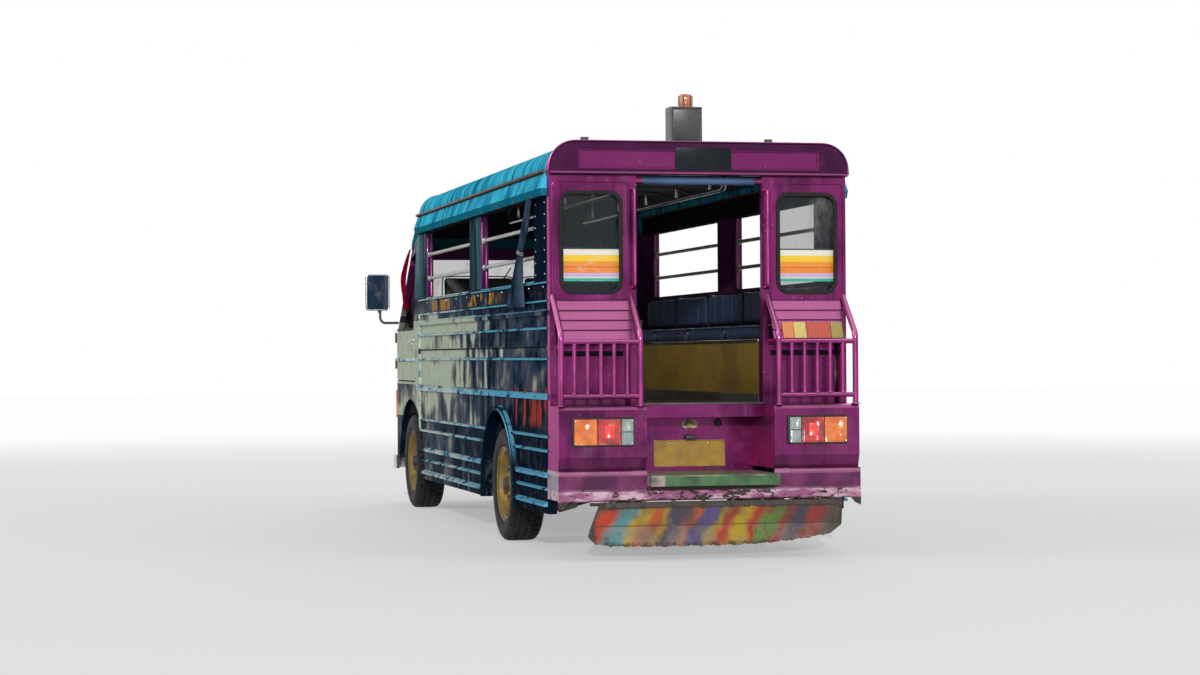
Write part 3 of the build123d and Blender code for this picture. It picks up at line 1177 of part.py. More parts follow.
# Exhaust: pipe, silencer and a tail pipe turned out to the left
PIPE_RADIUS = 24.0
PIPE_Y = 470.0
PIPE_Z = RAIL_BOTTOM - 40
SILENCER_AT = (CAB_START - 1660, CAB_START - 980)
with BuildPart() as exhaust_pipe:
    tube(
        [
            (ENGINE_START, 150, PIPE_Z + 10),
            (CAB_START - 380, 150, PIPE_Z + 10),
            (CAB_START - 720, PIPE_Y, PIPE_Z),
            (SILENCER_AT[1] - 10, PIPE_Y, PIPE_Z),
        ],
        90,
        PIPE_RADIUS,
    )
    rod((SILENCER_AT[1], PIPE_Y, PIPE_Z), (SILENCER_AT[0], PIPE_Y, PIPE_Z), 78)
    tube(
        [
            (SILENCER_AT[0] + 10, PIPE_Y, PIPE_Z),
            (420, PIPE_Y, PIPE_Z),
            (300, PIPE_Y + 30, PIPE_Z - 160),
            (190, PIPE_Y + 230, PIPE_Z - 198),
        ],
        70,
        PIPE_RADIUS,
    )
    rod((230, PIPE_Y + 157.3, PIPE_Z - 184.2), (179, PIPE_Y + 250, PIPE_Z - 201.8), PIPE_RADIUS + 6)
    tip = (178, PIPE_Y + 251.8, PIPE_Z - 202.2)
    rod((215, PIPE_Y + 184.5, PIPE_Z - 189.4), tip, PIPE_RADIUS + 1, mode=Mode.SUBTRACT)
    for hanger_at in (FRONT_BEARERS[1], REAR_BEARERS[1]):
        block((hanger_at - 10, hanger_at + 10), (PIPE_Y - 10, PIPE_Y + 10), (PIPE_Z + 20, RAIL_TOP))
write(exhaust_pipe.part, "exhaust_pipe")


def leaf_spring(axle_at, y_side, seat_z):
    """Adds a leaf pack under a rail, bowed down onto the axle, with its two hangers."""
    near, far = sorted((y_side * RAIL_INNER_Y, y_side * RAIL_OUTER_Y))
    left = station(axle_at - SPRING_HALF)
    right = station(axle_at + SPRING_HALF)
    middle = station(axle_at)
    end_z = RAIL_BOTTOM - HANGER_DROP
    with BuildSketch(Plane.XZ.offset(-far)) as pack:
        with BuildLine():
            ThreePointArc((left, end_z), (middle, seat_z), (right, end_z))
            Line((right, end_z), (right, end_z + 14))
            ThreePointArc((right, end_z + 14), (middle, seat_z + 40), (left, end_z + 14))
            Line((left, end_z + 14), (left, end_z))
        make_face()
    extrude(pack.sketch, amount=far - near)
    for end_at in (axle_at - SPRING_HALF + 10, axle_at + SPRING_HALF - 10):
        block((end_at - 18, end_at + 18), (near, far), (end_z - 2, RAIL_BOTTOM))


DRUM_RADIUS = 145.0

# Rear axle: tube, differential, spindles, springs and the propeller shaft
with BuildPart() as rear_axle:
    drum_y = WHEEL_Y - 119.5
    rod((REAR_AXLE_AT, -drum_y - 20, AXLE_Z), (REAR_AXLE_AT, drum_y + 20, AXLE_Z), 44)
    rod((REAR_AXLE_AT, -SPINDLE_END, AXLE_Z), (REAR_AXLE_AT, SPINDLE_END, AXLE_Z), SPINDLE_RADIUS)
    rod((REAR_AXLE_AT, -drum_y - 12, AXLE_Z), (REAR_AXLE_AT, -drum_y, AXLE_Z), DRUM_RADIUS)
    rod((REAR_AXLE_AT, drum_y, AXLE_Z), (REAR_AXLE_AT, drum_y + 12, AXLE_Z), DRUM_RADIUS)
    with Locations((station(REAR_AXLE_AT), 0, AXLE_Z)):
        Sphere(125)
    for side in (1, -1):
        leaf_spring(REAR_AXLE_AT, side, AXLE_Z + 40)
    rod((REAR_AXLE_AT, 0, AXLE_Z), (ENGINE_START + 20, 0, RAIL_BOTTOM - 48), 34)
    block((ENGINE_START, ENGINE_START + 90), (-60, 60), (RAIL_BOTTOM - 120, RAIL_BOTTOM + 20), mode=Mode.SUBTRACT)
write(rear_axle.part, "rear_axle")

# Front axle: a beam with an upright boss at each kingpin, and its springs
KINGPIN_Y = WHEEL_Y - 131.5
BOSS_RADIUS = 26.0
BOSS_HALF = 45.0
PIN_RADIUS = 13.0
with BuildPart() as front_axle:
    block((FRONT_AXLE_AT - 32, FRONT_AXLE_AT + 32), (-KINGPIN_Y, KINGPIN_Y), (AXLE_Z - 35, AXLE_Z + 35))
    for side in (1, -1):
        top = (FRONT_AXLE_AT, side * KINGPIN_Y, AXLE_Z + BOSS_HALF)
        bottom = (FRONT_AXLE_AT, side * KINGPIN_Y, AXLE_Z - BOSS_HALF)
        rod(bottom, top, BOSS_RADIUS)
        rod(bottom, top, PIN_RADIUS + RUN_CLEARANCE, mode=Mode.SUBTRACT)
        leaf_spring(FRONT_AXLE_AT, side, AXLE_Z + 33)
write(front_axle.part, "front_axle")

# Knuckles: a fork round the boss, the kingpin, the spindle, a brake drum's back plate and the steering arm
EAR_THICK = 18.0
EAR_GAP = 5.0
ARM_REACH = 175.0
ARM_Z = (AXLE_Z - BOSS_HALF - EAR_GAP - EAR_THICK, AXLE_Z - BOSS_HALF - EAR_GAP)
PIN_EYE_RADIUS = 9.0
with BuildPart() as knuckle_left:
    for ear_bottom in (AXLE_Z + BOSS_HALF + EAR_GAP, ARM_Z[0]):
        block((FRONT_AXLE_AT - 28, FRONT_AXLE_AT + 28), (KINGPIN_Y - 24, KINGPIN_Y + 62), (ear_bottom, ear_bottom + EAR_THICK))
    block(
        (FRONT_AXLE_AT - 28, FRONT_AXLE_AT + 28),
        (KINGPIN_Y + 44, KINGPIN_Y + 62),
        (ARM_Z[0], AXLE_Z + BOSS_HALF + EAR_GAP + EAR_THICK),
    )
    rod(
        (FRONT_AXLE_AT, KINGPIN_Y, ARM_Z[0]),
        (FRONT_AXLE_AT, KINGPIN_Y, AXLE_Z + BOSS_HALF + EAR_GAP + EAR_THICK),
        PIN_RADIUS,
    )
    rod((FRONT_AXLE_AT, KINGPIN_Y + 50, AXLE_Z), (FRONT_AXLE_AT, SPINDLE_END, AXLE_Z), SPINDLE_RADIUS)
    rod((FRONT_AXLE_AT, KINGPIN_Y + 54, AXLE_Z), (FRONT_AXLE_AT, KINGPIN_Y + 62, AXLE_Z), DRUM_RADIUS)
    side_arm = [
        (FRONT_AXLE_AT - 20, KINGPIN_Y + 20),
        (FRONT_AXLE_AT - 20, KINGPIN_Y - 20),
        (FRONT_AXLE_AT - ARM_REACH, KINGPIN_Y - 20),
        (FRONT_AXLE_AT - ARM_REACH, KINGPIN_Y + 20),
    ]
    with BuildSketch(Plane.XY.offset(ARM_Z[0])):
        with BuildLine():
            Polyline(*[(station(x), y) for x, y in side_arm], close=True)
        make_face()
        with Locations((station(FRONT_AXLE_AT - ARM_REACH), KINGPIN_Y)):
            Circle(22)
    extrude(amount=EAR_THICK)
    rod(
        (FRONT_AXLE_AT - ARM_REACH, KINGPIN_Y, ARM_Z[0] - 1),
        (FRONT_AXLE_AT - ARM_REACH, KINGPIN_Y, ARM_Z[1] + 1),
        PIN_EYE_RADIUS,
        mode=Mode.SUBTRACT,
    )
write(knuckle_left.part, "knuckle_left")
knuckle_right = mirrored("knuckle_right", knuckle_left.part)

# Tie rod below the two arms; its left pin runs in the arm and its right one is loose
LOOSE_PIN = 3.0
with BuildPart() as tie_rod:
    rod_z = ARM_Z[0] - 22
    rod((FRONT_AXLE_AT - ARM_REACH, -KINGPIN_Y, rod_z), (FRONT_AXLE_AT - ARM_REACH, KINGPIN_Y, rod_z), 13)
    for side, slack in ((1, RUN_CLEARANCE), (-1, LOOSE_PIN)):
        end = (FRONT_AXLE_AT - ARM_REACH, side * KINGPIN_Y, rod_z - 16)
        rod(end, (end[0], end[1], rod_z + 16), 20)
        rod(end, (end[0], end[1], ARM_Z[1] + 2), PIN_EYE_RADIUS - slack)
write(tie_rod.part, "tie_rod")

# Wheels: a dished disc rim with vent holes, and a tyre
RIM_HALF = 80.0
HUB_RADIUS = 62.0
with BuildPart() as rim:
    with BuildSketch(Plane.XY):
        with BuildLine():
            Polyline(
                (RIM_RADIUS, RIM_HALF),
                (RIM_RADIUS, RIM_HALF - 8),
                (RIM_RADIUS - 16, RIM_HALF - 14),
                (RIM_RADIUS - 28, RIM_HALF - 50),
                (RIM_RADIUS - 28, -RIM_HALF + 50),
                (RIM_RADIUS - 16, -RIM_HALF + 14),
                (RIM_RADIUS, -RIM_HALF + 8),
                (RIM_RADIUS, -RIM_HALF),
                (RIM_RADIUS - 24, -RIM_HALF + 8),
                (RIM_RADIUS - 36, -RIM_HALF + 44),
                (RIM_RADIUS - 36, 10),
                (HUB_RADIUS + 46, 34),
                (HUB_RADIUS + 6, 22),
                (HUB_RADIUS, -10),
                (SPINDLE_RADIUS + RUN_CLEARANCE, -10),
                (SPINDLE_RADIUS + RUN_CLEARANCE, 22),
                (0, 22),
                (0, 62),
                (HUB_RADIUS - 22, 62),
                (HUB_RADIUS - 14, 36),
                (HUB_RADIUS + 4, 32),
                (HUB_RADIUS + 46, 46),
                (RIM_RADIUS - 36, 24),
                (RIM_RADIUS - 36, RIM_HALF - 44),
                (RIM_RADIUS - 24, RIM_HALF - 8),
                close=True,
            )
        make_face()
    revolve(axis=Axis.Y)
    with BuildSketch(Plane.XZ.offset(-100)):
        with PolarLocations(138, 8):
            Circle(19)
    extrude(amount=120, mode=Mode.SUBTRACT)
with BuildPart() as tyre:
    with BuildSketch(Plane.XY):
        with BuildLine():
            half = TYRE_WIDTH / 2
            Polyline(
                (RIM_RADIUS - 16, RIM_HALF - 14),
                (RIM_RADIUS, RIM_HALF - 8),
                (RIM_RADIUS + 4, RIM_HALF + 2),
                (RIM_RADIUS + 28, half - 2),
                (RIM_RADIUS + 60, half),
                (TYRE_RADIUS - 22, half - 8),
                (TYRE_RADIUS - 6, half - 20),
                (TYRE_RADIUS, half - 40),
                (TYRE_RADIUS, -half + 40),
                (TYRE_RADIUS - 6, -half + 20),
                (TYRE_RADIUS - 22, -half + 8),
                (RIM_RADIUS + 60, -half),
                (RIM_RADIUS + 28, -half + 2),
                (RIM_RADIUS + 4, -RIM_HALF - 2),
                (RIM_RADIUS, -RIM_HALF + 8),
                (RIM_RADIUS - 16, -RIM_HALF + 14),
                (RIM_RADIUS - 28, -RIM_HALF + 50),
                (RIM_RADIUS - 28, RIM_HALF - 50),
                close=True,
            )
        make_face()
    revolve(axis=Axis.Y)

for axle_name, axle_at in (("front", FRONT_AXLE_AT), ("rear", REAR_AXLE_AT)):
    for piece_name, piece in (("rim", rim.part), ("tyre", tyre.part)):
        with BuildPart() as left_piece:
            add(piece.moved(Location((station(axle_at), WHEEL_Y, AXLE_Z))))
        write(left_piece.part, f"{piece_name}_{axle_name}_left")
        mirrored(f"{piece_name}_{axle_name}_right", left_piece.part)

# Rain curtain tied back at the rear of the left side's rear window: distance and height below the eave
CURTAIN_AT = SIDE_WINDOWS[0][0]
CURTAIN_OUTLINE = (
    (-60.0, 0.0),
    (90.0, 0.0),
    (230.0, 170.0),
    (305.0, 262.0),
    (640.0, 560.0),
    (150.0, 570.0),
    (205.0, 270.0),
    (40.0, 150.0),
)
with BuildPart() as side_curtain:
    side_prism(
        [(CURTAIN_AT + ahead, EAVE_Z - drop) for ahead, drop in CURTAIN_OUTLINE],
        SKIN_Y + 15,
        SKIN_Y + 29,
    )
write(side_curtain.part, "side_curtain")

# Cloth outside the driver's window, hung from the top rear corner of the door: distance and height below the door's top
DOOR_CLOTH = (
    (40.0, 30.0),
    (150.0, 40.0),
    (430.0, 190.0),
    (380.0, 450.0),
    (130.0, 460.0),
    (210.0, 320.0),
    (90.0, 130.0),
)
# It billows out from the door: reach from the skin and height below the door's top
CLOTH_BILLOW = (
    (8.0, 0.0),
    (16.0, 22.0),
    (36.0, 105.0),
    (56.0, 215.0),
    (52.0, 300.0),
    (36.0, 390.0),
    (24.0, 470.0),
    (8.0, 470.0),
)
cloth_top = EAVE_Z - 50
with BuildPart() as driver_curtain:
    side_prism(
        [(DOOR_REAR + ahead, cloth_top - drop) for ahead, drop in DOOR_CLOTH],
        SKIN_Y + 8,
        SKIN_Y + 60,
    )
    with BuildPart(mode=Mode.PRIVATE) as billow:
        front_prism([(SKIN_Y + reach, cloth_top - drop) for reach, drop in CLOTH_BILLOW], DOOR_REAR, DOOR_FRONT)
    add(billow.part, mode=Mode.INTERSECT)
    block((DOOR_REAR + 45, DOOR_REAR + 75), (SKIN_Y - WALL, SKIN_Y + 16), (cloth_top - 42, cloth_top - 34))
    add(cab_skin.part, mode=Mode.SUBTRACT)
write(driver_curtain.part, "driver_curtain")
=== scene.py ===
"""Looks of a cab-over jeepney: its frame dressed with paint, trim, tyres, padded benches and cloth."""

import logging
import math
from collections.abc import Callable, Sequence
from dataclasses import dataclass
from enum import Enum
from typing import Any, Self

import bmesh
import bpy
from mathutils import Matrix, Vector


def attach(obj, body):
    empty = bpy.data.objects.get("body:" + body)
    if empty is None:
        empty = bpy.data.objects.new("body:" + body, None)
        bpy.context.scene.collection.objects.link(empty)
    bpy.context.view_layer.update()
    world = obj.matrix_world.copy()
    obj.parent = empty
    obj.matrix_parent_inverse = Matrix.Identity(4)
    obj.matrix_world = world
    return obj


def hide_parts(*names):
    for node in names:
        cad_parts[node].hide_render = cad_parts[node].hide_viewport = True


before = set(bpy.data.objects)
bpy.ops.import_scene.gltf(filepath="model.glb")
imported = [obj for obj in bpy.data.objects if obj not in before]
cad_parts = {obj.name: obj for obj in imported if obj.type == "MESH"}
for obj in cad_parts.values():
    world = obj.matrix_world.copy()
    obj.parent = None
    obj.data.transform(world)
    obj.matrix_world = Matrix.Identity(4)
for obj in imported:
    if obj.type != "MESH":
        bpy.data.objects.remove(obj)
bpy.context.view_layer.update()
REAR_FACE = -2.605
REARWARD, AHEAD = Vector((-1, 0, 0)), Vector((1, 0, 0))
RIGHTWARD, LEFTWARD = Vector((0, -1, 0)), Vector((0, 1, 0))
DOWN, UP = Vector((0, 0, -1)), Vector((0, 0, 1))
log = logging.getLogger("jeepney")
Place = tuple[float, float, float]
Colour = tuple[float, float, float]
Pair = tuple[float, float]
Stops = Sequence[tuple[float, Colour]]
MIX = {"data_type": "RGBA", "blend_type": "MIX", "clamp_factor": True}


class Side(Enum):
    """Left or right half of the vehicle, by the sign of Y."""

    LEFT = 1
    RIGHT = -1


class End(Enum):
    """Axle, by its distance forward of the rear face in millimetres."""

    REAR = 1370
    FRONT = 4720


def spot(distance: float, y: float, z: float) -> Vector:
    """A place in metres from millimetres ahead of the upper rear face, left of the middle and up."""
    return Vector((REAR_FACE + distance / 1000, y / 1000, z / 1000))


def step_of(way: Place) -> Vector:
    """A step in metres from one in millimetres."""
    return Vector(way) / 1000


def add_node(
    tree: bpy.types.NodeTree, kind: str, settings: dict[str, Any] | None = None,
    inputs: dict[str | int, Any] | None = None, output: str | int = 0,
) -> "Link":
    """Adds a shader node, with its settings made before its sockets are filled.

    Args:
        tree: The node tree it goes into.
        kind: Node type without its ShaderNode prefix.
        settings: Properties of the node; stops are a ramp's (position, colour) pairs.
        inputs: Values or links for its sockets, by name or number.
        output: The output that is handed back.

    Returns:
        The chosen output as a link.
    """
    node = tree.nodes.new("ShaderNode" + kind)
    for name, value in (settings or {}).items():
        if name == "stops":
            ramp = node.color_ramp
            while len(ramp.elements) < len(value):
                ramp.elements.new(0.5)
            for element, (position, colour) in zip(ramp.elements, value):
                element.position = position
                element.color = (*colour, 1)
        else:
            setattr(node, name, value)
    for name, value in (inputs or {}).items():
        fill(node.inputs[name], value)
    return Link(tree, node.outputs[output])


def fill(socket: bpy.types.NodeSocket, value: Any) -> None:
    """Links a socket, or gives it a number, a vector or a colour."""
    if isinstance(value, Link):
        value.tree.links.new(value.socket, socket)
    elif socket.type == "RGBA" and len(value) == 3:
        socket.default_value = (*value, 1)
    else:
        socket.default_value = value


class Link:
    """A node's output that takes part in sums, so shader maths reads as an expression."""

    def __init__(self, tree: bpy.types.NodeTree, socket: bpy.types.NodeSocket) -> None:
        """Wraps one output socket of a tree."""
        self.tree = tree
        self.socket = socket

    def math(self, operation: str, *values: "Link | float") -> "Link":
        """Adds a Math node on the given values."""
        return add_node(self.tree, "Math", {"operation": operation}, dict(enumerate(values)))

    def __add__(self, other: "Link | float") -> "Link":
        """self + other."""
        return self.math("ADD", self, other)

    __radd__ = __add__

    def __sub__(self, other: "Link | float") -> "Link":
        """self - other."""
        return self.math("SUBTRACT", self, other)

    def __rsub__(self, other: float) -> "Link":
        """other - self."""
        return self.math("SUBTRACT", other, self)

    def __mul__(self, other: "Link | float") -> "Link":
        """self * other."""
        return self.math("MULTIPLY", self, other)

    __rmul__ = __mul__

    def __truediv__(self, other: "Link | float") -> "Link":
        """self / other."""
        return self.math("DIVIDE", self, other)

    def __pow__(self, other: "Link | float") -> "Link":
        """self to the power of other."""
        return self.math("POWER", self, other)

    def __abs__(self) -> "Link":
        """Size without its sign."""
        return self.math("ABSOLUTE", self)

    def fraction(self) -> "Link":
        """Part above the whole number."""
        return self.math("FRACT", self)

    def least(self, other: "Link | float") -> "Link":
        """The smaller of two."""
        return self.math("MINIMUM", self, other)

    def most(self, other: "Link | float") -> "Link":
        """The larger of two."""
        return self.math("MAXIMUM", self, other)

    def clamped(self) -> "Link":
        """Kept between 0 and 1."""
        settings = {"operation": "ADD", "use_clamp": True}
        return add_node(self.tree, "Math", settings, {0: self, 1: 0})

    def rise(self, low: float, high: float) -> "Link":
        """Smooth step from 0 at low to 1 at high, falling where high is the lower number.

        Args:
            low: Value that gives 0.
            high: Value that gives 1.

        Returns:
            The mask.
        """
        near, far, start = (low, high, 0) if low < high else (high, low, 1)
        inputs = {"Value": self, "From Min": near, "From Max": far, "To Min": start, "To Max": 1 - start}
        return add_node(self.tree, "MapRange", {"interpolation_type": "SMOOTHSTEP"}, inputs)

    def within(self, low: float, high: float, soft: float = 0.002) -> "Link":
        """Mask of the values between two limits, with soft edges."""
        return self.rise(low - soft, low + soft) * self.rise(high + soft, high - soft)

    def mix(self, mask: "Link | float", colour: "Link | Colour") -> "Link":
        """This colour with a share of another over it."""
        return add_node(self.tree, "Mix", MIX, {0: mask, 6: self, 7: colour}, 2)


def watched(tree: bpy.types.NodeTree) -> Link:
    """1 for what the camera sees, straight, in a mirror or through glass."""
    straight, mirrored, through = (
        add_node(tree, "LightPath", output=f"Is {word} Ray") for word in ("Camera", "Glossy", "Transmission")
    )
    return straight.most(mirrored).most(through)


class Recipe:
    """A material in the making: its tree, its patterns, and what goes to the shader."""

    def __init__(self, name: str) -> None:
        """Starts an empty material with a principled shader."""
        self.material = bpy.data.materials.new(name)
        self.material.use_nodes = True
        self.tree = self.material.node_tree
        self.tree.nodes.clear()
        self.shader = self.tree.nodes.new("ShaderNodeBsdfPrincipled")
        output = self.tree.nodes.new("ShaderNodeOutputMaterial")
        self.tree.links.new(self.shader.outputs[0], output.inputs[0])

    def node(self, kind: str, *more: Any, **named: Any) -> Link:
        """Adds a node to this material; see add_node."""
        return add_node(self.tree, kind, *more, **named)

    def parts(self, vector: Link) -> list[Link]:
        """X, Y and Z of a vector."""
        split = self.node("SeparateXYZ", inputs={0: vector}).socket.node
        return [Link(self.tree, output) for output in split.outputs]

    def place(self) -> Link:
        """Object coordinates, which are metres in the shared frame."""
        return self.node("TexCoord", output="Object")

    def axes(self) -> list[Link]:
        """X, Y and Z of the object coordinates."""
        return self.parts(self.place())

    def facing(self) -> list[Link]:
        """X, Y and Z of the surface's normal in object space."""
        return self.parts(self.node("TexCoord", output="Normal"))

    def noise(
        self, scale: float, detail: float = 3, stretch: Place = (1, 1, 1), shift: float = 0,
        roughness: float = 0.55, distortion: float = 0, at: Link | None = None,
    ) -> Link:
        """Cloud noise, with its scale per metre.

        Args:
            scale: Lumps per metre.
            detail: Octaves.
            stretch: Factor on each axis.
            shift: Offset, so that patterns differ.
            roughness: Weight of the finer octaves.
            distortion: How far the noise is pulled about.
            at: Where it is read, if not at the surface's own place.

        Returns:
            Noise from 0 to 1, mostly near 0.5.
        """
        inputs = {0: at or self.place(), "Location": (shift, shift * 1.7, shift * 0.6), "Scale": stretch}
        spread = self.node("Mapping", {"vector_type": "POINT"}, inputs)
        names = ("Vector", "Scale", "Detail", "Roughness", "Distortion")
        return self.node("TexNoise", None, dict(zip(names, (spread, scale, detail, roughness, distortion))))

    def ramp(self, value: Link, stops: Stops, sharp: bool = False) -> Link:
        """Colours along a value.

        Args:
            value: Link from 0 to 1.
            stops: Positions and their colours.
            sharp: Whether the colours meet without blending.

        Returns:
            The colour.
        """
        tint = self.node("ValToRGB", {"stops": stops}, {0: value})
        tint.socket.node.color_ramp.interpolation = "CONSTANT" if sharp else "LINEAR"
        return tint

    def blend(self, mask: Link | float, first: Link | Colour, second: Link | Colour) -> Link:
        """The first colour where the mask is 0, and the second where it is 1."""
        return self.node("Mix", MIX, {0: mask, 6: first, 7: second}, 2)

    def bump(self, height: Link, depth: float, strength: float = 1, under: Link | None = None) -> Link:
        """Normal from a height of 0 to 1 that is so many metres deep, over another bump if one is given."""
        inputs = {"Strength": strength, "Distance": depth, "Height": height}
        return self.node("Bump", None, inputs if under is None else {**inputs, "Normal": under})

    def finish(self, **sockets: Any) -> None:
        """Fills the shader's sockets, named with underscores for spaces."""
        for name, value in sockets.items():
            fill(self.shader.inputs[name.replace("_", " ")], value)


@dataclass(frozen=True)
class Finish:
    """A surface finish, made once and then shared by the pieces that carry it."""

    name: str

    def build(self, recipe: Recipe) -> None:
        """Fills the recipe with this finish's pattern."""
        raise NotImplementedError

    def material(self) -> bpy.types.Material:
        """The material of this finish, made when it is first asked for."""
        known = bpy.data.materials.get(self.name)
        if known is not None:
            return known
        recipe = Recipe(self.name)
        self.build(recipe)
        return recipe.material


@dataclass(frozen=True)
class Coat(Finish):
    """Paint, bare metal or plastic with cloudy colour, road dirt, chips down to what is below, and drips."""

    colour: Colour
    deep: Colour
    rough: float = 0.35
    metallic: float = 0
    coat: float = 0
    dirt: float = 0.35
    dirt_colour: Colour = (0.07, 0.058, 0.05)
    chips: float = 0
    chip_colour: Colour = (0.10, 0.045, 0.02)
    drips: float = 0.25
    grain: float = 70
    depth: float = 0.0004
    shine: float = 0.5

    def build(self, recipe: Recipe) -> None:
        """Clouded base, then dirt that thickens towards the ground, chips and a fine grain."""
        _, _, height = recipe.axes()
        clouds = recipe.noise(2.6, 4, shift=3)
        base = recipe.blend(clouds.rise(0.35, 0.68), self.colour, self.deep)
        runs = recipe.noise(16, 3, (1, 1, 0.08), 7).rise(0.5, 0.74)
        low = height.rise(1.3, 0.25)
        soil = recipe.noise(7, 6, shift=11, roughness=0.7)
        grime = ((soil + low * 0.24 + runs * self.drips * 0.4).rise(0.5, 0.92)) * self.dirt
        base = base.mix(grime, self.dirt_colour)
        flakes = recipe.noise(26, 5, shift=5, roughness=0.72) + low * 0.03
        bare = flakes.rise(0.705 - self.chips * 0.16, 0.72 - self.chips * 0.16)
        if self.chips > 0:
            rim = flakes.rise(0.68 - self.chips * 0.16, 0.70 - self.chips * 0.16)
            base = base.mix(rim * 0.5, tuple(0.6 * part for part in self.colour))
            base = base.mix(bare, self.chip_colour)
        fine = recipe.noise(self.grain, 4, shift=1)
        rough = (fine - 0.5) * 0.22 + self.rough + grime * 0.35
        surface = recipe.bump(fine, self.depth)
        if self.chips > 0:
            rough = rough + bare * 0.3
            surface = recipe.bump(1 - bare, 0.0005, 0.6, surface)
        recipe.finish(
            Base_Color=base, Roughness=rough.clamped(), Metallic=self.metallic,
            Specular_IOR_Level=self.shine, Coat_Weight=self.coat, Coat_Roughness=0.12, Normal=surface,
        )


@dataclass(frozen=True)
class PlumPaint(Finish):
    """Metallic plum paint: painted pinker where it faces the light and darker where it faces away, with
    painted lit and shaded patches and a header painted dark as a reflection; dusty low down, streaked and
    chipped.
    """

    # lit, shade and gleam are the paint under painted light, shade and highlight; the fourth colour is a
    # painted dark reflection on the header.
    lit: Colour = (0.23, 0.026, 0.145)
    body: Colour = (0.085, 0.008, 0.058)
    shade: Colour = (0.035, 0.005, 0.030)
    painted_dark_reflection: Colour = (0.036, 0.006, 0.032)
    gleam: Colour = (0.74, 0.22, 0.48)

    def build(self, recipe: Recipe) -> None:
        """Clouds of painted light and shade, flake and streaks, painted light and shade by facing, then dust
        and chips.
        """
        _, y, height = recipe.axes()
        _, across, up = recipe.facing()
        clouds = recipe.noise(2.1, 4, shift=2)
        # Painted light and shade: clouds move the colour between the paint's lit and shaded copies.
        base = recipe.ramp(clouds.rise(0.25, 0.75), ((0, self.body), (0.55, self.lit), (1, self.shade)))
        base = base.mix(clouds.rise(0.4, 0.62) * 0.6, self.body)
        flake = recipe.noise(900, 1, shift=4)
        base = base.mix(flake.rise(0.62, 0.75) * 0.15, (0.60, 0.20, 0.42))
        streak = recipe.noise(22, 4, (1, 1, 0.05), 9)
        base = base.mix(streak.rise(0.56, 0.8) * 0.22, (0.46, 0.13, 0.32))
        base = base.mix(streak.rise(0.45, 0.25) * 0.5, self.shade)
        # Painted dark reflection: the header, above 1.972 m, is painted dark.
        base = base.mix(height.rise(1.972, 1.984) * 0.85, self.painted_dark_reflection)
        # Painted light: the header's recessed band is painted partly in the lit colour.
        band = height.within(2.010, 2.106) * abs(y).rise(0.648, 0.644)
        base = base.mix(band * 0.6, self.lit)
        # Painted highlight on faces that look up and to the left, painted shade on faces that look down and
        # to the right.
        catch = (up * 0.85 + across * 0.40).rise(0.16, 0.62) * up.rise(0.985, 0.90)
        base = base.mix(catch * 0.8, self.gleam)
        base = base.mix((up * 0.8 + across * 0.45).rise(-0.22, -0.62) * 0.8, self.shade)
        low = height.rise(1.1, 0.3)
        soil = recipe.noise(6, 6, shift=13, roughness=0.7)
        dust = (soil + low * 0.2).rise(0.55, 0.92) * 0.5
        base = base.mix(dust, (0.13, 0.065, 0.09))
        settled = up.rise(0.55, 0.95) * soil.rise(0.35, 0.6) * 0.45
        base = base.mix(settled, (0.30, 0.22, 0.24))
        flakes = recipe.noise(30, 5, shift=6, roughness=0.75)
        worn = (flakes + low * 0.02).rise(0.69, 0.705)
        base = base.mix(flakes.rise(0.665, 0.69) * 0.5, (0.62, 0.45, 0.52))
        base = base.mix(worn, (0.06, 0.03, 0.03))
        wave = recipe.noise(1.7, 2, shift=15)
        surface = recipe.bump(wave, 0.010)
        surface = recipe.bump(recipe.noise(55, 4, shift=1), 0.0003, 1, surface)
        surface = recipe.bump(1 - worn, 0.0004, 0.6, surface)
        recipe.finish(
            Base_Color=base, Roughness=clouds * 0.14 + dust * 0.35 + worn * 0.3 + 0.20, Metallic=0.85,
            Specular_Tint=(0.6, 0.2, 0.42), Specular_IOR_Level=0, Coat_Weight=0.16, Coat_Roughness=0.05,
            Normal=surface,
        )


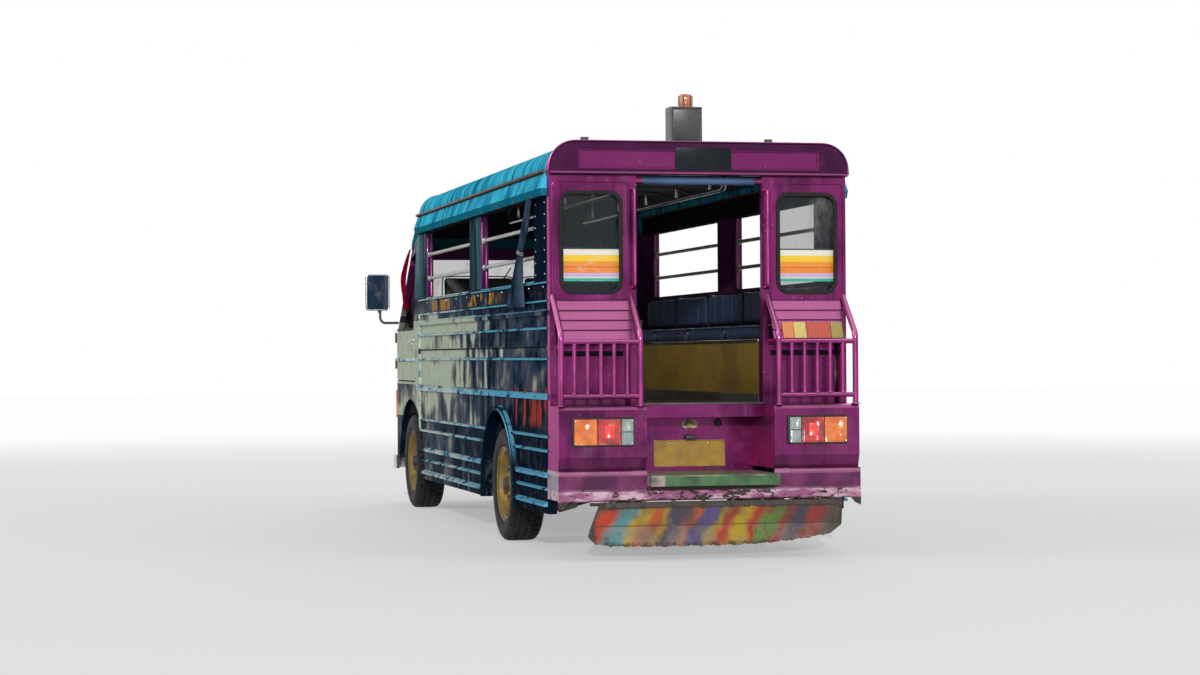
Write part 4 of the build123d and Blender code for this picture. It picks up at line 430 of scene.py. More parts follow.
@dataclass(frozen=True)
class MirrorSteel(Finish):
    """Polished sheet steel with painted reflections: street shapes in each band, bright ledges and dark
    undersides, all painted; plum paint on inner faces and nose.
    """

    # Colours of the painted reflections, from ink, the darkest and also the painted shade on faces that look
    # down, to cream; sky is painted on the ledges; plum is real paint.
    cream: Colour = (0.56, 0.62, 0.46)
    tan: Colour = (0.27, 0.26, 0.22)
    violet: Colour = (0.095, 0.085, 0.11)
    slate: Colour = (0.026, 0.055, 0.090)
    ink: Colour = (0.004, 0.010, 0.022)
    sky: Colour = (0.14, 0.45, 0.64)
    plum: Colour = (0.085, 0.012, 0.075)
    # Height of each band and how bright its painted reflection is.
    bands: tuple[Pair, ...] = (
        (0, 0.10), (0.440, 0.20), (0.558, 0.16), (0.632, 0.54), (0.850, 0.78), (1.034, 0.92), (1.094, 0.70),
        (1.194, 0.86), (1.284, 0.36), (1.334, 0.30),
    )
    def build(self, recipe: Recipe) -> None:
        """Painted reflections that change from band to band, painted reflections on the ledges by their
        reach, painted shade below, and paint by facing and place.
        """
        x, y, height = recipe.axes()
        face_x, face_y, up = recipe.facing()
        side = abs(face_y)
        # Painted reflections: a brightness for each band, reflected blocks and figures of a street, brighter
        # towards the front.
        stops = [(place / 1.5, (bias,) * 3) for place, bias in self.bands]
        bias = recipe.ramp(height / 1.5, stops, sharp=True)
        shifted = recipe.node("CombineXYZ", inputs={0: x + bias * 23, 1: y * 0.2, 2: height * 1.6})
        reflected_blocks = recipe.noise(2.1, 2, shift=17, distortion=0.5, at=shifted)
        reflected_figures = recipe.noise(8.5, 2, (1, 1, 0.10), 19, 0.5, 0.15, shifted)
        mottle = recipe.noise(34, 4, (1, 1, 0.35), 21, 0.6, 0.2)
        ahead = x.rise(-1.2, 0.9)
        reflected_crowd = x.within(-1.3, 0.1, 0.35)
        light = reflected_blocks - 0.5 + (reflected_figures - 0.5) * (reflected_crowd * 1.2 + 0.30) + (mottle - 0.5) * 0.06
        light = light + bias * 0.55 + ahead * 0.34 - 0.10
        base = recipe.ramp(
            light,
            (
                (0, self.ink), (0.24, self.ink), (0.34, self.slate), (0.42, self.violet), (0.50, self.tan),
                (0.58, self.cream), (0.82, self.cream), (1, self.tan),
            ),
        )
        dirty = mottle.rise(0.52, 0.62) * 0.35
        base = base.mix(dirty, (0.16, 0.13, 0.12))
        # Painted reflections: amber patches along a band below the windows, and red ones low on the rear
        # half.
        amber = recipe.noise(9, 2, (1, 0.2, 0.5), 23).rise(0.52, 0.60) * height.within(1.345, 1.412, 0.008)
        base = base.mix(amber * x.within(-1.2, 1.2, 0.3) * 0.85, (0.55, 0.25, 0.02))
        tail = recipe.noise(9, 2, (1, 0.2, 0.25), 25).rise(0.50, 0.57) * height.within(0.68, 0.86, 0.03)
        base = base.mix(tail * x.rise(-1, -1.7) * 0.8, (0.50, 0.06, 0.02))
        # Painted reflections on the ledges and on faces that look up: sky towards the front, pale cream,
        # dark patches, a dark band, and dark round the rear arch where the face does not look up.
        reach = abs(y).rise(0.8030, 0.8045) * height.rise(1.45, 1.44)
        glint = recipe.noise(6, 3, (1, 0.2, 3), 27, 0.7)
        edge = recipe.blend(ahead * glint.rise(0.35, 0.6), self.sky, (0.66, 0.72, 0.62))
        edge = edge.mix(glint.rise(0.46, 0.36), (0.02, 0.05, 0.09))
        edge = edge.mix(height.within(1.062, 1.100), self.ink)
        reach = reach * (1 - height.within(1.250, 1.300))
        arch = ((x + 1.235) ** 2 + (height - 0.25) ** 2).rise(0.322, 0.312)
        edge = edge.mix(arch * up.rise(0.72, 0.35), (0.006, 0.016, 0.030))
        base = base.mix(reach.most(up.rise(0.25, 0.55)), edge)
        # Painted shade on faces that look down.
        base = base.mix(up.rise(-0.3, -0.6), self.ink)
        # Painted dark reflections on the upright faces above the sill, near black on the rear post.
        pillar = height.rise(1.436, 1.448)
        pane = recipe.noise(7, 2, (1, 1, 0.15), 29)
        painted_dark_reflection = recipe.blend(pane.rise(0.4, 0.62), (0.008, 0.028, 0.040), (0.06, 0.15, 0.17))
        navy = recipe.blend(pane.rise(0.5, 0.7) * 0.4, (0.004, 0.012, 0.024), (0.04, 0.08, 0.11))
        painted_dark_reflection = recipe.blend(x.rise(-2.195, -2.215), painted_dark_reflection, navy)
        base = base.mix(pillar * side.rise(0.4, 0.6), painted_dark_reflection)
        inner = abs(y).rise(0.7565, 0.7555) * side.rise(0.5, 0.7)
        jamb = pillar * abs(face_x).rise(0.5, 0.7)
        paint = inner.most(jamb)
        cloud = recipe.noise(9, 3, shift=31)
        base = base.mix(paint, recipe.blend(cloud, self.plum, (0.16, 0.035, 0.14)))
        nose = face_x.rise(0.40, 0.65) * x.rise(1.6, 1.7)
        paint = paint.most(nose)
        base = base.mix(nose, recipe.blend(cloud, (0.22, 0.03, 0.13), (0.11, 0.018, 0.08)))
        rust = recipe.noise(19, 6, shift=33, roughness=0.75) + height.rise(0.55, 0.25) * 0.1
        spots = rust.rise(0.68, 0.76) * 0.8
        base = base.mix(spots, (0.08, 0.04, 0.025))
        dents = recipe.noise(3.2, 2, (1, 0.2, 0.5), 37)
        surface = recipe.bump(dents, 0.010)
        surface = recipe.bump(recipe.noise(30, 3, (1, 0.2, 0.3), 39), 0.0005, 1, surface)
        recipe.finish(
            Base_Color=base, Roughness=paint * 0.25 + spots * 0.3 + 0.16,
            Metallic=(1 - paint.most(spots)) * 0.34, Specular_Tint=(0.20, 0.24, 0.28), Specular_IOR_Level=0,
            Normal=surface,
        )


@dataclass(frozen=True)
class RoofPaint(Finish):
    """Sky-blue roof paint with tall wrinkles painted paler on their crests and darker in their troughs, a
    lower eave painted teal as shade, dull gutters, and undersides and a ceiling painted dark as shade.
    """

    # pale is painted on the wrinkles' crests as reflection; teal is the lower eave's painted shade.
    sky: Colour = (0.018, 0.26, 0.43)
    pale: Colour = (0.060, 0.52, 0.72)
    teal: Colour = (0.005, 0.12, 0.18)

    def build(self, recipe: Recipe) -> None:
        """Wrinkles that run down the sides, colour by height and facing; painted reflection and shade on the
        wrinkles, painted shade on the eave and the undersides.
        """
        x, y, height = recipe.axes()
        _, face_y, up = recipe.facing()
        wrinkle = recipe.noise(15, 4, (1, 0.25, 0.12), 41)
        # Painted reflection and shade on the wrinkles: paler on their crests, darker in their troughs.
        base = recipe.blend(wrinkle.rise(0.40, 0.62), self.sky, self.pale)
        base = base.mix(wrinkle.rise(0.42, 0.34) * 0.7, (0.010, 0.06, 0.10))
        # Painted shade: the lower eave, which turns inwards, is painted teal.
        base = base.mix(height.rise(1.914, 1.909) * 0.92, self.teal)
        gutter = height.within(1.988, 2.002, 0.002)
        base = base.mix(gutter, (0.16, 0.13, 0.09))
        soil = recipe.noise(5, 6, shift=43, roughness=0.7)
        base = base.mix(soil.rise(0.55, 0.85) * 0.3, (0.06, 0.09, 0.09))
        crown = up.rise(0.75, 0.98)
        chalk = recipe.noise(2.5, 5, shift=45)
        base = base.mix(crown * chalk.rise(0.3, 0.7) * 0.6, (0.36, 0.50, 0.54))
        rust = recipe.noise(17, 6, shift=47, roughness=0.75).rise(0.67, 0.72)
        base = base.mix(rust * 0.8, (0.15, 0.06, 0.025))
        # Painted shade: faces that look down, and the inner faces of the sides, are painted near black,
        # which makes the dark ceiling.
        inner = abs(y).rise(0.7565, 0.7555) * abs(face_y).rise(0.4, 0.6) * height.rise(2.05, 1.98)
        below = up.rise(-0.15, -0.4).most(inner * x.rise(1.68, 1.66))
        base = base.mix(below, (0.02, 0.018, 0.024))
        surface = recipe.bump(wrinkle, 0.004)
        surface = recipe.bump(recipe.noise(60, 4, shift=1), 0.0004, 1, surface)
        recipe.finish(
            Base_Color=base, Roughness=wrinkle * 0.2 + rust * 0.3 + 0.30, Specular_IOR_Level=0,
            Normal=surface,
        )


@dataclass(frozen=True)
class WornLip(Finish):
    """Lip of the bumper: pink-white paint rubbed through to dark metal, plum above it."""

    def build(self, recipe: Recipe) -> None:
        """Colour by height, with scrapes along the lip."""
        _, y, height = recipe.axes()
        cloud = recipe.noise(5, 4, shift=51)
        plum = recipe.blend(cloud.rise(0.35, 0.65), (0.19, 0.028, 0.115), (0.075, 0.011, 0.055))
        rubbed = recipe.noise(24, 5, (1, 0.35, 1), 53).rise(0.38, 0.6)
        pale = recipe.blend(rubbed, (0.62, 0.40, 0.50), (0.30, 0.09, 0.2))
        lip = height.rise(0.362, 0.350)
        base = recipe.blend(lip, plum, pale)
        scrape = recipe.noise(34, 6, (1, 0.4, 1), 55, 0.75)
        wear = scrape + lip * 0.07 + height.rise(0.306, 0.296) * 0.12 + abs(y).rise(0.5, 0.1) * 0.05
        bare = wear.rise(0.62, 0.65)
        base = base.mix(bare, (0.035, 0.022, 0.018))
        dirt = recipe.noise(8, 6, shift=57, roughness=0.7).rise(0.45, 0.8)
        base = base.mix(dirt * 0.45, (0.06, 0.04, 0.045))
        # Painted highlight: a pink line near the top of the bumper's band.
        base = base.mix(height.within(0.432, 0.452, 0.006) * 0.5, (0.62, 0.24, 0.42))
        surface = recipe.bump(1 - bare, 0.0008)
        surface = recipe.bump(recipe.noise(45, 5, shift=1), 0.0008, 1, surface)
        recipe.finish(
            Base_Color=base, Roughness=bare * 0.35 + dirt * 0.2 + 0.26, Metallic=0.6, Coat_Weight=0.2,
            Normal=surface,
        )


@dataclass(frozen=True)
class StepPaint(Finish):
    """Step: green paint on its front edge, a tread rubbed to dull metal, and dirt."""

    def build(self, recipe: Recipe) -> None:
        """Colour by height and facing, with raised treads across the top."""
        _, y, height = recipe.axes()
        _, _, up = recipe.facing()
        cloud = recipe.noise(9, 5, shift=61)
        green = recipe.blend(cloud.rise(0.35, 0.7), (0.045, 0.135, 0.04), (0.012, 0.035, 0.012))
        scuff = recipe.noise(22, 5, (1, 0.3, 1), 63)
        worn = recipe.blend(scuff.rise(0.4, 0.65), (0.20, 0.19, 0.15), (0.045, 0.055, 0.045))
        base = recipe.blend(up.rise(0.5, 0.8), green, worn)
        edge = height.rise(0.422, 0.431) * scuff.rise(0.42, 0.6)
        base = base.mix(edge * 0.7, (0.32, 0.31, 0.24))
        corner = y.rise(0.262, 0.278) * recipe.noise(14, 3, shift=65).rise(0.3, 0.6)
        base = base.mix(corner * 0.75, (0.44, 0.30, 0.33))
        dirt = recipe.noise(13, 6, shift=67, roughness=0.75).rise(0.5, 0.75)
        base = base.mix(dirt * 0.55, (0.03, 0.028, 0.022))
        tread = abs((y * 38).fraction() - 0.5).rise(0.18, 0.3)
        surface = recipe.bump(tread * up.rise(0.5, 0.8), 0.0025)
        surface = recipe.bump(recipe.noise(50, 5, shift=1), 0.0008, 1, surface)
        recipe.finish(
            Base_Color=base, Roughness=dirt * 0.25 + 0.42, Metallic=up.rise(0.5, 0.8) * 0.3, Normal=surface
        )


@dataclass(frozen=True)
class FlapStripes(Finish):
    """Mud flap: slanted bands of sprayed colour on rubber, dirty, creased and worn at the edges."""

    bands: tuple[tuple[float, Colour], ...] = (
        (0, (0.09, 0.08, 0.07)), (0.075, (0.60, 0.045, 0.015)), (0.125, (0.10, 0.34, 0.36)),
        (0.200, (0.55, 0.37, 0.02)), (0.245, (0.60, 0.10, 0.015)), (0.300, (0.58, 0.34, 0.02)),
        (0.335, (0.055, 0.05, 0.12)), (0.395, (0.50, 0.12, 0.025)), (0.430, (0.10, 0.075, 0.24)),
        (0.510, (0.45, 0.33, 0.02)), (0.540, (0.46, 0.035, 0.015)), (0.590, (0.50, 0.33, 0.015)),
        (0.655, (0.42, 0.025, 0.015)), (0.690, (0.12, 0.24, 0.035)), (0.750, (0.38, 0.035, 0.02)),
        (0.795, (0.035, 0.04, 0.085)), (0.855, (0.28, 0.03, 0.025)), (0.925, (0.07, 0.07, 0.06)),
    )

    def build(self, recipe: Recipe) -> None:
        """Bands along Y slanted with Z, blurred by noise, under dirt that thickens at the lower edge."""
        _, y, height = recipe.axes()
        stray = recipe.noise(7, 2, shift=71) + recipe.noise(90, 2, shift=72) * 0.16
        along = (0.71 - y - (height - 0.20) * 0.62 + (stray - 0.58) * 0.16) / 1.42
        stops = []
        for place, colour in self.bands:
            if stops:
                stops.append((place - 0.014, stops[-1][1]))
            stops.append((place + (0.014 if stops else 0), colour))
        left = recipe.ramp(along * 2, self.part(stops, 0, 0.5))
        right = recipe.ramp(along * 2 - 1, self.part(stops, 0.5, 1))
        base = recipe.blend(along.rise(0.499, 0.501), left, right)
        fade = recipe.noise(5, 3, shift=73)
        base = base.mix(fade.rise(0.36, 0.72) * 0.7, (0.07, 0.05, 0.04))
        # Painted light: below the crease, where the sheet bends out, it is paler.
        lower = height.rise(0.181, 0.172)
        pale = recipe.noise(6, 4, shift=78)
        base = base.mix(lower * pale.rise(0.4, 0.75) * 0.55, (0.30, 0.27, 0.22))
        # Painted shade: a dark line along the crease.
        crease = height.within(0.172, 0.180, 0.003)
        base = base.mix(crease * 0.6, (0.03, 0.025, 0.02))
        base = base.mix(0.30, (0.035, 0.020, 0.016))
        dirt = recipe.noise(16, 6, shift=75, roughness=0.78)
        edge = (height.rise(0.105, 0.080) * 0.5).most(height.rise(0.252, 0.272))
        edge = edge.most(y.rise(0.60, 0.64)).most(y.rise(-0.66, -0.70))
        grime = (dirt + edge * 0.26).rise(0.54, 0.70)
        base = base.mix(grime * 0.85, (0.045, 0.038, 0.032))
        speck = recipe.noise(60, 3, shift=77).rise(0.62, 0.7)
        base = base.mix(speck * 0.5, (0.16, 0.14, 0.12))
        surface = recipe.bump(recipe.noise(28, 5, shift=79, roughness=0.7), 0.003)
        surface = recipe.bump(dirt, 0.0015, 1, surface)
        recipe.finish(Base_Color=base, Roughness=grime * 0.25 + 0.6, Specular_IOR_Level=0.2, Normal=surface)

    @staticmethod
    def part(stops: Stops, low: float, high: float) -> list[tuple[float, Colour]]:
        """Stops between two places, spread over 0 to 1, with the colour that holds at the start.

        Args:
            stops: All stops.
            low: First place.
            high: Last place.

        Returns:
            The stops of one ramp.
        """
        before = [colour for place, colour in stops if place <= low]
        chosen = [((place - low) / (high - low), colour) for place, colour in stops if low < place < high]
        return ([(0, before[-1])] if before else []) + chosen


@dataclass(frozen=True)
class FilmStripes(Finish):
    """Film on the rear glass: level stripes from white to teal."""

    top: float = 1.598
    depth: float = 0.24
    stripes: tuple[tuple[float, Colour], ...] = (
        (0, (0.03, 0.03, 0.03)), (0.004, (0.68, 0.68, 0.59)), (0.033, (0.78, 0.50, 0.011)),
        (0.066, (0.73, 0.24, 0.009)), (0.093, (0.16, 0.05, 0.01)), (0.096, (0.74, 0.20, 0.007)),
        (0.126, (0.50, 0.37, 0.54)), (0.147, (0.60, 0.62, 0.55)), (0.153, (0.026, 0.34, 0.26)),
    )

    def build(self, recipe: Recipe) -> None:
        """Stripes down from the film's top edge, scuffed and a little milky."""
        _, _, height = recipe.axes()
        down = (self.top - height) / self.depth
        base = recipe.ramp(
            down, [(place / self.depth, colour) for place, colour in self.stripes], sharp=True
        )
        scuff = recipe.noise(40, 4, (1, 0.4, 1), 81)
        base = base.mix(scuff.rise(0.55, 0.7) * 0.3, (0.55, 0.50, 0.42))
        recipe.finish(
            Base_Color=base, Roughness=scuff * 0.3 + 0.15, Coat_Weight=0.4, Normal=recipe.bump(scuff, 0.0002)
        )


@dataclass(frozen=True)
class Glazing(Finish):
    """Glass with a tint, dust and smears, clear enough to see through."""

    tint: Colour = (0.03, 0.04, 0.045)
    alpha: float = 0.35
    rough: float = 0.04

    def build(self, recipe: Recipe) -> None:
        """Dust and wiped smears that are less clear than the glass."""
        smear = recipe.noise(6, 5, (1, 1, 0.5), 91, 0.65)
        dust = smear.rise(0.5, 0.8)
        base = recipe.blend(dust, self.tint, (0.28, 0.28, 0.27))
        recipe.finish(
            Base_Color=base, Roughness=dust * 0.2 + self.rough, Alpha=dust * 0.25 + self.alpha,
            Normal=recipe.bump(smear, 0.0004), IOR=1.45,
        )


@dataclass(frozen=True)
class Lens(Finish):
    """Moulded lamp lens: deep colour, prisms with ridges painted lighter as highlights, and dust on it."""

    colour: Colour
    deep: Colour
    pitch: float = 0.006
    glow: float = 0

    def build(self, recipe: Recipe) -> None:
        """Prisms as a grid of ridges across Y and Z."""
        _, y, height = recipe.axes()
        rows = (height * (1 / self.pitch)).fraction()
        columns = (y * (1 / self.pitch)).fraction()
        prism = abs(rows - 0.5) + abs(columns - 0.5)
        cloud = recipe.noise(12, 3, shift=101)
        base = recipe.blend(cloud.rise(0.35, 0.65), self.colour, self.deep)
        # Painted highlight: the prisms' ridges are lighter.
        base = base.mix(
            prism.rise(0.7, 0.95) * 0.35, tuple(min(1, 1.5 * part + 0.04) for part in self.colour)
        )
        dust = recipe.noise(30, 5, shift=103, roughness=0.7).rise(0.5, 0.8)
        base = base.mix(dust * 0.25, (0.30, 0.26, 0.22))
        recipe.finish(
            Base_Color=base, Roughness=dust * 0.25 + 0.10, Coat_Weight=0.6, Emission_Color=base,
            Emission_Strength=self.glow, Normal=recipe.bump(prism, 0.0012),
        )


@dataclass(frozen=True)
class Rubber(Finish):
    """Rubber, dusty, or a tyre's with rings moulded on its walls round both axles."""

    colour: Colour = (0.012, 0.012, 0.013)
    dust: float = 0.5
    rings: bool = False

    def build(self, recipe: Recipe) -> None:
        """Dust in patches, with rings by the distance from the nearer axle."""
        x, _, height = recipe.axes()
        soil = recipe.noise(11, 6, shift=111, roughness=0.7)
        cover = soil.rise(0.38, 0.72) * self.dust
        base = recipe.blend(cover, self.colour, (0.050, 0.045, 0.040))
        surface = recipe.bump(recipe.noise(90, 4, shift=1), 0.0006)
        if self.rings:
            along = x - (REAR_FACE + End.REAR.value / 1000)
            ahead = x - (REAR_FACE + End.FRONT.value / 1000)
            nearer = abs(along).least(abs(ahead))
            up = height - 0.322
            reach = (nearer * nearer + up * up) ** 0.5
            ring = abs((reach * 80).fraction() - 0.5).rise(0.36, 0.46) * reach.within(0.232, 0.292, 0.004)
            surface = recipe.bump(ring, 0.0015, 1, surface)
            band = reach.within(0.245, 0.280, 0.01)
            base = base.mix(band * soil.rise(0.3, 0.6) * 0.5, (0.05, 0.047, 0.043))
        recipe.finish(
            Base_Color=base, Roughness=cover * 0.25 + 0.62, Specular_IOR_Level=0.15, Normal=surface
        )


@dataclass(frozen=True)
class Cloth(Finish):
    """Woven cloth whose threads follow the piece's own sheet coordinates."""

    colour: Colour
    second: Colour
    threads: float = 900
    rough: float = 0.8
    sheen: float = 0.3
    patch: float = 0.5

    def build(self, recipe: Recipe) -> None:
        """Threads both ways, colour that varies from fold to fold, and stains."""
        across, along, _ = recipe.parts(recipe.node("UVMap"))
        weave = abs((across * self.threads).fraction() - 0.5) + abs((along * self.threads).fraction() - 0.5)
        cloud = recipe.noise(5, 4, shift=121)
        base = recipe.blend(
            cloud.rise(0.5 - self.patch * 0.3, 0.5 + self.patch * 0.3), self.colour, self.second
        )
        # Painted shade between the threads.
        base = base.mix(weave.rise(0.5, 0.9) * 0.2, tuple(0.5 * part for part in self.colour))
        stain = recipe.noise(13, 5, shift=123, roughness=0.7).rise(0.55, 0.8)
        base = base.mix(stain * 0.3, (0.06, 0.05, 0.045))
        surface = recipe.bump(weave, 0.0004)
        surface = recipe.bump(recipe.noise(18, 4, (1, 1, 0.3), 125), 0.003, 1, surface)
        recipe.finish(
            Base_Color=base, Roughness=stain * 0.1 + self.rough, Sheen_Weight=self.sheen,
            Specular_IOR_Level=0, Normal=surface,
        )


@dataclass(frozen=True)
class Vinyl(Finish):
    """Seat vinyl: fine hide grain, sewn channels across the bench and rubbed high spots."""

    colour: Colour
    worn: Colour
    pitch: float = 0

    def build(self, recipe: Recipe) -> None:
        """Grain cells under wear, with shading in the channels."""
        x, _, _ = recipe.axes()
        settings = {"feature": "DISTANCE_TO_EDGE"}
        hide = recipe.node("TexVoronoi", settings, {"Vector": recipe.place(), "Scale": 420})
        rub = recipe.noise(7, 4, shift=131)
        base = recipe.blend(rub.rise(0.45, 0.75) * 0.6, self.colour, self.worn)
        crease = recipe.noise(26, 5, (1, 1, 0.5), 133, 0.7)
        # Painted shade: darker along the creases.
        base = base.mix(crease.rise(0.55, 0.75) * 0.35, tuple(0.35 * part for part in self.colour))
        surface = recipe.bump(hide.rise(0, 0.25), 0.0004)
        surface = recipe.bump(crease, 0.0018, 1, surface)
        if self.pitch > 0:
            groove = abs((x * (1 / self.pitch)).fraction() - 0.5).rise(0.06, 0)
            base = base.mix(groove * 0.6, tuple(0.2 * part for part in self.colour))
            surface = recipe.bump(1 - groove, 0.004, 1, surface)
        recipe.finish(Base_Color=base, Roughness=rub * 0.25 + 0.34, Normal=surface)


@dataclass(frozen=True)
class MarkerColours(Finish):
    """The small lamps and reflectors, coloured by where each one sits."""

    def build(self, recipe: Recipe) -> None:
        """Reflector colours along Y on the board, cream, black and amber for the lamps."""
        _, y, height = recipe.axes()
        board = recipe.ramp(
            (y + 0.76) / 0.35,
            (
                (0, (0.34, 0.27, 0.06)), (0.211, (0.45, 0.05, 0.03)), (0.593, (0.62, 0.50, 0.14)),
                (0.790, (0.70, 0.22, 0.06)),
            ),
            sharp=True,
        )
        rows = (height * 90).fraction()
        columns = (y * 55).fraction()
        dimple = abs(rows - 0.5) + abs(columns - 0.5)
        # Painted highlight: the middles of the red reflector's dimples are bright red.
        board = board.mix(dimple.rise(0.6, 0.2) * 0.4 * y.within(-0.686, -0.554), (0.80, 0.16, 0.08))
        lamp = recipe.blend(abs(y).rise(0.021, 0.019), (0.50, 0.42, 0.22), (0.62, 0.52, 0.24))
        base = recipe.blend(height.rise(0.64, 0.63), lamp, (0.01, 0.01, 0.012))
        base = base.mix(height.rise(1, 1.01), board)
        base = base.mix(height.rise(2, 2.01), (0.03, 0.012, 0.006))
        soil = recipe.noise(30, 5, shift=141, roughness=0.7).rise(0.45, 0.75)
        base = base.mix(soil * 0.35, (0.16, 0.13, 0.10))
        recipe.finish(
            Base_Color=base, Roughness=soil * 0.3 + 0.2, Coat_Weight=0.4, Normal=recipe.bump(dimple, 0.0015)
        )


@dataclass(frozen=True)
class PlateYellow(Finish):
    """Blank number plate: yellow paint, dusty, with scratches and a darker lower part."""

    def build(self, recipe: Recipe) -> None:
        """Yellow with dirt that gathers at the rim."""
        _, y, height = recipe.axes()
        cloud = recipe.noise(14, 5, shift=151)
        base = recipe.blend(cloud.rise(0.35, 0.7), (0.38, 0.215, 0.006), (0.24, 0.13, 0.006))
        scratch = recipe.noise(50, 4, (1, 1, 0.08), 153).rise(0.6, 0.7)
        base = base.mix(scratch * 0.4, (0.16, 0.09, 0.02))
        rim = abs(y).rise(0.16, 0.194).most(height.rise(0.585, 0.593)).most(height.rise(0.464, 0.456))
        base = base.mix(rim * cloud.rise(0.3, 0.6) * 0.5, (0.10, 0.06, 0.02))
        recipe.finish(
            Base_Color=base, Roughness=cloud * 0.3 + 0.25, Coat_Weight=0.3,
            Normal=recipe.bump(recipe.noise(70, 4, shift=1), 0.0004),
        )


@dataclass(frozen=True)
class Studio(Finish):
    """Pale floor that keeps the shadow, and whitens with its distance from the vehicle."""

    colour: Colour = (0.80, 0.80, 0.80)

    def build(self, recipe: Recipe) -> None:
        """Matt, with white of its own for what looks at it."""
        x, y, _ = recipe.axes()
        seen = watched(recipe.tree)
        far = (x * x + y * y).rise(25, 400)
        own = seen * (far * 0.62 + 0.38)
        base = recipe.blend(own, self.colour, (0, 0, 0))
        glow = recipe.blend(own, (0, 0, 0), (1, 1, 1))
        recipe.finish(
            Base_Color=base, Roughness=0.9, Specular_IOR_Level=0, Emission_Color=glow, Emission_Strength=0.98
        )


PLUM = PlumPaint("plum_paint")
# Darker copy of the plum paint for the window posts: painted shade.
SHADED_PLUM = PlumPaint(
    "dark_plum", (0.10, 0.02, 0.08), (0.05, 0.010, 0.045), (0.02, 0.004, 0.02), gleam=(0.15, 0.05, 0.11)
)
STEEL = MirrorSteel("mirror_steel")
ROOF = RoofPaint("roof_blue")
LIP = WornLip("worn_lip")
STEP = StepPaint("step_green")
FLAP = FlapStripes("flap_stripes")
FILM = FilmStripes("film_stripes")
MARKERS = MarkerColours("marker_colours")
PLATE = PlateYellow("plate_yellow_paint")
CHASSIS = Coat(
    "chassis_black", (0.022, 0.021, 0.022), (0.05, 0.028, 0.018), 0.6, dirt=0.6, chips=0.6, depth=0.001
)
PIPE = Coat("pale_pipe", (0.30, 0.34, 0.31), (0.16, 0.17, 0.15), 0.5, 0.3, dirt=0.7, chips=0.3, depth=0.0008)
CASTING = Coat(
    "oily_casting", (0.055, 0.05, 0.047), (0.03, 0.022, 0.018), 0.5, 0.6, dirt=0.7, chips=0.5, depth=0.0012
)
CHROME = Coat("pitted_chrome", (0.50, 0.51, 0.52), (0.34, 0.34, 0.35), 0.14, 0.95, dirt=0.25, chips=0.12)
BRIGHT = Coat("bright_screw", (0.62, 0.62, 0.60), (0.42, 0.42, 0.42), 0.22, 0.9, dirt=0.1)
# Lighter copy of the plum paint for the guards, rails, rivets, feet and welds: painted light.
LIT_PLUM = PlumPaint("tube_plum", (0.34, 0.050, 0.21), (0.17, 0.022, 0.11), (0.060, 0.008, 0.05))
RIM = Coat(
    "rim_yellow", (0.32, 0.19, 0.008), (0.15, 0.085, 0.006), 0.42, 0, 0.1, 0.8, (0.05, 0.035, 0.02), 0.35
)
BLACK = Coat(
    "black_plastic", (0.014, 0.014, 0.016), (0.024, 0.024, 0.026), 0.45, dirt=0.35, grain=260, depth=0.0003
)
SEAL = Rubber("seal_rubber", (0.010, 0.011, 0.012), 0.35)
TYRE = Rubber("tyre_rubber_rings", (0.006, 0.007, 0.009), 0.45, True)
INK = Coat(
    "header_black", (0.008, 0.010, 0.013), (0.014, 0.016, 0.020), 0.3, 0, 0, 0.2, depth=0.0002, shine=0.08
)
SIGN = Coat(
    "sign_box_black", (0.012, 0.012, 0.013), (0.022, 0.021, 0.021), 0.4, 0.1, 0.2, 0.3, chips=0.35,
    chip_colour=(0.2, 0.12, 0.07),
)
PANEL = Coat(
    "sign_panel", (0.035, 0.036, 0.034), (0.05, 0.05, 0.046), 0.35, dirt=0.6, dirt_colour=(0.12, 0.11, 0.09)
)
FLOOR = Coat(
    "scuffed_floor", (0.055, 0.05, 0.045), (0.11, 0.10, 0.09), 0.5, 0.5, dirt=0.6, chips=0.4,
    chip_colour=(0.2, 0.19, 0.18),
)
BOARD = Coat(
    "bench_yellow", (0.34, 0.20, 0.02), (0.20, 0.12, 0.015), 0.5, dirt=0.6, chips=0.5,
    chip_colour=(0.12, 0.08, 0.05),
)
LINER = Coat("ceiling_liner", (0.045, 0.032, 0.05), (0.03, 0.022, 0.035), 0.6, dirt=0.3)
DASH = Coat("dash_grain", (0.02, 0.02, 0.022), (0.035, 0.034, 0.034), 0.55, dirt=0.4, grain=320)
TAPE = Coat(
    "wrap_tape", (0.02, 0.05, 0.13), (0.05, 0.10, 0.20), 0.35, dirt=0.4, chips=0.3,
    chip_colour=(0.2, 0.2, 0.22),
)
CREAM = Coat("cream_bar", (0.36, 0.36, 0.30), (0.22, 0.23, 0.21), 0.35, 0.4, dirt=0.45, chips=0.3)
REDLIGHT = Lens("red_lens_mould", (0.52, 0.022, 0.022), (0.24, 0.008, 0.010))
AMBER = Lens("amber_lens_mould", (0.78, 0.20, 0.014), (0.58, 0.10, 0.008))
SQUARE = Lens("red_lens_lit", (0.85, 0.03, 0.015), (0.75, 0.02, 0.01), glow=0.35)
BULB = Lens("bulb_yellow", (0.60, 0.44, 0.18), (0.42, 0.28, 0.10))
CLEAR = Lens("clear_lens_mould", (0.30, 0.36, 0.34), (0.20, 0.26, 0.25))
HEADLIGHT = Lens("head_lens_mould", (0.62, 0.64, 0.64), (0.48, 0.50, 0.50), 0.014)
BEACON = Lens("beacon_orange", (0.60, 0.16, 0.02), (0.36, 0.10, 0.02), 0.011)
GLASS = Glazing("window_glass", (0.02, 0.028, 0.03), 0.34)
SCREEN = Glazing("screen_glass", (0.03, 0.045, 0.045), 0.28)
SILVER = Glazing("mirror_glass", (0.012, 0.03, 0.06), 0.98, 0.05)
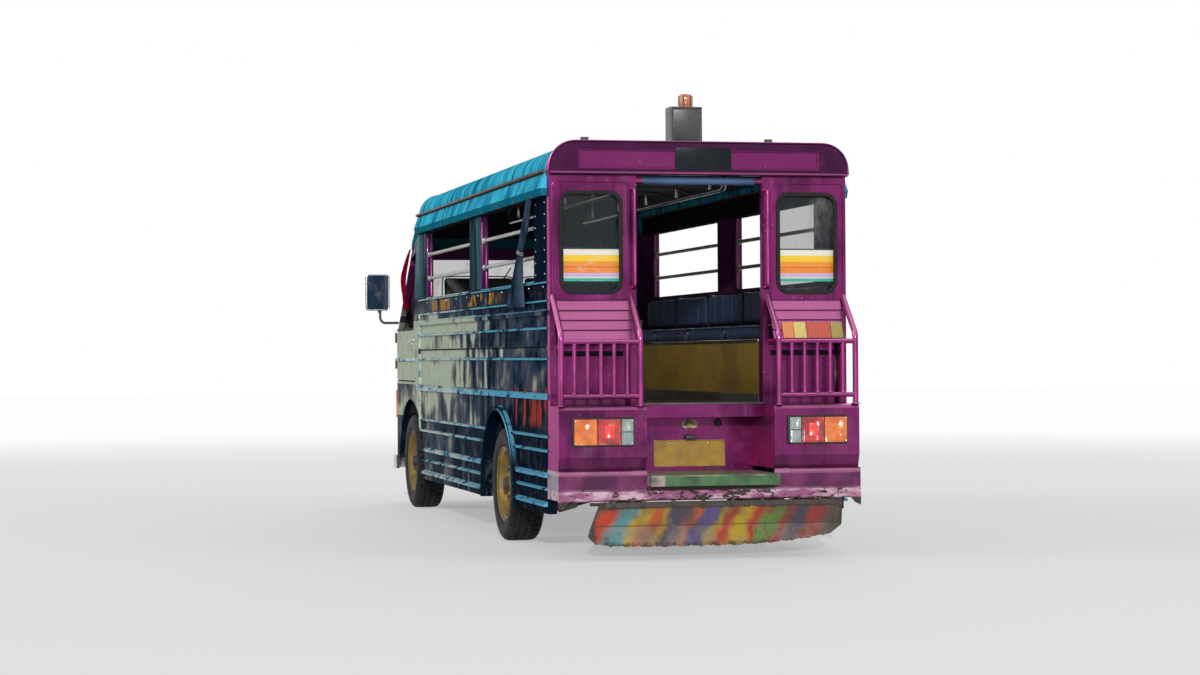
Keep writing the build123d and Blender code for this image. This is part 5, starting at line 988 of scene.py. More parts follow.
TARP = Cloth("grey_tarp", (0.050, 0.085, 0.135), (0.006, 0.016, 0.038), 500, 0.62, 0)
SATIN = Cloth("red_satin", (0.19, 0.002, 0.014), (0.07, 0.001, 0.006), 900, 0.5, 0, 0.3)
BENCH = Vinyl("bench_vinyl", (0.025, 0.05, 0.13), (0.06, 0.09, 0.17), 0.11)
RUST = Coat(
    "rusty_sheet", (0.09, 0.05, 0.035), (0.045, 0.032, 0.028), 0.7, 0.3, dirt=0.6, chips=0.5,
    chip_colour=(0.16, 0.07, 0.03), depth=0.0012,
)
TARP_CORD = Coat("tie_cord", (0.22, 0.23, 0.24), (0.10, 0.11, 0.12), 0.8, dirt=0.5, grain=700, depth=0.0006)
SEAT = Vinyl("cab_vinyl_hide", (0.022, 0.022, 0.024), (0.05, 0.048, 0.046))


def deselect() -> None:
    """Leaves nothing selected, so that an operator acts on the new primitive alone."""
    if bpy.context.mode != "OBJECT":
        bpy.ops.object.mode_set(mode="OBJECT")
    bpy.ops.object.select_all(action="DESELECT")


def hold(piece: bpy.types.Object) -> None:
    """Selects one object alone and makes it the active one."""
    deselect()
    piece.select_set(True)
    bpy.context.view_layer.objects.active = piece


def dress(finish: Finish, *nodes: str) -> None:
    """Gives CAD nodes their finish."""
    for node in nodes:
        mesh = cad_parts[node].data
        if not mesh.materials:
            mesh.materials.append(finish.material())
        for index in range(len(mesh.materials)):
            mesh.materials[index] = finish.material()


def at(place: Vector | Place) -> Vector:
    """A place in metres, as it is or from millimetres."""
    return place if isinstance(place, Vector) else spot(*place)


class Blank:
    """A piece on the bench: a primitive, shaped in edit mode, then finished and fixed to its body.

    Places are vectors in metres or millimetres as in spot; radii, borders and steps are in millimetres.
    """

    def __init__(self, name: str) -> None:
        """Takes the primitive that was just added, and settles its place in its mesh."""
        self.object = bpy.context.active_object
        self.object.name = name
        self.object.data.name = name
        bpy.ops.object.transform_apply(location=True, rotation=True, scale=True)

    @classmethod
    def box(
        cls, name: str, first: Vector | Place, last: Vector | Place, face: Vector | None = None,
        border: float = 0, push: Place | None = None, share: float = 1,
    ) -> Self:
        """A block between two corners, with one face inset or pulled out.

        Args:
            name: Piece name.
            first: One corner.
            last: The opposite corner.
            face: Way that the shaped face looks.
            border: Width of its inset border.
            push: How far its middle is pulled.
            share: Scale of the middle afterwards.

        Returns:
            The blank.
        """
        deselect()
        first, last = at(first), at(last)
        size = tuple(abs(part) for part in last - first)
        bpy.ops.mesh.primitive_cube_add(size=1, location=(first + last) / 2, scale=size)
        piece = cls(name)
        if face is not None:
            piece.facing(face)
        if border:
            piece.inset(border)
        return piece.extrude(push, share) if push else piece

    @classmethod
    def rod(
        cls, name: str, start: Vector | Place, end: Vector | Place, radius: float, tip: float | None = None,
        sides: int = 16,
    ) -> Self:
        """A round bar or taper between two points.

        Args:
            name: Piece name.
            start: Middle of the first end.
            end: Middle of the last end.
            radius: Radius at the first end.
            tip: Radius at the last end.
            sides: Number of sides.

        Returns:
            The blank.
        """
        deselect()
        start, end = at(start), at(end)
        tip = radius if tip is None else tip
        bpy.ops.mesh.primitive_cone_add(
            vertices=sides, radius1=radius / 1000, radius2=tip / 1000, depth=(end - start).length,
            location=(start + end) / 2, rotation=UP.rotation_difference(end - start).to_euler(),
        )
        return cls(name)

    @classmethod
    def turned(
        cls, name: str, profile: Sequence[Pair], foot: Vector | Place, axis: Vector, sides: int = 24,
        hollow: bool = False,
    ) -> Self:
        """A turned shape: a disc, or for a ring a circle of edges, drawn along its axis step by step.

        Args:
            name: Piece name.
            profile: Distance along the axis and radius of each step.
            foot: Where the axis starts.
            axis: Its direction.
            sides: Number of sides.
            hollow: Whether it is a ring with a closed section.

        Returns:
            The blank.
        """
        deselect()
        (low, start), *rest = profile
        kind, mode, back = ("NOTHING", "VERT", [profile[0]]) if hollow else ("NGON", "FACE", [])
        bpy.ops.mesh.primitive_circle_add(vertices=sides, radius=start / 1000, fill_type=kind)
        bpy.ops.object.mode_set(mode="EDIT")
        bpy.ops.mesh.select_mode(type=mode)
        bpy.ops.mesh.select_all(action="SELECT")
        for (along, radius), (upper, wider) in zip(profile, rest + back):
            climb = (0, 0, (upper - along) / 1000)
            bpy.ops.mesh.extrude_region_move(TRANSFORM_OT_translate={"value": climb})
            share = wider / radius
            bpy.ops.transform.resize(value=(share, share, 1), center_override=(0, 0, upper / 1000))
        bpy.ops.mesh.select_all(action="SELECT")
        if hollow:
            bpy.ops.mesh.remove_doubles(threshold=0.00002)
        bpy.ops.mesh.normals_make_consistent(inside=False)
        bpy.ops.object.mode_set(mode="OBJECT")
        turn = UP.rotation_difference(axis).to_matrix().to_4x4()
        move = Matrix.Translation(at(foot)) @ turn @ Matrix.Translation((0, 0, low / 1000))
        bpy.context.active_object.matrix_world = move
        return cls(name)

    @classmethod
    def panel(
        cls, name: str, distance: float, ys: Pair, zs: Pair, corner: float, bar: Pair = (0, 0)
    ) -> Self:
        """A flat sheet that faces rearwards, with rounded corners, or a frame with its middle taken out.

        Args:
            name: Piece name.
            distance: Millimetres forward of the rear face.
            ys: Its edges in Y.
            zs: Its edges in Z.
            corner: Corner radius.
            bar: Width of a frame's bar, and how far it reaches rearwards.

        Returns:
            The blank.
        """
        deselect()
        middle = spot(distance, sum(ys) / 2, sum(zs) / 2)
        bpy.ops.mesh.primitive_plane_add(size=1, location=middle, rotation=(0, -math.pi / 2, 0))
        bpy.context.active_object.scale = (abs(zs[1] - zs[0]) / 1000, abs(ys[1] - ys[0]) / 1000, 1)
        piece = cls(name)
        if corner > 0:
            piece.all()
            bpy.ops.mesh.bevel(offset=corner / 1000, segments=7, affect="VERTICES")
        width, depth = bar
        if not width:
            return piece
        piece.all().inset(width)
        bpy.ops.mesh.delete(type="FACE")
        return piece.thicken((-depth, 0, 0))

    @classmethod
    def wire(
        cls, name: str, points: Sequence[Vector | Place], radius: float, closed: bool = False, sides: int = 3
    ) -> Self:
        """A round wire or tube along a smooth line.

        Args:
            name: Piece name.
            points: Control points of its line.
            radius: Its radius.
            closed: Whether the line closes.
            sides: Bevel resolution.

        Returns:
            The blank.
        """
        line = bpy.data.curves.new(name, "CURVE")
        line.dimensions = "3D"
        run = line.splines.new("NURBS")
        run.points.add(len(points) - 1)
        for point, place in zip(run.points, points):
            point.co = (*at(place), 1)
        run.use_cyclic_u = closed
        run.order_u = 3
        run.use_endpoint_u = line.use_fill_caps = not closed
        line.resolution_u = 6
        line.bevel_depth = radius / 1000
        line.bevel_resolution = sides
        piece = bpy.data.objects.new(name, line)
        bpy.context.scene.collection.objects.link(piece)
        hold(piece)
        bpy.ops.object.convert(target="MESH")
        return cls(name)

    def all(self) -> Self:
        """Selects the whole mesh in edit mode."""
        if bpy.context.mode != "EDIT_MESH":
            bpy.ops.object.mode_set(mode="EDIT")
        bpy.ops.mesh.select_mode(type="FACE")
        bpy.ops.mesh.select_all(action="SELECT")
        return self

    def pick(self, test: Callable[[Vector, Vector], bool]) -> Self:
        """Selects the faces in edit mode whose middle and normal pass a test."""
        self.all()
        bpy.ops.mesh.select_all(action="DESELECT")
        net = bmesh.from_edit_mesh(self.object.data)
        for face in net.faces:
            face.select_set(bool(test(face.calc_center_median(), face.normal)))
        bmesh.update_edit_mesh(self.object.data)
        return self

    def facing(self, way: Vector) -> Self:
        """Selects the faces that look one way."""
        return self.pick(lambda centre, normal: normal.dot(way) > 0.9)

    def extrude(self, step: Place, share: float = 1) -> Self:
        """Pulls the selected faces out, and then scales them about their middle."""
        bpy.ops.mesh.extrude_region_move(TRANSFORM_OT_translate={"value": step_of(step)})
        if share != 1:
            net = bmesh.from_edit_mesh(self.object.data)
            chosen = [vertex.co for vertex in net.verts if vertex.select]
            middle = sum(chosen, Vector()) / len(chosen)
            bpy.ops.transform.resize(value=(share,) * 3, center_override=middle)
        return self

    def inset(self, width: float, depth: float = 0, each: bool = False) -> Self:
        """Insets the selected faces, together or each, and moves their middle out by the depth."""
        bpy.ops.mesh.inset(thickness=width / 1000, depth=depth / 1000, use_individual=each)
        return self

    def thicken(self, step: Place) -> Self:
        """Gives an open sheet its thickness by pulling it out, and turns its faces outwards."""
        self.all().extrude(step)
        bpy.ops.mesh.select_all(action="SELECT")
        bpy.ops.mesh.normals_make_consistent(inside=False)
        return self

    def subdivide(self, cuts: int) -> Self:
        """Cuts the selected faces into smaller ones."""
        bpy.ops.mesh.subdivide(number_cuts=cuts)
        return self

    def warp(self, shape: Callable[[Vector], Vector]) -> Self:
        """Moves every point of the mesh to where a rule puts it, as a hand would push it."""
        if bpy.context.mode != "OBJECT":
            bpy.ops.object.mode_set(mode="OBJECT")
        for vertex in self.object.data.vertices:
            vertex.co = shape(vertex.co.copy())
        return self

    def modify(self, kind: str, **settings: Any) -> Self:
        """Adds a modifier of a type, with its settings, and applies it."""
        hold(self.object)
        modifier = self.object.modifiers.new(kind, kind)
        for name, value in settings.items():
            setattr(modifier, name, value)
        bpy.ops.object.modifier_apply(modifier=modifier.name)
        return self

    def repeat(self, places: Sequence[Matrix]) -> Self:
        """Joins copies of this piece, each with its own mesh, moved to other places."""
        deselect()
        for number, move in enumerate(places):
            twin = self.object.copy()
            twin.data = self.object.data.copy()
            twin.name = f"{self.object.name}_{number}"
            twin.data.transform(move)
            if move.determinant() < 0:
                twin.data.flip_normals()
            bpy.context.scene.collection.objects.link(twin)
            twin.select_set(True)
        self.object.select_set(True)
        bpy.context.view_layer.objects.active = self.object
        bpy.ops.object.join()
        return self

    def row(self, step: Place, count: int) -> Self:
        """Repeats the piece in a row, count times in all."""
        return self.repeat([Matrix.Translation(step_of(step) * number) for number in range(1, count)])

    def both_sides(self) -> Self:
        """Adds the mirror image on the other side of the vehicle."""
        return self.repeat([Matrix.Scale(-1, 4, (0, 1, 0))])

    def finish(
        self, finish: Finish, bevel: float = 0, slot: str = "", body: str = "body", segments: int = 2,
        angle: float = 35, replaces: tuple[str, ...] = (),
    ) -> bpy.types.Object:
        """Rounds the edges, smooths, paints and fixes the piece.

        Args:
            finish: Its finish.
            bevel: Edge radius.
            slot: The record's material slot, if not the finish's usual one; not used.
            body: The body it rides on.
            segments: Steps round each edge.
            angle: Edges sharper than this stay sharp.
            replaces: CAD nodes that it stands for.

        Returns:
            The finished object.
        """
        if bevel > 0:
            corner = {"limit_method": "ANGLE", "angle_limit": math.radians(30)}
            self.modify("BEVEL", width=bevel / 1000, segments=segments, **corner)
        hold(self.object)
        bpy.ops.object.shade_smooth_by_angle(angle=math.radians(angle))
        self.object.data.materials.clear()
        self.object.data.materials.append(finish.material())
        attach(self.object, body)
        if replaces:
            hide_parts(*replaces)
        return self.object

    def pair(self, *look: Any, **more: Any) -> bpy.types.Object:
        """Finishes the piece together with its mirror image; see finish."""
        return self.both_sides().finish(*look, **more)


def shift(distance: float = 0, y: float = 0, z: float = 0) -> Matrix:
    """A move in millimetres."""
    return Matrix.Translation((distance / 1000, y / 1000, z / 1000))


def about(centre: Vector, axis: Vector, angle: float) -> Matrix:
    """A turn in radians about a line that runs through the centre along the axis."""
    return Matrix.Translation(centre) @ Matrix.Rotation(angle, 4, axis) @ Matrix.Translation(-centre)


@dataclass
class RearFace:
    """The rear: window seals and film, niches, header, tail lamps, plate, fixings and grab bar tape."""

    window_y: Pair = (423, 741)
    window_z: Pair = (1369, 1887)
    corner: float = 58
    film_z: Pair = (1428, 1598)
    lamp_y: Pair = (411, 730)
    lamp_z: Pair = (584, 724)
    box_face: float = -205

    def build(self) -> None:
        """Makes every piece of the rear face."""
        dress(PLUM, "rear_panel_left", "rear_panel_right", "lamp_box_left", "lamp_box_right", "rear_header")
        dress(PLUM, "rear_apron")
        dress(LIT_PLUM, "rear_guards", "entry_rails")
        dress(GLASS, "rear_glass")
        dress(LIP, "rear_bumper")
        dress(STEP, "rear_step")
        dress(PLATE, "number_plate")
        dress(MARKERS, "marker_lamps")
        self.windows()
        self.niches()
        self.header()
        self.lamps()
        self.plate()
        self.fixings()
        self.grab_bar()

    def windows(self) -> None:
        """Rubber seals with a filler strip, the pressed surround, and the striped film behind each."""
        ys, zs = self.window_y, self.window_z
        Blank.panel(
            "rear_window_seals", -7.6, (ys[0] - 9, ys[1] + 9), (zs[0] - 9, zs[1] + 9), self.corner + 9,
            (21, 9),
        ).pair(SEAL, 3.5, segments=3)
        Blank.panel(
            "seal_beads", -15.4, (ys[0] - 1, ys[1] + 1), (zs[0] - 1, zs[1] + 1), self.corner, (4, 2.6)
        ).pair(SEAL, 1)
        Blank.panel(
            "window_surrounds", -3.6, (377, 789), (1337, 1946), 30, (7, 4.2)
        ).pair(PLUM, 1.6, segments=3)
        Blank.panel(
            "window_film", 18.6, (ys[0] + 2, ys[1] - 2), self.film_z, 0
        ).thicken((-0.6, 0, 0)).pair(FILM)
        Blank.box(
            "film_top_line", (17.2, ys[0] + 2, 1598.5), (18.6, ys[1] - 2, 1601)
        ).pair(BLACK, slot="film_glass")

    def niches(self) -> None:
        """Dark sheet behind the top slot of each niche, put there as painted shade, and the rolled strip
        over its upper part.
        """
        # Painted shade: a dark sheet closes the top slot of each niche.
        Blank.box(
            "niche_backings", (72.2, 386, 1020), (74.4, 756, 1112), REARWARD, 4
        ).pair(INK, 0.5, slot="dark_plastic")
        Blank.box("niche_strips", (56.5, 394, 1066), (59.5, 752, 1098), REARWARD, 3).pair(PLUM, 1)

    def header(self) -> None:
        """Black blank centre panel, and beads round the recessed band and along the edges."""
        Blank.panel(
            "header_centre_panel", -28.6, (-168, 134), (2003, 2124), 3
        ).thicken((1.6, 0, 0)).finish(INK, 0.6)
        Blank.panel("header_band_bead", -24.6, (-652, 652), (2005, 2111), 6, (8, 3.5)).finish(PLUM, 1.4)
        Blank.rod("header_lower_bead", (-31, -800, 1984), (-31, 800, 1984), 6).finish(PLUM)
        half = [
            (806, 1988), (806, 2030), (790, 2080), (765, 2112), (732, 2136), (690, 2150), (640, 2151),
            (320, 2151),
        ]
        points = [(-26, -y, z) for y, z in half] + [(-26, y, z) for y, z in reversed(half)]
        Blank.wire("header_top_bead", points, 6).finish(PLUM)

    def lamps(self) -> None:
        """Tail lamps: a black housing, ribbed lenses, and the lit square in each red one."""
        (y0, y1), (z0, z1) = self.lamp_y, self.lamp_z
        face = self.box_face
        Blank.box(
            "tail_lamp_housings", (face - 16, y0 - 2, z0 - 2), (face, y1 + 2, z1 + 2), REARWARD, 4, (6, 0, 0)
        ).pair(BLACK, 1.8, replaces=("tail_lamps",))
        Blank.panel(
            "tail_lamp_gaskets", face - 1, (y0 - 5, y1 + 5), (z0 - 5, z1 + 5), 6, (7, 3)
        ).pair(SEAL, 1)
        unit = (y1 - y0 - 24) / 5
        red = (y0 + 12 + unit, y0 + 12 + 3 * unit)
        for (start, end), finish, word in (
            ((y0 + 6, y0 + 6 + unit), CLEAR, "clear"), (red, REDLIGHT, "red"),
            ((y0 + 18 + 3 * unit, y0 + 18 + 5 * unit), AMBER, "amber"),
        ):
            lens = Blank.box(
                f"tail_lens_{word}", (face - 23, start, z0 + 5), (face - 10, end, z1 - 5), REARWARD, 6,
                (-4, 0, 0), 0.97,
            )
            lens.inset(4).extrude((1, 0, 0))
            lens.pair(finish, 2, segments=3)
        middle = sum(red) / 2
        square = Blank.box(
            "tail_lens_square", (face - 27.5, middle - 24, z0 + 38), (face - 24, middle + 24, z1 - 36),
            REARWARD,
        )
        square.inset(3, 0.8)
        square.pair(SQUARE, 1)
        Blank.box(
            "clear_lens_bar", (face - 28.5, y0 + 8, 652), (face - 24, y0 + 4 + unit, 657)
        ).pair(BLACK, 1)
        screw = Blank.turned(
            "lens_screws", ((0, 4.5), (2, 4.2), (3, 2)), (face - 27, y0 + 12, z0 + 12), REARWARD, 12
        )
        screw.row((0, 0, z1 - z0 - 24), 2).row((0, y1 - y0 - 24, 0), 2).pair(BRIGHT)

    def plate(self) -> None:
        """Plate's rolled rim, its two screws, and the lamp and plugs above it."""
        Blank.panel("plate_rim", 227.6, (-195, 195), (454, 594), 12, (6, 2.4)).finish(PLATE, 0.8)
        Blank.turned(
            "plate_screws", ((0, 7.5), (2, 7.5), (4.5, 4.5), (5, 2)), (227.8, 103, 576), REARWARD, 16
        ).pair(BRIGHT, 0.4)
        Blank.box(
            "plate_lamp_cowl", (184, -30, 601), (229, 30, 622), REARWARD, 0, (-4, 0, -3), 0.86
        ).finish(BLACK, 3, segments=3)
        Blank.turned(
            "apron_lamp_ring", ((0, 24), (6, 24), (12, 21), (13, 18), (11, 16)), (222, 0, 678), REARWARD, 32
        ).finish(CHROME, 0.8)
        Blank.turned(
            "apron_lamp_dome", ((0, 17.5), (6, 16.5), (11, 12), (13.5, 6)), (206, 0, 678), REARWARD, 28
        ).finish(BULB)
        Blank.turned(
            "apron_plugs", ((0, 22), (6, 21), (10, 15), (7, 11)), (229.5, -158, 684), REARWARD, 24
        ).finish(BLACK, 1)

    def fixings(self) -> None:
        """Rivets on the boards, the guards' feet and welds, the step's under plate and the sill's cap."""
        rivet = Blank.turned("board_rivets", ((0, 4), (1.2, 3.6), (2, 2)), (-2, 786, 1350), REARWARD, 10)
        rivet.row((0, 0, 85), 7).row((0, -429, 0), 2).pair(LIT_PLUM, slot="purple_paint")
        Blank.box(
            "step_under_plate", (-206, -336, 350), (-198, 336, 378), REARWARD
        ).subdivide(5).finish(CHASSIS, 1, slot="rusty_band")
        Blank.turned(
            "guard_feet", ((0, 24), (4, 24), (6, 18)), (-195, 784, 784), UP, 20
        ).row((0, -415, 0), 2).pair(LIT_PLUM, 1)
        weld = Blank.turned("guard_welds", ((0, 13.5), (3, 14.5), (7, 11.2)), (-195, 438.2, 845), UP, 14)
        weld.row((0, 69.17, 0), 5).row((0, 0, 252), 2).pair(LIT_PLUM)
        Blank.box("entry_sill_cap", (-16, -338, 786), (14, 338, 796), UP).subdivide(6).finish(FLOOR, 3)

    def grab_bar(self) -> None:
        """Tape wound round the entrance bar, in overlapping turns."""
        Blank.turned(
            "grab_bar_tape", ((0, 20.2), (4, 21.2), (22, 20.6), (26, 20)), (20, -300, 1952),
            Vector((0, 1, 0.03)).normalized(), 20,
        ).row((0, 24, 0), 25).finish(TAPE)


@dataclass
class Flap:
    """The striped rubber flap, hung by tabs, kicked out at its crease, with a ragged lower edge."""

    left: float = 592
    right: float = 700
    top: float = 296
    length: float = 226
    back: float = -213

    def surface(self, u: float, v: float) -> Vector:
        """Place on the flap's rear face.

        Args:
            u: From the right edge, 0, to the left edge, 1.
            v: From the top, 0, to the lower edge, 1.

        Returns:
            The place.
        """
        side = 2 * u - 1
        left = self.left + 74 * min(1, v * 1.15) - 46 * max(0, v - 0.80) / 0.20
        right = self.right - 16 * v - 60 * max(0, v - 0.75) / 0.25
        y = u * left - (1 - u) * right
        sag = self.length * (1 - (0.07 * side**6 if side > 0 else 0.22 * abs(side) ** 2.4))
        rag = 2.4 * math.sin(side * 41) + 1.6 * math.sin(side * 97 + 1) + 1.4 * math.sin(side * 163)
        z = self.top - sag * v + rag * v**8
        fall = self.top - z
        bow = 12 * fall / 120 if fall < 120 else 12 + 24 * (fall - 120) / 106
        wave = (4.5 * math.sin(side * 9 + 0.6) + 3 * math.sin(side * 19)) * v
        return spot(self.back - 8 - bow * 0.96 + min(wave, 6), y, z)

    def build(self) -> None:
        """The sheet, its tabs, its bolts and the frayed threads of its edge."""
        deselect()
        columns, rows = 150, 22
        bpy.ops.mesh.primitive_grid_add(x_subdivisions=columns, y_subdivisions=rows, size=1)
        flap = Blank("striped_flap")
        flap.warp(lambda point: self.surface(point.x + 0.5, 0.5 - point.y))
        flap.thicken((7, 0, 0))
        flap.finish(FLAP, angle=50, replaces=("mud_flap",))
        Blank.box(
            "flap_hem_bar", (-228, -668, 268), (-221, 566, 292), REARWARD
        ).subdivide(6).finish(CHASSIS, 2)
        tab = Blank.box("flap_tabs", (-233, -586, 262), (-226, -566, 304), UP, 0, (12, 0, 6))
        moves = [shift(-0.3 * (step % 3), 157 * step, 0) for step in range(1, 8)]
        tab.repeat(moves).finish(CHASSIS, 1.5)
        Blank.turned(
            "flap_bolts", ((0, 8), (4, 8), (6, 5)), (-233, -576, 276), REARWARD, 6
        ).repeat(moves).finish(CASTING, 0.6)
        for number, (u, drop) in enumerate(
            ((0.12, 14), (0.30, 22), (0.41, 15), (0.56, 24), (0.63, 12), (0.70, 17), (0.83, 20), (0.91, 15))
        ):
            edge = self.surface(u, 1)
            points = [
                edge + Vector((0.003, 0, 0.012)), edge + Vector((0.003, 0.003, -drop / 2500)),
                edge + Vector((0.002, -0.003, -drop / 1300)),
            ]
            Blank.wire(f"flap_fray_{number}", points, 1.1).finish(FLAP)


@dataclass
class SideWall:
    """Steel sides and roof: screws, window channels, bar sockets, arch lips, gutters and seams."""

    windows: tuple[Pair, ...] = ((400, 1960), (2340, 3970))

    def build(self) -> None:
        """Dresses the walls and the roof, and adds their trim."""
        dress(STEEL, "side_wall_left", "side_wall_right")
        dress(ROOF, "roof_shell", "cab_roof")
        dress(CREAM, "window_bars")
        self.screws()
        self.channels()
        self.lips()
        self.roof_trim()

    def screws(self) -> None:
        """Dome screws in a row on the fascia, and small ones on the panel behind the windows."""
        Blank.turned(
            "fascia_screws", ((0, 6.5), (2, 6), (3.5, 3)), (160, 800, 1404), LEFTWARD, 10
        ).row((380, 0, 0), 11).pair(BRIGHT, slot="stainless")
        small = Blank.turned(
            "panel_screws", ((0, 4.8), (1.5, 4.4), (2.8, 2)), (120, 800, 1470), LEFTWARD, 10
        )
        small.row((0, 0, 62), 7).row((230, 0, 0), 2).pair(BRIGHT, slot="stainless")

    def channels(self) -> None:
        """Sill channels under the windows, and upright channels at their ends painted in a darker plum as
        shade.
        """
        for number, (start, end) in enumerate(self.windows):
            Blank.box(
                f"sill_channel_{number}", (start + 2, 750, 1430), (end - 2, 806, 1437), UP, 8, (0, 0, -4)
            ).pair(STEEL, 1.2)
            post = Blank.box(
                f"window_posts_{number}", (start, 757, 1438), (start + 14, 797, 1872), AHEAD, 10, (-6, 0, 0)
            )
            twin = shift(end - start) @ about(spot(start, 777, 1655), UP, math.pi)
            # The posts are in the darker plum: painted shade.
            post.repeat([twin]).pair(SHADED_PLUM, 1)
            bracket = Blank.turned(
                f"bar_sockets_{number}", ((0, 19), (8, 19), (14, 14)), (start + 8, 777.5, 1567), AHEAD, 16
            )
            far = about(spot((start + end) / 2, 777.5, 1567), UP, math.pi)
            bracket.repeat([shift(0, 0, 158), far, shift(0, 0, 158) @ far]).pair(CREAM, 1)

    def lips(self) -> None:
        """Rolled edges round the rear wheel arches."""
        middle, reach = End.REAR.value, 489
        turns = [math.pi * step / 24 for step in range(25)]
        arch = [(middle + reach * math.cos(turn), 824, 250 + 492 * math.sin(turn)) for turn in turns]
        points = [(middle + reach, 824, 228), *arch, (middle - reach, 824, 228)]
        Blank.wire("arch_lips", points, 7).pair(STEEL)

    def roof_trim(self) -> None:
        """Gutter rails, roof seams and eave clips."""
        Blank.box(
            "gutter_rails", (62, 816, 1996), (4278, 826, 2004), UP, 2, (0, 0, 4)
        ).pair(CASTING, 1, slot="chrome_trim")
        bow = ((795, 2004), (796, 2030), (775, 2085), (716, 2122), (650, 2134), (420, 2146), (0, 2152))
        for place in (430, 1370, 2310, 3250, 4190):
            points = [(place, y, z) for y, z in bow] + [(place, -y, z) for y, z in bow[-2::-1]]
            Blank.wire(f"roof_seam_{place}", points, 4).finish(ROOF)
        Blank.box(
            "eave_clips", (300, 799, 1872), (318, 832, 1877), LEFTWARD, 0, (0, 3, 14)
        ).row((480, 0, 0), 9).pair(CASTING, 1, slot="chrome_trim")


@dataclass
class RoofSign:
    """Blank sign box with its frame, feet and the beacon on top."""

    middle: float = 40
    top: float = 2348

    def build(self) -> None:
        """Frame strips, blank panels, feet and the beacon's lens and cage."""
        dress(SIGN, "roof_sign")
        y0, y1 = self.middle - 83, self.middle + 83
        Blank.panel(
            "sign_frame", 100.4, (y0, y1), (2154, 2346), 6, (11, 4)
        ).repeat([about(spot(155, self.middle, 2240), UP, math.pi)]).finish(SIGN, 1.2)
        Blank.panel(
            "sign_panels", 99.6, (y0 + 12, y1 - 12), (2166, 2334), 4
        ).thicken((-1.2, 0, 0)).repeat([about(spot(155, self.middle, 2240), UP, math.pi)]).finish(PANEL, 0.4)
        foot = Blank.box("sign_feet", (112, y0 - 14, 2150), (150, y0 + 2, 2157), LEFTWARD, 0, (0, 0, 0))
        foot.extrude((0, 2, 30))
        foot.repeat([about(spot(155, self.middle, 2150), UP, math.pi)]).finish(CHASSIS, 1, slot="sign_black")
        profile = ((0, 38), (6, 38), (7, 34), (12, 34), (14, 36), (58, 35.5), (68, 31), (74, 20), (75, 8))
        Blank.turned(
            "beacon_lens", profile, (155, 30, self.top), UP, 32
        ).finish(BEACON, replaces=("beacon",))
        bar = Blank.box("beacon_cage", (154, -10, self.top + 2), (157, -7, self.top + 62))
        ring = [about(spot(155, 30, 2360), UP, math.pi * step / 3) for step in range(1, 6)]
        bar.repeat(ring).finish(CASTING)


@dataclass
class Wheel:
    """One wheel: a ribbed tyre with cut tread, nuts, studs, a hub cap and a valve on the dished rim."""

    end: End
    side: Side
    radius: float = 322
    middle: float = 697.5
    sides: int = 120

    def build(self) -> None:
        """Makes the tyre and the rim's fittings on the wheel's own body."""
        word = f"{self.end.name.lower()}_{self.side.name.lower()}"
        body = f"{word}_wheel"
        sign = self.side.value
        centre = spot(self.end.value, sign * self.middle, self.radius)
        out = Vector((0, sign, 0))
        dress(RIM, f"rim_{word}")
        half = (
            (66, 197), (78, 213), (83, 217), (88.5, 222), (89.5, 228), (94.5, 240), (97.5, 262), (96.8, 283),
            (93.5, 291), (94.2, 294), (88.5, 304.5), (79, 315.5), (68, 320.3), (46, 321.4), (44.5, 314.8),
            (37.5, 314.8), (36, 321.9), (5.5, 322), (4.5, 315),
        )
        section = [(-along, radius) for along, radius in half] + [*reversed(half), (30, 184), (-30, 184)]
        tyre = Blank.turned(f"tyre_{word}_tread", section, centre, out, self.sides, True)

        def on_block(middle: Vector, normal: Vector) -> bool:
            """Tread faces that hold a cross groove."""
            arm = middle - centre
            reach = math.hypot(arm.x, arm.z)
            turn = (math.atan2(arm.z, arm.x) / math.tau) % 1 * self.sides
            offset = 1.5 * (arm.y > 0) + (1 if abs(arm.y) > 0.04 else 0)
            on_tread = reach > 0.316 and abs(normal.y) < 0.6 and abs(arm.y) > 0.006
            return on_tread and int(turn + offset) % 3 == 0

        def hub(distance: float, reach: float, rise: float) -> Vector:
            """Place in millimetres from the wheel's middle, outwards on its own side."""
            return centre + step_of((distance, sign * reach, rise))

        tyre.pick(on_block).inset(4.2, -6.2, True)
        tyre.finish(TYRE, body=body, angle=28, replaces=(f"tyre_{word}",))
        nut = Blank.turned(f"nuts_{word}", ((0, 10.5), (11, 10.5), (13, 8.5)), hub(88, 38.5, 0), out, 6)
        stud = Blank.rod(f"studs_{word}", hub(88, 40, 0), hub(88, 58, 0), 6, sides=10)
        ring = [about(centre, out, math.tau * step / 6) for step in range(1, 6)]
        nut.repeat(ring).finish(CASTING, 0.8, body=body)
        stud.repeat(ring).finish(CASTING, body=body)
        profile = ((0, 41), (6, 41), (9, 36), (20, 34), (26, 28), (28, 12))
        Blank.turned(f"hub_cap_{word}", profile, hub(0, 61.5, 0), out, 28).finish(CASTING, 1, body=body)
        Blank.rod(f"valve_{word}", hub(0, 45, 172), hub(0, 78, 160), 3.8, 3, 10).finish(BLACK, body=body)
        Blank.box(f"weight_{word}", hub(-20, 72, -206), hub(20, 83.5, -199)).finish(CASTING, 2, body=body)
        profile = ((75.5, 207.5), (82.5, 211.5), (86.5, 209.5), (83.5, 203.5))
        Blank.turned(f"rim_edge_{word}", profile, centre, out, 96, True).finish(RIM, body=body)


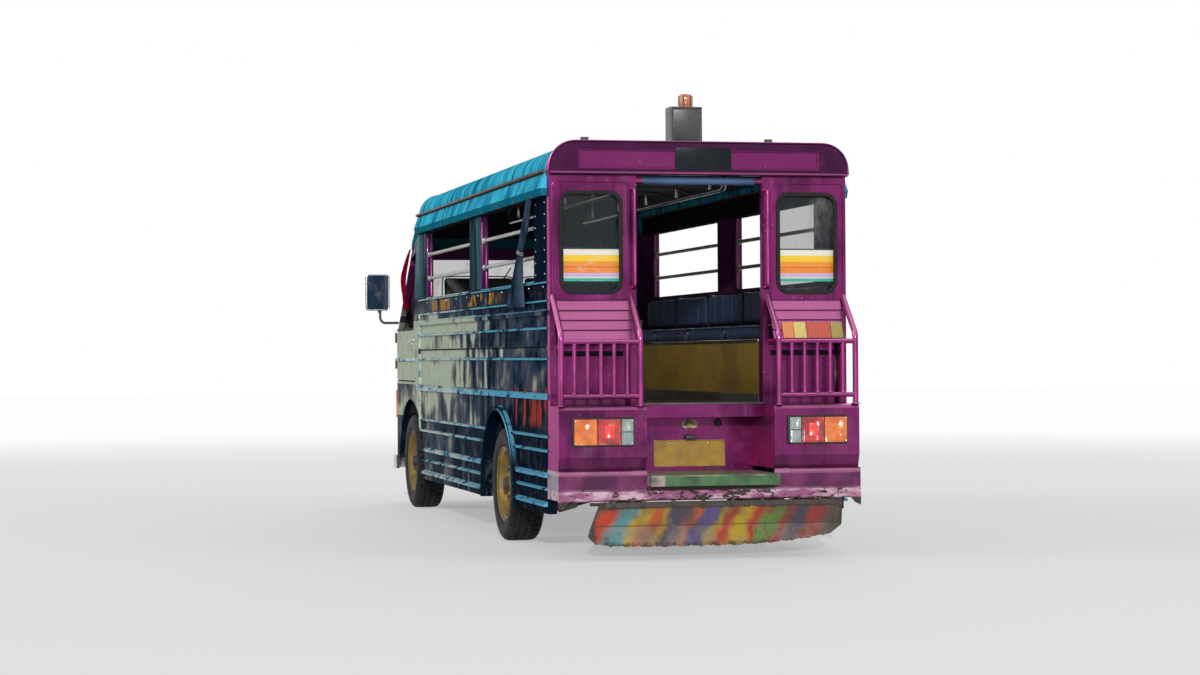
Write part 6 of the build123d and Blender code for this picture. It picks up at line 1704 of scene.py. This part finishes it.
@dataclass
class Cab:
    """Cab: doors, handles, hinges, windscreen, lamps, mirrors, dashboard and its controls."""

    length: float = 5450
    belt: float = 1200
    lean: float = 330 / 606

    def build(self) -> None:
        """Dresses the cab's nodes and adds the trim of each."""
        dress(STEEL, "cab_shell", "door_left", "door_right")
        dress(FLOOR, "cab_floor")
        dress(SCREEN, "windscreen")
        dress(DASH, "dashboard")
        dress(CHROME, "grille", "front_bumper")
        dress(AMBER, "corner_lamps")
        dress(BLACK, "mirrors", "steering_wheel")
        self.doors()
        self.screen()
        self.nose()
        self.mirror_glass()
        self.controls()

    def doors(self) -> None:
        """Handles, locks, belt rubbers, strips, cards and winders on the doors, and hinges on the shell."""
        for side in Side:
            sign = side.value
            word = side.name.lower()
            body = f"{word}_door"
            out = Vector((0, sign, 0))
            Blank.box(
                f"door_handle_{word}", (4528, sign * 800, 1128), (4652, sign * 804, 1168), out, 6,
                (0, -1.5 * sign, 0),
            ).finish(CHROME, 1.2, body=body)
            bow = ((4542, 801), (4545, 822), (4562, 827), (4600, 828), (4630, 826), (4641, 820), (4642, 801))
            pull = Blank.wire(f"door_pull_{word}", [(d, sign * y, 1150) for d, y in bow], 6.5)
            pull.finish(CHROME, body=body)
            Blank.turned(
                f"door_lock_{word}", ((0, 9), (3, 9), (4, 6)), (4590, sign * 800, 1108), out, 20
            ).finish(CHROME, body=body)
            Blank.box(
                f"belt_rubber_{word}", (4562, sign * 797, 1228), (5306, sign * 803, 1238), UP, 0,
                (0, -4 * sign, 5),
            ).finish(SEAL, 1, body=body)
            strip = Blank.box(f"door_strip_{word}", (4508, sign * 800, 1012), (5355, sign * 806, 1036), out)
            strip.inset(5, 2)
            strip.finish(STEEL, 1, body=body)
            Blank.turned(
                f"door_hinges_{word}", ((0, 7.5), (70, 7.5), (74, 5)), (5369, sign * 800, 960), UP, 16
            ).row((0, 0, 185), 2).finish(CHASSIS, 0.8)
            trim = Blank.box(
                f"door_card_{word}", (4560, sign * 755.5, 905), (5300, sign * 759.5, 1205), -out, 30
            )
            trim.inset(4, -1.5)
            trim.finish(DASH, 1, body=body)
            lever = Blank.rod(
                f"window_winder_{word}", (4900, sign * 755, 1060), (4900, sign * 742, 1060), 14, 11
            )
            arm = Blank.rod(
                f"winder_arm_{word}", (4900, sign * 744, 1060), (4975, sign * 740, 1020), 6, 5, 10
            )
            lever.finish(CHROME, 1, body=body)
            arm.finish(CHROME, body=body)

    def lean_on(self, lift: float) -> Callable[[Vector], Vector]:
        """Rule that lays a piece on the sloping front panel.

        Args:
            lift: Millimetres off the panel.

        Returns:
            The rule.
        """

        def rule(point: Vector) -> Vector:
            """Moves one point ahead onto the slope."""
            rise = point.z * 1000 - self.belt
            return point + Vector(((self.length - self.lean * rise + lift) / 1000, 0, 0))

        return rule

    def screen(self) -> None:
        """Windscreen rubber with its filler strip, and two wipers."""
        Blank.panel(
            "screen_gasket", 0, (-648, 648), (1246, 1758), 34, (24, -10)
        ).warp(self.lean_on(-7)).finish(SEAL, 3)
        Blank.panel(
            "screen_bead", 0, (-640, 640), (1254, 1750), 30, (5, -3)
        ).warp(self.lean_on(3)).finish(BRIGHT, 1)
        rule = self.lean_on(11)
        for number, (foot, tip) in enumerate((((260, 1238), (60, 1560)), ((-330, 1238), (-520, 1560)))):
            Blank.turned(
                f"wiper_pivot_{number}", ((0, 14), (10, 14), (16, 9)),
                rule(spot(0, *foot)) - Vector((0.012, 0, 0)), Vector((1, 0, 0.4)).normalized(), 18,
            ).finish(BLACK, 1)
            start, end = (rule(spot(0, y, z)) for y, z in (foot, tip))
            Blank.rod(f"wiper_arm_{number}", start, end, 4.5, 3, 10).finish(BLACK)
            low, high = (rule(spot(-4, tip[0] + dy, tip[1] + dz)) for dy, dz in ((90, -150), (-70, 120)))
            Blank.rod(f"wiper_blade_{number}", low, high, 4.5, 4.5, 6).finish(SEAL)

    def nose(self) -> None:
        """Grille ribs, head lamps, cowl slots, a strip, the bumper's rubber, a blank plate and tow hooks."""
        Blank.box("grille_back", (5450.5, -367, 623), (5455, 367, 937)).finish(BLACK)
        Blank.box("grille_ribs", (5455, -367, 624), (5463, -361, 936)).row((0, 91, 0), 9).finish(BLACK, 1)
        Blank.turned(
            "head_lamp_bezels", ((0, 98), (18, 98), (25, 94), (26, 87), (18, 84)), (5450, 520, 800), AHEAD,
            40,
        ).pair(CHROME, 1, replaces=("head_lamps",))
        Blank.turned(
            "head_lamp_domes", ((0, 84), (8, 83), (14, 76), (18, 60), (20.5, 35), (21, 12)),
            (5468, 520, 800), AHEAD, 40,
        ).pair(HEADLIGHT, replaces=("head_lamps",))
        slot = Blank.box("cowl_slots", (5449.6, -330, 1150), (5452, -230, 1158), AHEAD, 1.5, (-1.2, 0, 0))
        slot.row((0, 140, 0), 5).row((0, 0, -18), 2).finish(BLACK)
        Blank.box("nose_strip", (5450, -640, 1012), (5456, 640, 1036), AHEAD).inset(5, 2).finish(CHROME, 1)
        Blank.box(
            "bumper_rubber", (5509, -620, 284), (5515, 620, 312), AHEAD, 6, (3, 0, 0), 0.995
        ).finish(SEAL, 2)
        Blank.box("front_plate", (5452, -195, 420), (5455, 195, 560), AHEAD, 6, (-1, 0, 0)).finish(PLATE, 1)
        Blank.wire(
            "tow_hooks",
            [(d, 330, z) for d, z in ((5400, 330), (5470, 352), (5496, 372), (5480, 392), (5440, 385))], 9,
        ).pair(CHASSIS)

    def mirror_glass(self) -> None:
        """Rear-facing glass and rim of each mirror."""
        Blank.panel("mirror_glass", 5439.4, (842, 998), (1388, 1632), 18).thicken((-1.2, 0, 0)).pair(SILVER)
        Blank.panel(
            "mirror_rims", 5440, (836, 1004), (1382, 1638), 23, (7, 3.5)
        ).pair(BRIGHT, 1.2, slot="dark_plastic")
        Blank.turned(
            "mirror_clamps", ((0, 14), (30, 14), (33, 10)), (5456, 905, 1366), UP, 18
        ).pair(BLACK, 1)

    def controls(self) -> None:
        """Dials under a hood, knobs, vents, pedals and the gear lever."""
        Blank.box(
            "dial_hood", (5215, 290, 1196), (5300, 470, 1262), REARWARD, 8, (12, 0, 0)
        ).finish(DASH, 6, segments=3)
        for number, (y, radius) in enumerate(((340, 24), (395, 24), (438, 14))):
            Blank.turned(
                f"dial_{number}", ((0, radius), (4, radius), (4, radius * 0.86), (2, radius * 0.84)),
                (5226, y, 1230), REARWARD, 28,
            ).finish(CHROME, 0.4, slot="dark_plastic")
            Blank.turned(
                f"dial_face_{number}", ((0, radius * 0.83), (0.8, radius * 0.83)), (5224.5, y, 1230),
                REARWARD, 28,
            ).finish(PANEL, slot="dark_plastic")
            Blank.rod(
                f"dial_hand_{number}", (5222.6, y, 1230), (5222.6, y + 10, 1230 + radius / 2), 1.2, 0.5, 6
            ).finish(REDLIGHT)
        Blank.turned(
            "dash_knobs", ((0, 9), (12, 9), (15, 7)), (5150, 160, 1165), Vector((-1, 0, 0.3)).normalized(),
            18,
        ).row((0, -60, 0), 4).finish(BLACK, 1)
        vent = Blank.box("dash_vents", (5138, -420, 1120), (5146, -300, 1160), REARWARD)
        vent.subdivide(3).inset(3, -2, True)
        vent.row((0, -160, 0), 2).finish(BLACK, 1)
        pedal = Blank.box("pedals", (5318, 300, 930), (5326, 350, 990))
        pedal.warp(lambda point: point + Vector(((point.z - 0.93) * 0.5, 0, 0)))
        pedal.repeat([shift(0, 90, 0), shift(-6, 175, -20)]).finish(SEAL, 2)
        Blank.rod(
            "pedal_arms", (5345, 325, 965), (5385, 325, 1060), 7, sides=10
        ).repeat([shift(0, 90, 0), shift(-6, 175, -20)]).finish(CHASSIS)
        Blank.wire(
            "gear_lever", ((5110, 190, 995), (5100, 195, 1080), (5060, 205, 1180), (5030, 210, 1235)), 7.5
        ).finish(CHROME)
        Blank.turned(
            "gear_knob", ((0, 10), (8, 18), (22, 23), (36, 18), (42, 8)), (5034, 209.5, 1226),
            Vector((-0.4, 0.07, 0.9)).normalized(), 22,
        ).finish(BLACK)
        Blank.turned(
            "gear_boot", ((0, 52), (8, 48), (16, 50), (24, 36), (32, 38), (42, 22), (55, 12)),
            (5112, 190, 999), Vector((-0.08, 0.04, 1)).normalized(), 24,
        ).finish(SEAL)


@dataclass
class Saloon:
    """Passenger space: ceiling liner, floor ribs, rail brackets and the padded benches."""

    start: float = 90
    end: float = 3950
    pads: int = 5
    seat_y: Pair = (345, 700)
    seat_z: Pair = (1122, 1200)
    back_y: Pair = (702, 755)
    back_z: Pair = (1212, 1422)

    def build(self) -> None:
        """Makes the inside of the body."""
        dress(FLOOR, "floor_pan")
        dress(BOARD, "bench_frames")
        dress(CHROME, "ceiling_rails")
        self.ceiling()
        self.floor()
        self.benches()

    @staticmethod
    def crown(y: float) -> float:
        """How far the ceiling has come down at a distance from the middle."""
        return 6 * (y / 600) ** 2 + 62 * (max(0, abs(y) - 560) / 178) ** 2.2

    def ceiling(self) -> None:
        """Dark liner below the roof, its cross battens, a lamp and the rails' brackets."""
        deselect()
        bpy.ops.mesh.primitive_grid_add(x_subdivisions=28, y_subdivisions=28, size=1)
        liner = Blank("ceiling_liner")

        def under_roof(point: Vector) -> Vector:
            """Bends the sheet under the roof's crown and shoulders."""
            y = point.y * 2 * 738
            return spot(72 + (point.x + 0.5) * 4196, y, 2112 - self.crown(y))

        liner.warp(under_roof).thicken((0, 0, -3))
        liner.finish(LINER)
        for number in range(9):
            points = [(330 + 470 * number, y, 2106 - self.crown(y)) for y in range(-720, 721, 120)]
            Blank.wire(f"ceiling_batten_{number}", points, 6, sides=1).finish(LINER)
        Blank.turned(
            "ceiling_lamp", ((0, 70), (8, 68), (22, 55), (30, 30)), (2000, 0, 2108), DOWN, 32
        ).finish(CLEAR, 1)
        bracket = Blank.box("rail_brackets", (690, 243, 1940), (710, 257, 2106))
        bracket.pick(lambda centre, normal: abs(normal.z) > 0.9).inset(2)
        bracket.row((725, 0, 0), 5).pair(CHROME, 2)

    def floor(self) -> None:
        """Ribs along the aisle, and edges and kick strips on the benches' boxes."""
        Blank.box("floor_ribs", (40, -316, 790), (4250, -304, 793.5)).row((0, 62, 0), 11).finish(FLOOR, 1.5)
        Blank.box("bench_edges", (88, 341, 1108), (3952, 346, 1126)).pair(CHROME, 1.5)
        Blank.box(
            "bench_kick_strips", (88, 341.5, 791), (3952, 345.5, 836), RIGHTWARD
        ).inset(6, 1).pair(FLOOR, 1)

    def benches(self) -> None:
        """Five cushions and five backs a side, one of each swollen as cloth and copied."""
        pitch = (self.end - self.start) / self.pads
        copies = [shift(pitch * step, 0, 0) for step in range(1, self.pads)]
        groups = (
            ("bench_cushions", self.seat_y, self.seat_z, UP, 0.012),
            ("bench_backs", self.back_y, self.back_z, RIGHTWARD, 0.007),
        )
        for name, ys, zs, face, cap in groups:
            low = spot(self.start + 3, ys[0], zs[0])
            high = spot(self.start + pitch - 3, ys[1], zs[1])
            pad = Pad(name, low, high, face, cap, 0.016, seams=3).swell()
            pad.repeat(copies).both_sides()
            done = pad.finish(BENCH, angle=180, replaces=("bench_pads",))
            Blank.wire(
                f"{name}_piping", Pad.outline(low, high, face), 4.2, True
            ).repeat(copies).pair(SEAL, slot="seat_vinyl")


def axis_of(way: Vector) -> int:
    """Number of the axis that a direction follows."""
    return max(range(3), key=lambda index: abs(way[index]))


@dataclass
class Pad:
    """A cushion between two corners, swollen by a cloth simulation, flat where it rests."""

    name: str
    low: Vector
    high: Vector
    face: Vector
    cap: float
    voxel: float
    seams: int = 0

    @staticmethod
    def outline(low: Vector, high: Vector, face: Vector) -> list[Vector]:
        """Line of the piping round a pad's front edge.

        Args:
            low: Lower corner of the pad.
            high: Upper corner.
            face: Which way the pad faces.

        Returns:
            Control points of a closed line.
        """
        middle = (low + high) / 2
        axis = axis_of(face)
        first, second = (index for index in range(3) if index != axis)
        points = []
        for a, b in ((0, -1), (1, -1), (1, 0), (1, 1), (0, 1), (-1, 1), (-1, 0), (-1, -1)):
            for near in ((0.94, 1), (1, 0.94)) if a and b else ((1, 1),):
                point = middle.copy()
                half_a, half_b = (high[first] - low[first]) / 2, (high[second] - low[second]) / 2
                shrink_a = 1 - (1 - near[0]) * min(half_a, half_b) / half_a
                shrink_b = 1 - (1 - near[1]) * min(half_a, half_b) / half_b
                point[first] += a * (half_a * shrink_a - 0.004)
                point[second] += b * (half_b * shrink_b - 0.004)
                point[axis] += math.copysign((high[axis] - low[axis]) / 2 - 0.009, face[axis])
                points.append(point)

        def turn(point: Vector) -> float:
            """Angle of a point round the middle."""
            arm = point - middle
            return math.atan2(arm[second], arm[first])

        return sorted(points, key=turn)

    def swell(self) -> Blank:
        """Remeshes a rounded block, swells it, keeps its foot flat, and presses its seams.

        Returns:
            The pad.
        """
        inner = Vector((self.cap, self.cap, self.cap)) * 0.75
        pad = Blank.box(self.name, self.low + inner, self.high - inner)
        edge = min(abs(part) for part in self.high - self.low) * 0.26
        pad.modify("BEVEL", width=edge, segments=4, limit_method="NONE")
        pad.modify("REMESH", mode="VOXEL", voxel_size=self.voxel)
        rest = [vertex.co.copy() for vertex in pad.object.data.vertices]
        scene = bpy.context.scene
        scene.gravity = (0, 0, -9.81)
        cloth = pad.object.modifiers.new("swell", "CLOTH")
        cloth.settings.use_pressure = True
        cloth.settings.uniform_pressure_force = 4
        cloth.settings.effector_weights.gravity = 0
        cloth.settings.quality = 4
        cloth.point_cache.frame_start = 1
        cloth.point_cache.frame_end = 20
        for moment in range(1, 21):
            scene.frame_set(moment)
        hold(pad.object)
        bpy.ops.object.modifier_apply(modifier=cloth.name)
        scene.frame_set(1)
        axis = axis_of(self.face)
        way = 1 if sum(self.face) > 0 else -1
        foot = self.low if way > 0 else self.high
        for vertex, start in zip(pad.object.data.vertices, rest):
            step = vertex.co - start
            if step.length > self.cap:
                vertex.co = start + step * (self.cap / step.length)
            if (vertex.co[axis] - foot[axis]) * way < 0.004:
                vertex.co[axis] = foot[axis] + 0.0004 * way
        pad.modify("SUBSURF", levels=1, render_levels=1)
        return self.sew(pad, axis)

    def sew(self, pad: Blank, axis: int) -> Blank:
        """Presses cross seams and a few sitting creases into the top.

        Args:
            pad: The swollen pad.
            axis: The axis that it faces along.

        Returns:
            The pad.
        """
        way = math.copysign(1, self.face[axis])
        top = self.high[axis] if way > 0 else self.low[axis]
        run = self.high.x - self.low.x

        def press(point: Vector) -> Vector:
            """Lowers the top along the seams."""
            near = max(0, 1 - abs(top - point[axis]) / 0.03)
            share = (point.x - self.low.x) / run
            drop = 0
            for seam in range(1, self.seams + 1):
                gap = (share - seam / (self.seams + 1)) * run
                drop += 0.0075 * math.exp(-((gap / 0.011) ** 2))
            wave = math.sin(point.x * 61 + 3 * math.sin(point.y * 37))
            crease = 0.0012 * wave * math.sin(point.y * 29 + point.z * 17)
            point[axis] -= way * near * (drop + crease)
            return point

        return pad.warp(press) if self.seams else pad


@dataclass
class CabSeats:
    """Driver's seat and the wider one beside it, each a padded cushion and back."""

    seats: tuple[tuple[str, float, float], ...] = (("driver", 120, 620), ("mate", -620, 60))

    def build(self) -> None:
        """Makes both seats with piping."""
        for word, y0, y1 in self.seats:
            for part, low, high, face, cap in (
                ("cushion", spot(4463, y0, 1040), spot(4909, y1, 1144), UP, 0.016),
                ("back", spot(4386, y0, 1042), spot(4459, y1, 1599), AHEAD, 0.010),
            ):
                pad = Pad(f"{word}_{part}", low, high, face, cap, 0.013).swell()
                done = pad.finish(SEAT, angle=180, replaces=("cab_seats",))
                Blank.wire(
                    f"{word}_{part}_piping", Pad.outline(low, high, face), 4, True
                ).finish(SEAL, slot="cab_vinyl")


@dataclass
class Hanging:
    """A curtain between two edges, with folds that deepen where it is gathered."""

    name: str
    node: str
    finish: Finish
    body: str
    rear: tuple[Pair, ...]
    front: tuple[Pair, ...]
    skin: float
    depth: tuple[float, ...]
    folds: float
    flat: Pair
    held: str
    rests_on: tuple[str, ...]
    slot: str
    columns: int = 150
    rows: int = 110
    billow: tuple[float, ...] = (0, 0)

    def edge(self, line: tuple[Pair, ...], share: float) -> Pair:
        """Place on a smooth line through the given points.

        Args:
            line: Distance and height of each point.
            share: From 0 at the first to 1 at the last.

        Returns:
            Distance and height.
        """
        run = share * (len(line) - 1)
        index = min(int(run), len(line) - 2)
        t = run - index
        before, start = line[max(index - 1, 0)], line[index]
        end, after = line[index + 1], line[min(index + 2, len(line) - 1)]
        place = []
        for p0, p1, p2, p3 in zip(before, start, end, after):
            curve = (2 * p0 - 5 * p1 + 4 * p2 - p3) * t**2 + (3 * p1 - p0 - 3 * p2 + p3) * t**3
            place.append(0.5 * (2 * p1 + (p2 - p0) * t + curve))
        return place[0], place[1]

    @staticmethod
    def between(steps: Sequence[float], share: float) -> float:
        """Value between even steps.

        Args:
            steps: Values at even places.
            share: From 0 at the first to 1 at the last.

        Returns:
            The value.
        """
        run = share * (len(steps) - 1)
        index = min(int(run), len(steps) - 2)
        return steps[index] + (steps[index + 1] - steps[index]) * (run - index)

    def surface(self, u: float, v: float) -> Vector:
        """Place on the cloth.

        Args:
            u: Across, from the rear edge.
            v: Down, from the top edge.

        Returns:
            The place.
        """
        rear, front = self.edge(self.rear, v), self.edge(self.front, v)
        depth = self.between(self.depth, v)
        out = self.between(self.billow, v) * (0.12 + 0.88 * math.sin(math.pi * min(0.92, 0.15 + 1.1 * u)))
        uneven = u + 0.03 * math.sin(7 * u + 2) + 0.012 * math.sin(17 * u + 5 * v)
        wave = math.sin(math.tau * self.folds * uneven + 0.8 * math.sin(3 * v + 1))
        pleat = wave + 0.28 * math.sin(math.tau * self.folds * 2.3 * uneven + 4 * v)
        gather = math.sin(math.tau * self.folds * uneven * 2 + 1) * min(1, depth / 12)
        share = u + 0.045 * gather * math.sin(math.pi * u)
        distance = rear[0] + (front[0] - rear[0]) * share
        height = rear[1] + (front[1] - rear[1]) * share
        sag = 5 * math.sin(9 * u + 6 * v) * v
        return spot(
            distance + sag, math.copysign(abs(self.skin) + out + depth * pleat, self.skin),
            height + 2.5 * math.sin(21 * u) * v**3,
        )

    def build(self) -> None:
        deselect()
        bpy.ops.mesh.primitive_grid_add(
            x_subdivisions=self.columns, y_subdivisions=self.rows, size=1, calc_uvs=True
        )
        cloth = Blank(self.name)
        layer = cloth.object.data.uv_layers.active or cloth.object.data.uv_layers.new(name="UVMap")
        layer.name = "UVMap"
        for loop in cloth.object.data.loops:
            place = cloth.object.data.vertices[loop.vertex_index].co
            layer.data[loop.index].uv = ((place.x + 0.5) * self.flat[0], (place.y + 0.5) * self.flat[1])
        cloth.warp(lambda point: self.surface(point.x + 0.5, 0.5 - point.y))
        area = sum(face.area for face in cloth.object.data.polygons)
        log.info("%s area %.4f of %.4f flat", self.name, area, self.flat[0] * self.flat[1])
        done = cloth.finish(self.finish, slot=self.slot, body=self.body, angle=180, replaces=(self.node,))


def curtains() -> tuple[Hanging, Hanging]:
    """The tied-back rain curtain and the red cloth outside the driver's window."""
    tarp = Hanging(
        "rain_curtain", "side_curtain", TARP, "body",
        (
            (342, 1872), (395, 1785), (470, 1700), (598, 1612), (602, 1560), (585, 1480), (566, 1390),
            (556, 1306),
        ),
        (
            (488, 1872), (545, 1800), (625, 1712), (700, 1618), (760, 1560), (850, 1480), (940, 1395),
            (1032, 1316),
        ),
        823, (3, 5, 7.5, 6, 6.5, 8, 9, 9), 5.5, (0.45, 0.62), "gathered", ("side_wall_left",), "tarp",
    )
    satin = Hanging(
        "driver_cloth", "driver_curtain", SATIN, "left_door",
        ((4542, 1792), (4562, 1730), (4592, 1655), (4640, 1575), (4665, 1505), (4650, 1430), (4630, 1366)),
        ((4648, 1782), (4760, 1735), (4862, 1675), (4925, 1620), (4915, 1530), (4895, 1440), (4876, 1374)),
        812, (1.5, 2.5, 3.2, 3.6, 3.6, 3.8, 4), 3.5, (0.30, 0.42), "gathered", ("door_left",), "red_cloth",
        110, 90, (1, 12, 24, 36, 43, 42, 36, 28, 20, 12),
    )
    return tarp, satin


@dataclass
class CurtainCord:
    """Cord that ties the rain curtain to the window bar."""

    middle: Pair = (650, 1606)

    def build(self) -> None:
        """Two loose turns round the gathered cloth and a knot."""
        for number, drop in enumerate((0, -11)):
            points = [
                spot(self.middle[0] + dx, 822 + dy, self.middle[1] + drop + 0.25 * dx)
                for dx, dy in ((-56, 0), (-30, 11), (0, 12), (30, 11), (56, 0), (30, -8), (0, -9), (-30, -8))
            ]
            Blank.wire(f"curtain_tie_{number}", points, 3.2, True).finish(TARP_CORD)
        Blank.turned(
            "curtain_knot", ((0, 6), (4, 10), (10, 11), (16, 6)), (646, 829, 1600), LEFTWARD, 14
        ).finish(TARP_CORD)


@dataclass
class Chassis:
    """Underside: dressed frame, spring clamps, dampers, exhaust bands, tank filler and engine ribs."""

    def build(self) -> None:
        """Dresses the running gear and adds its fastenings."""
        dress(CHASSIS, "frame_rails", "cross_members", "floor_bearers", "front_axle", "rear_axle", "tie_rod")
        dress(CASTING, "engine_block", "knuckle_left", "knuckle_right")
        dress(RUST, "fuel_tank", "exhaust_pipe")
        self.springs()
        self.exhaust()
        self.tank()
        self.engine()

    def springs(self) -> None:
        """U-bolts over the springs, clips round the leaves, and a damper by each."""
        for number, (end, seat) in enumerate(zip(End, (402, 395))):
            axle = end.value
            for offset in (-46, 46):
                Blank.wire(
                    f"u_bolt_{number}_{offset}",
                    [
                        (axle + offset, y, z)
                        for y, z in (
                            (294, 268), (294, seat - 20), (298, seat + 4), (330, seat + 8), (362, seat + 4),
                            (366, seat - 20), (366, 268),
                        )
                    ],
                    7,
                ).pair(CHASSIS)
            Blank.box(
                f"spring_plate_{number}", (axle - 62, 284, 272), (axle + 62, 376, 280)
            ).pair(CHASSIS, 2)
            Blank.turned(
                f"u_nuts_{number}", ((0, 11), (12, 11), (14, 9)), (axle - 46, 294, 274), DOWN, 6
            ).row((92, 0, 0), 2).row((0, 72, 0), 2).pair(CASTING)
            for away in (-300, 300):
                clip = Blank.box(
                    f"leaf_clip_{number}_{away}", (axle + away - 9, 297, 436), (axle + away + 9, 363, 452)
                )
                clip.pick(lambda centre, normal: abs(normal.y) > 0.9).inset(2).extrude((0, 0, -4))
                clip.pair(CHASSIS, 1.5)
            low, high = spot(axle + 120, 250, 330), spot(axle + 250, 268, 560)
            Blank.rod(f"damper_{number}", low, low.lerp(high, 0.58), 26, sides=20).pair(CHASSIS, 2)
            Blank.rod(
                f"damper_stem_{number}", low.lerp(high, 0.5), high, 10, sides=12
            ).pair(CHROME, slot="chassis_paint")

    def exhaust(self) -> None:
        """Bands round the silencer, pipe clamps and the tail pipe's sleeve."""
        Blank.turned(
            "silencer_bands", ((0, 78.5), (2, 80.5), (16, 80.5), (18, 78.5)), (2625, 470, 460), AHEAD, 32
        ).repeat([shift(320, 0, 0), shift(655, 0, 0)]).finish(RUST)
        Blank.turned(
            "pipe_clamps", ((0, 24.5), (2, 27), (18, 27), (20, 24.5)), (2560, 470, 460), AHEAD, 20
        ).repeat([shift(-900, 0, 0), shift(770, 0, 0)]).finish(CHASSIS)
        away = (spot(179, 720, 258.2) - spot(230, 627.3, 275.8)).normalized()
        Blank.turned(
            "tail_pipe_sleeve", ((0, 30.2), (2, 31.8), (99, 32.2), (103, 31.6), (104, 29.6)),
            (230, 627.3, 275.8), away, 32,
        ).finish(PIPE)

    def tank(self) -> None:
        """Filler neck with its cap, and drain plug."""
        Blank.turned(
            "tank_filler", ((0, 36), (20, 36), (22, 42), (50, 42), (54, 36)), (2420, -698, 500),
            Vector((0, -1, 0.15)).normalized(), 24,
        ).finish(CASTING, 1)
        Blank.turned(
            "tank_drain", ((0, 18), (8, 18), (8, 10), (16, 10)), (2780, -535, 322), DOWN, 6
        ).finish(CASTING)

    def engine(self) -> None:
        """Ribs, a sump and its bolts on the plain engine block."""
        Blank.box("engine_ribs", (4470, -231, 470), (4482, -236, 880)).row((84, 0, 0), 8).pair(CASTING, 2)
        Blank.box(
            "engine_sump", (4560, -150, 406), (5020, 150, 424), DOWN, 20, (0, 0, -10), 0.94
        ).finish(CASTING, 4)
        bolt = Blank.turned("sump_bolts", ((0, 7), (6, 7)), (4575, -142, 408), DOWN, 6)
        bolt.row((71, 0, 0), 7).row((0, 284, 0), 2).finish(CHASSIS, slot="cast_grey")


@dataclass
class Room:
    """A plain pale floor and soft light, with the camera where the photo was taken."""

    place: Place = (-15.442, 3.504, 1.038)
    yaw: float = 13.02
    pitch: float = 0.43
    roll: float = -0.345
    lens: float = 76.5

    def build(self) -> None:
        """Floor, lights, white surround and camera."""
        self.floor()
        self.lights()
        self.surround()
        self.camera()

    def floor(self) -> None:
        """A wide floor at z 0 that keeps the shadow."""
        deselect()
        bpy.ops.mesh.primitive_plane_add(size=120, location=(0, 0, 0))
        ground = bpy.context.active_object
        ground.name = "studio_floor"
        ground.data.materials.append(Studio("studio_pale").material())

    def lights(self) -> None:
        """Soft distant lamps: a low key from behind, one from each side, and one from ahead."""
        for name, towards, softness, power in (
            ("key", (-0.95, 0.20, 0.215), 1.5, 2.25), ("side", (0.15, 0.90, 0.40), 30, 0.65),
            ("fill", (-0.55, -0.75, 0.45), 40, 0.35), ("ahead", (0.75, -0.35, 0.60), 40, 0.60),
        ):
            deselect()
            bpy.ops.object.light_add(type="SUN", location=Vector(towards) * 20)
            lamp = bpy.context.active_object
            lamp.name = name
            lamp.data.angle = math.radians(softness)
            lamp.data.energy = power
            lamp.rotation_euler = Vector(towards).to_track_quat("Z", "Y").to_euler()

    def surround(self) -> None:
        """White to the camera, in mirrors and through glass, and an even grey light to the rest."""
        world = bpy.data.worlds.new("studio_air")
        bpy.context.scene.world = world
        world.use_nodes = True
        tree = world.node_tree
        tree.nodes.clear()
        seen = watched(tree)
        white = add_node(tree, "Background", inputs={"Color": (1, 1, 1, 1), "Strength": 1})
        grey = add_node(tree, "Background", inputs={"Color": (0.94, 0.97, 1, 1), "Strength": 0.36})
        both = add_node(tree, "MixShader", inputs={0: seen, 1: grey, 2: white})
        tree.links.new(both.socket, tree.nodes.new("ShaderNodeOutputWorld").inputs["Surface"])

    def camera(self) -> None:
        """The photo's camera."""
        yaw, pitch, roll = (math.radians(angle) for angle in (self.yaw, self.pitch, self.roll))
        ahead = Vector((math.cos(yaw) * math.cos(pitch), -math.sin(yaw) * math.cos(pitch), math.sin(pitch)))
        right = Vector((-math.sin(yaw), -math.cos(yaw), 0))
        above = right.cross(ahead)
        turned_right = right * math.cos(roll) + above * math.sin(roll)
        turned_above = above * math.cos(roll) - right * math.sin(roll)
        deselect()
        bpy.ops.object.camera_add(location=self.place)
        view = bpy.context.active_object
        turn = Matrix((turned_right, turned_above, -ahead)).transposed()
        view.matrix_world = Matrix.Translation(self.place) @ turn.to_4x4()
        view.data.lens = self.lens
        view.data.sensor_width = 36
        view.data.clip_end = 200
        bpy.context.scene.camera = view


def main() -> None:
    """Builds the vehicle and its studio, piece by piece, and logs each."""
    parts: tuple[Any, ...] = (
        RearFace(), Flap(), SideWall(), RoofSign(), *(Wheel(end, side) for end in End for side in Side),
        Cab(), Saloon(), CabSeats(), *curtains(), CurtainCord(), Chassis(), Room(),
    )
    for part in parts:
        part.build()
        log.info("built %s", type(part).__name__)
    bpy.context.scene.view_settings.view_transform = "Standard"


if __name__ == "__main__":
    main()
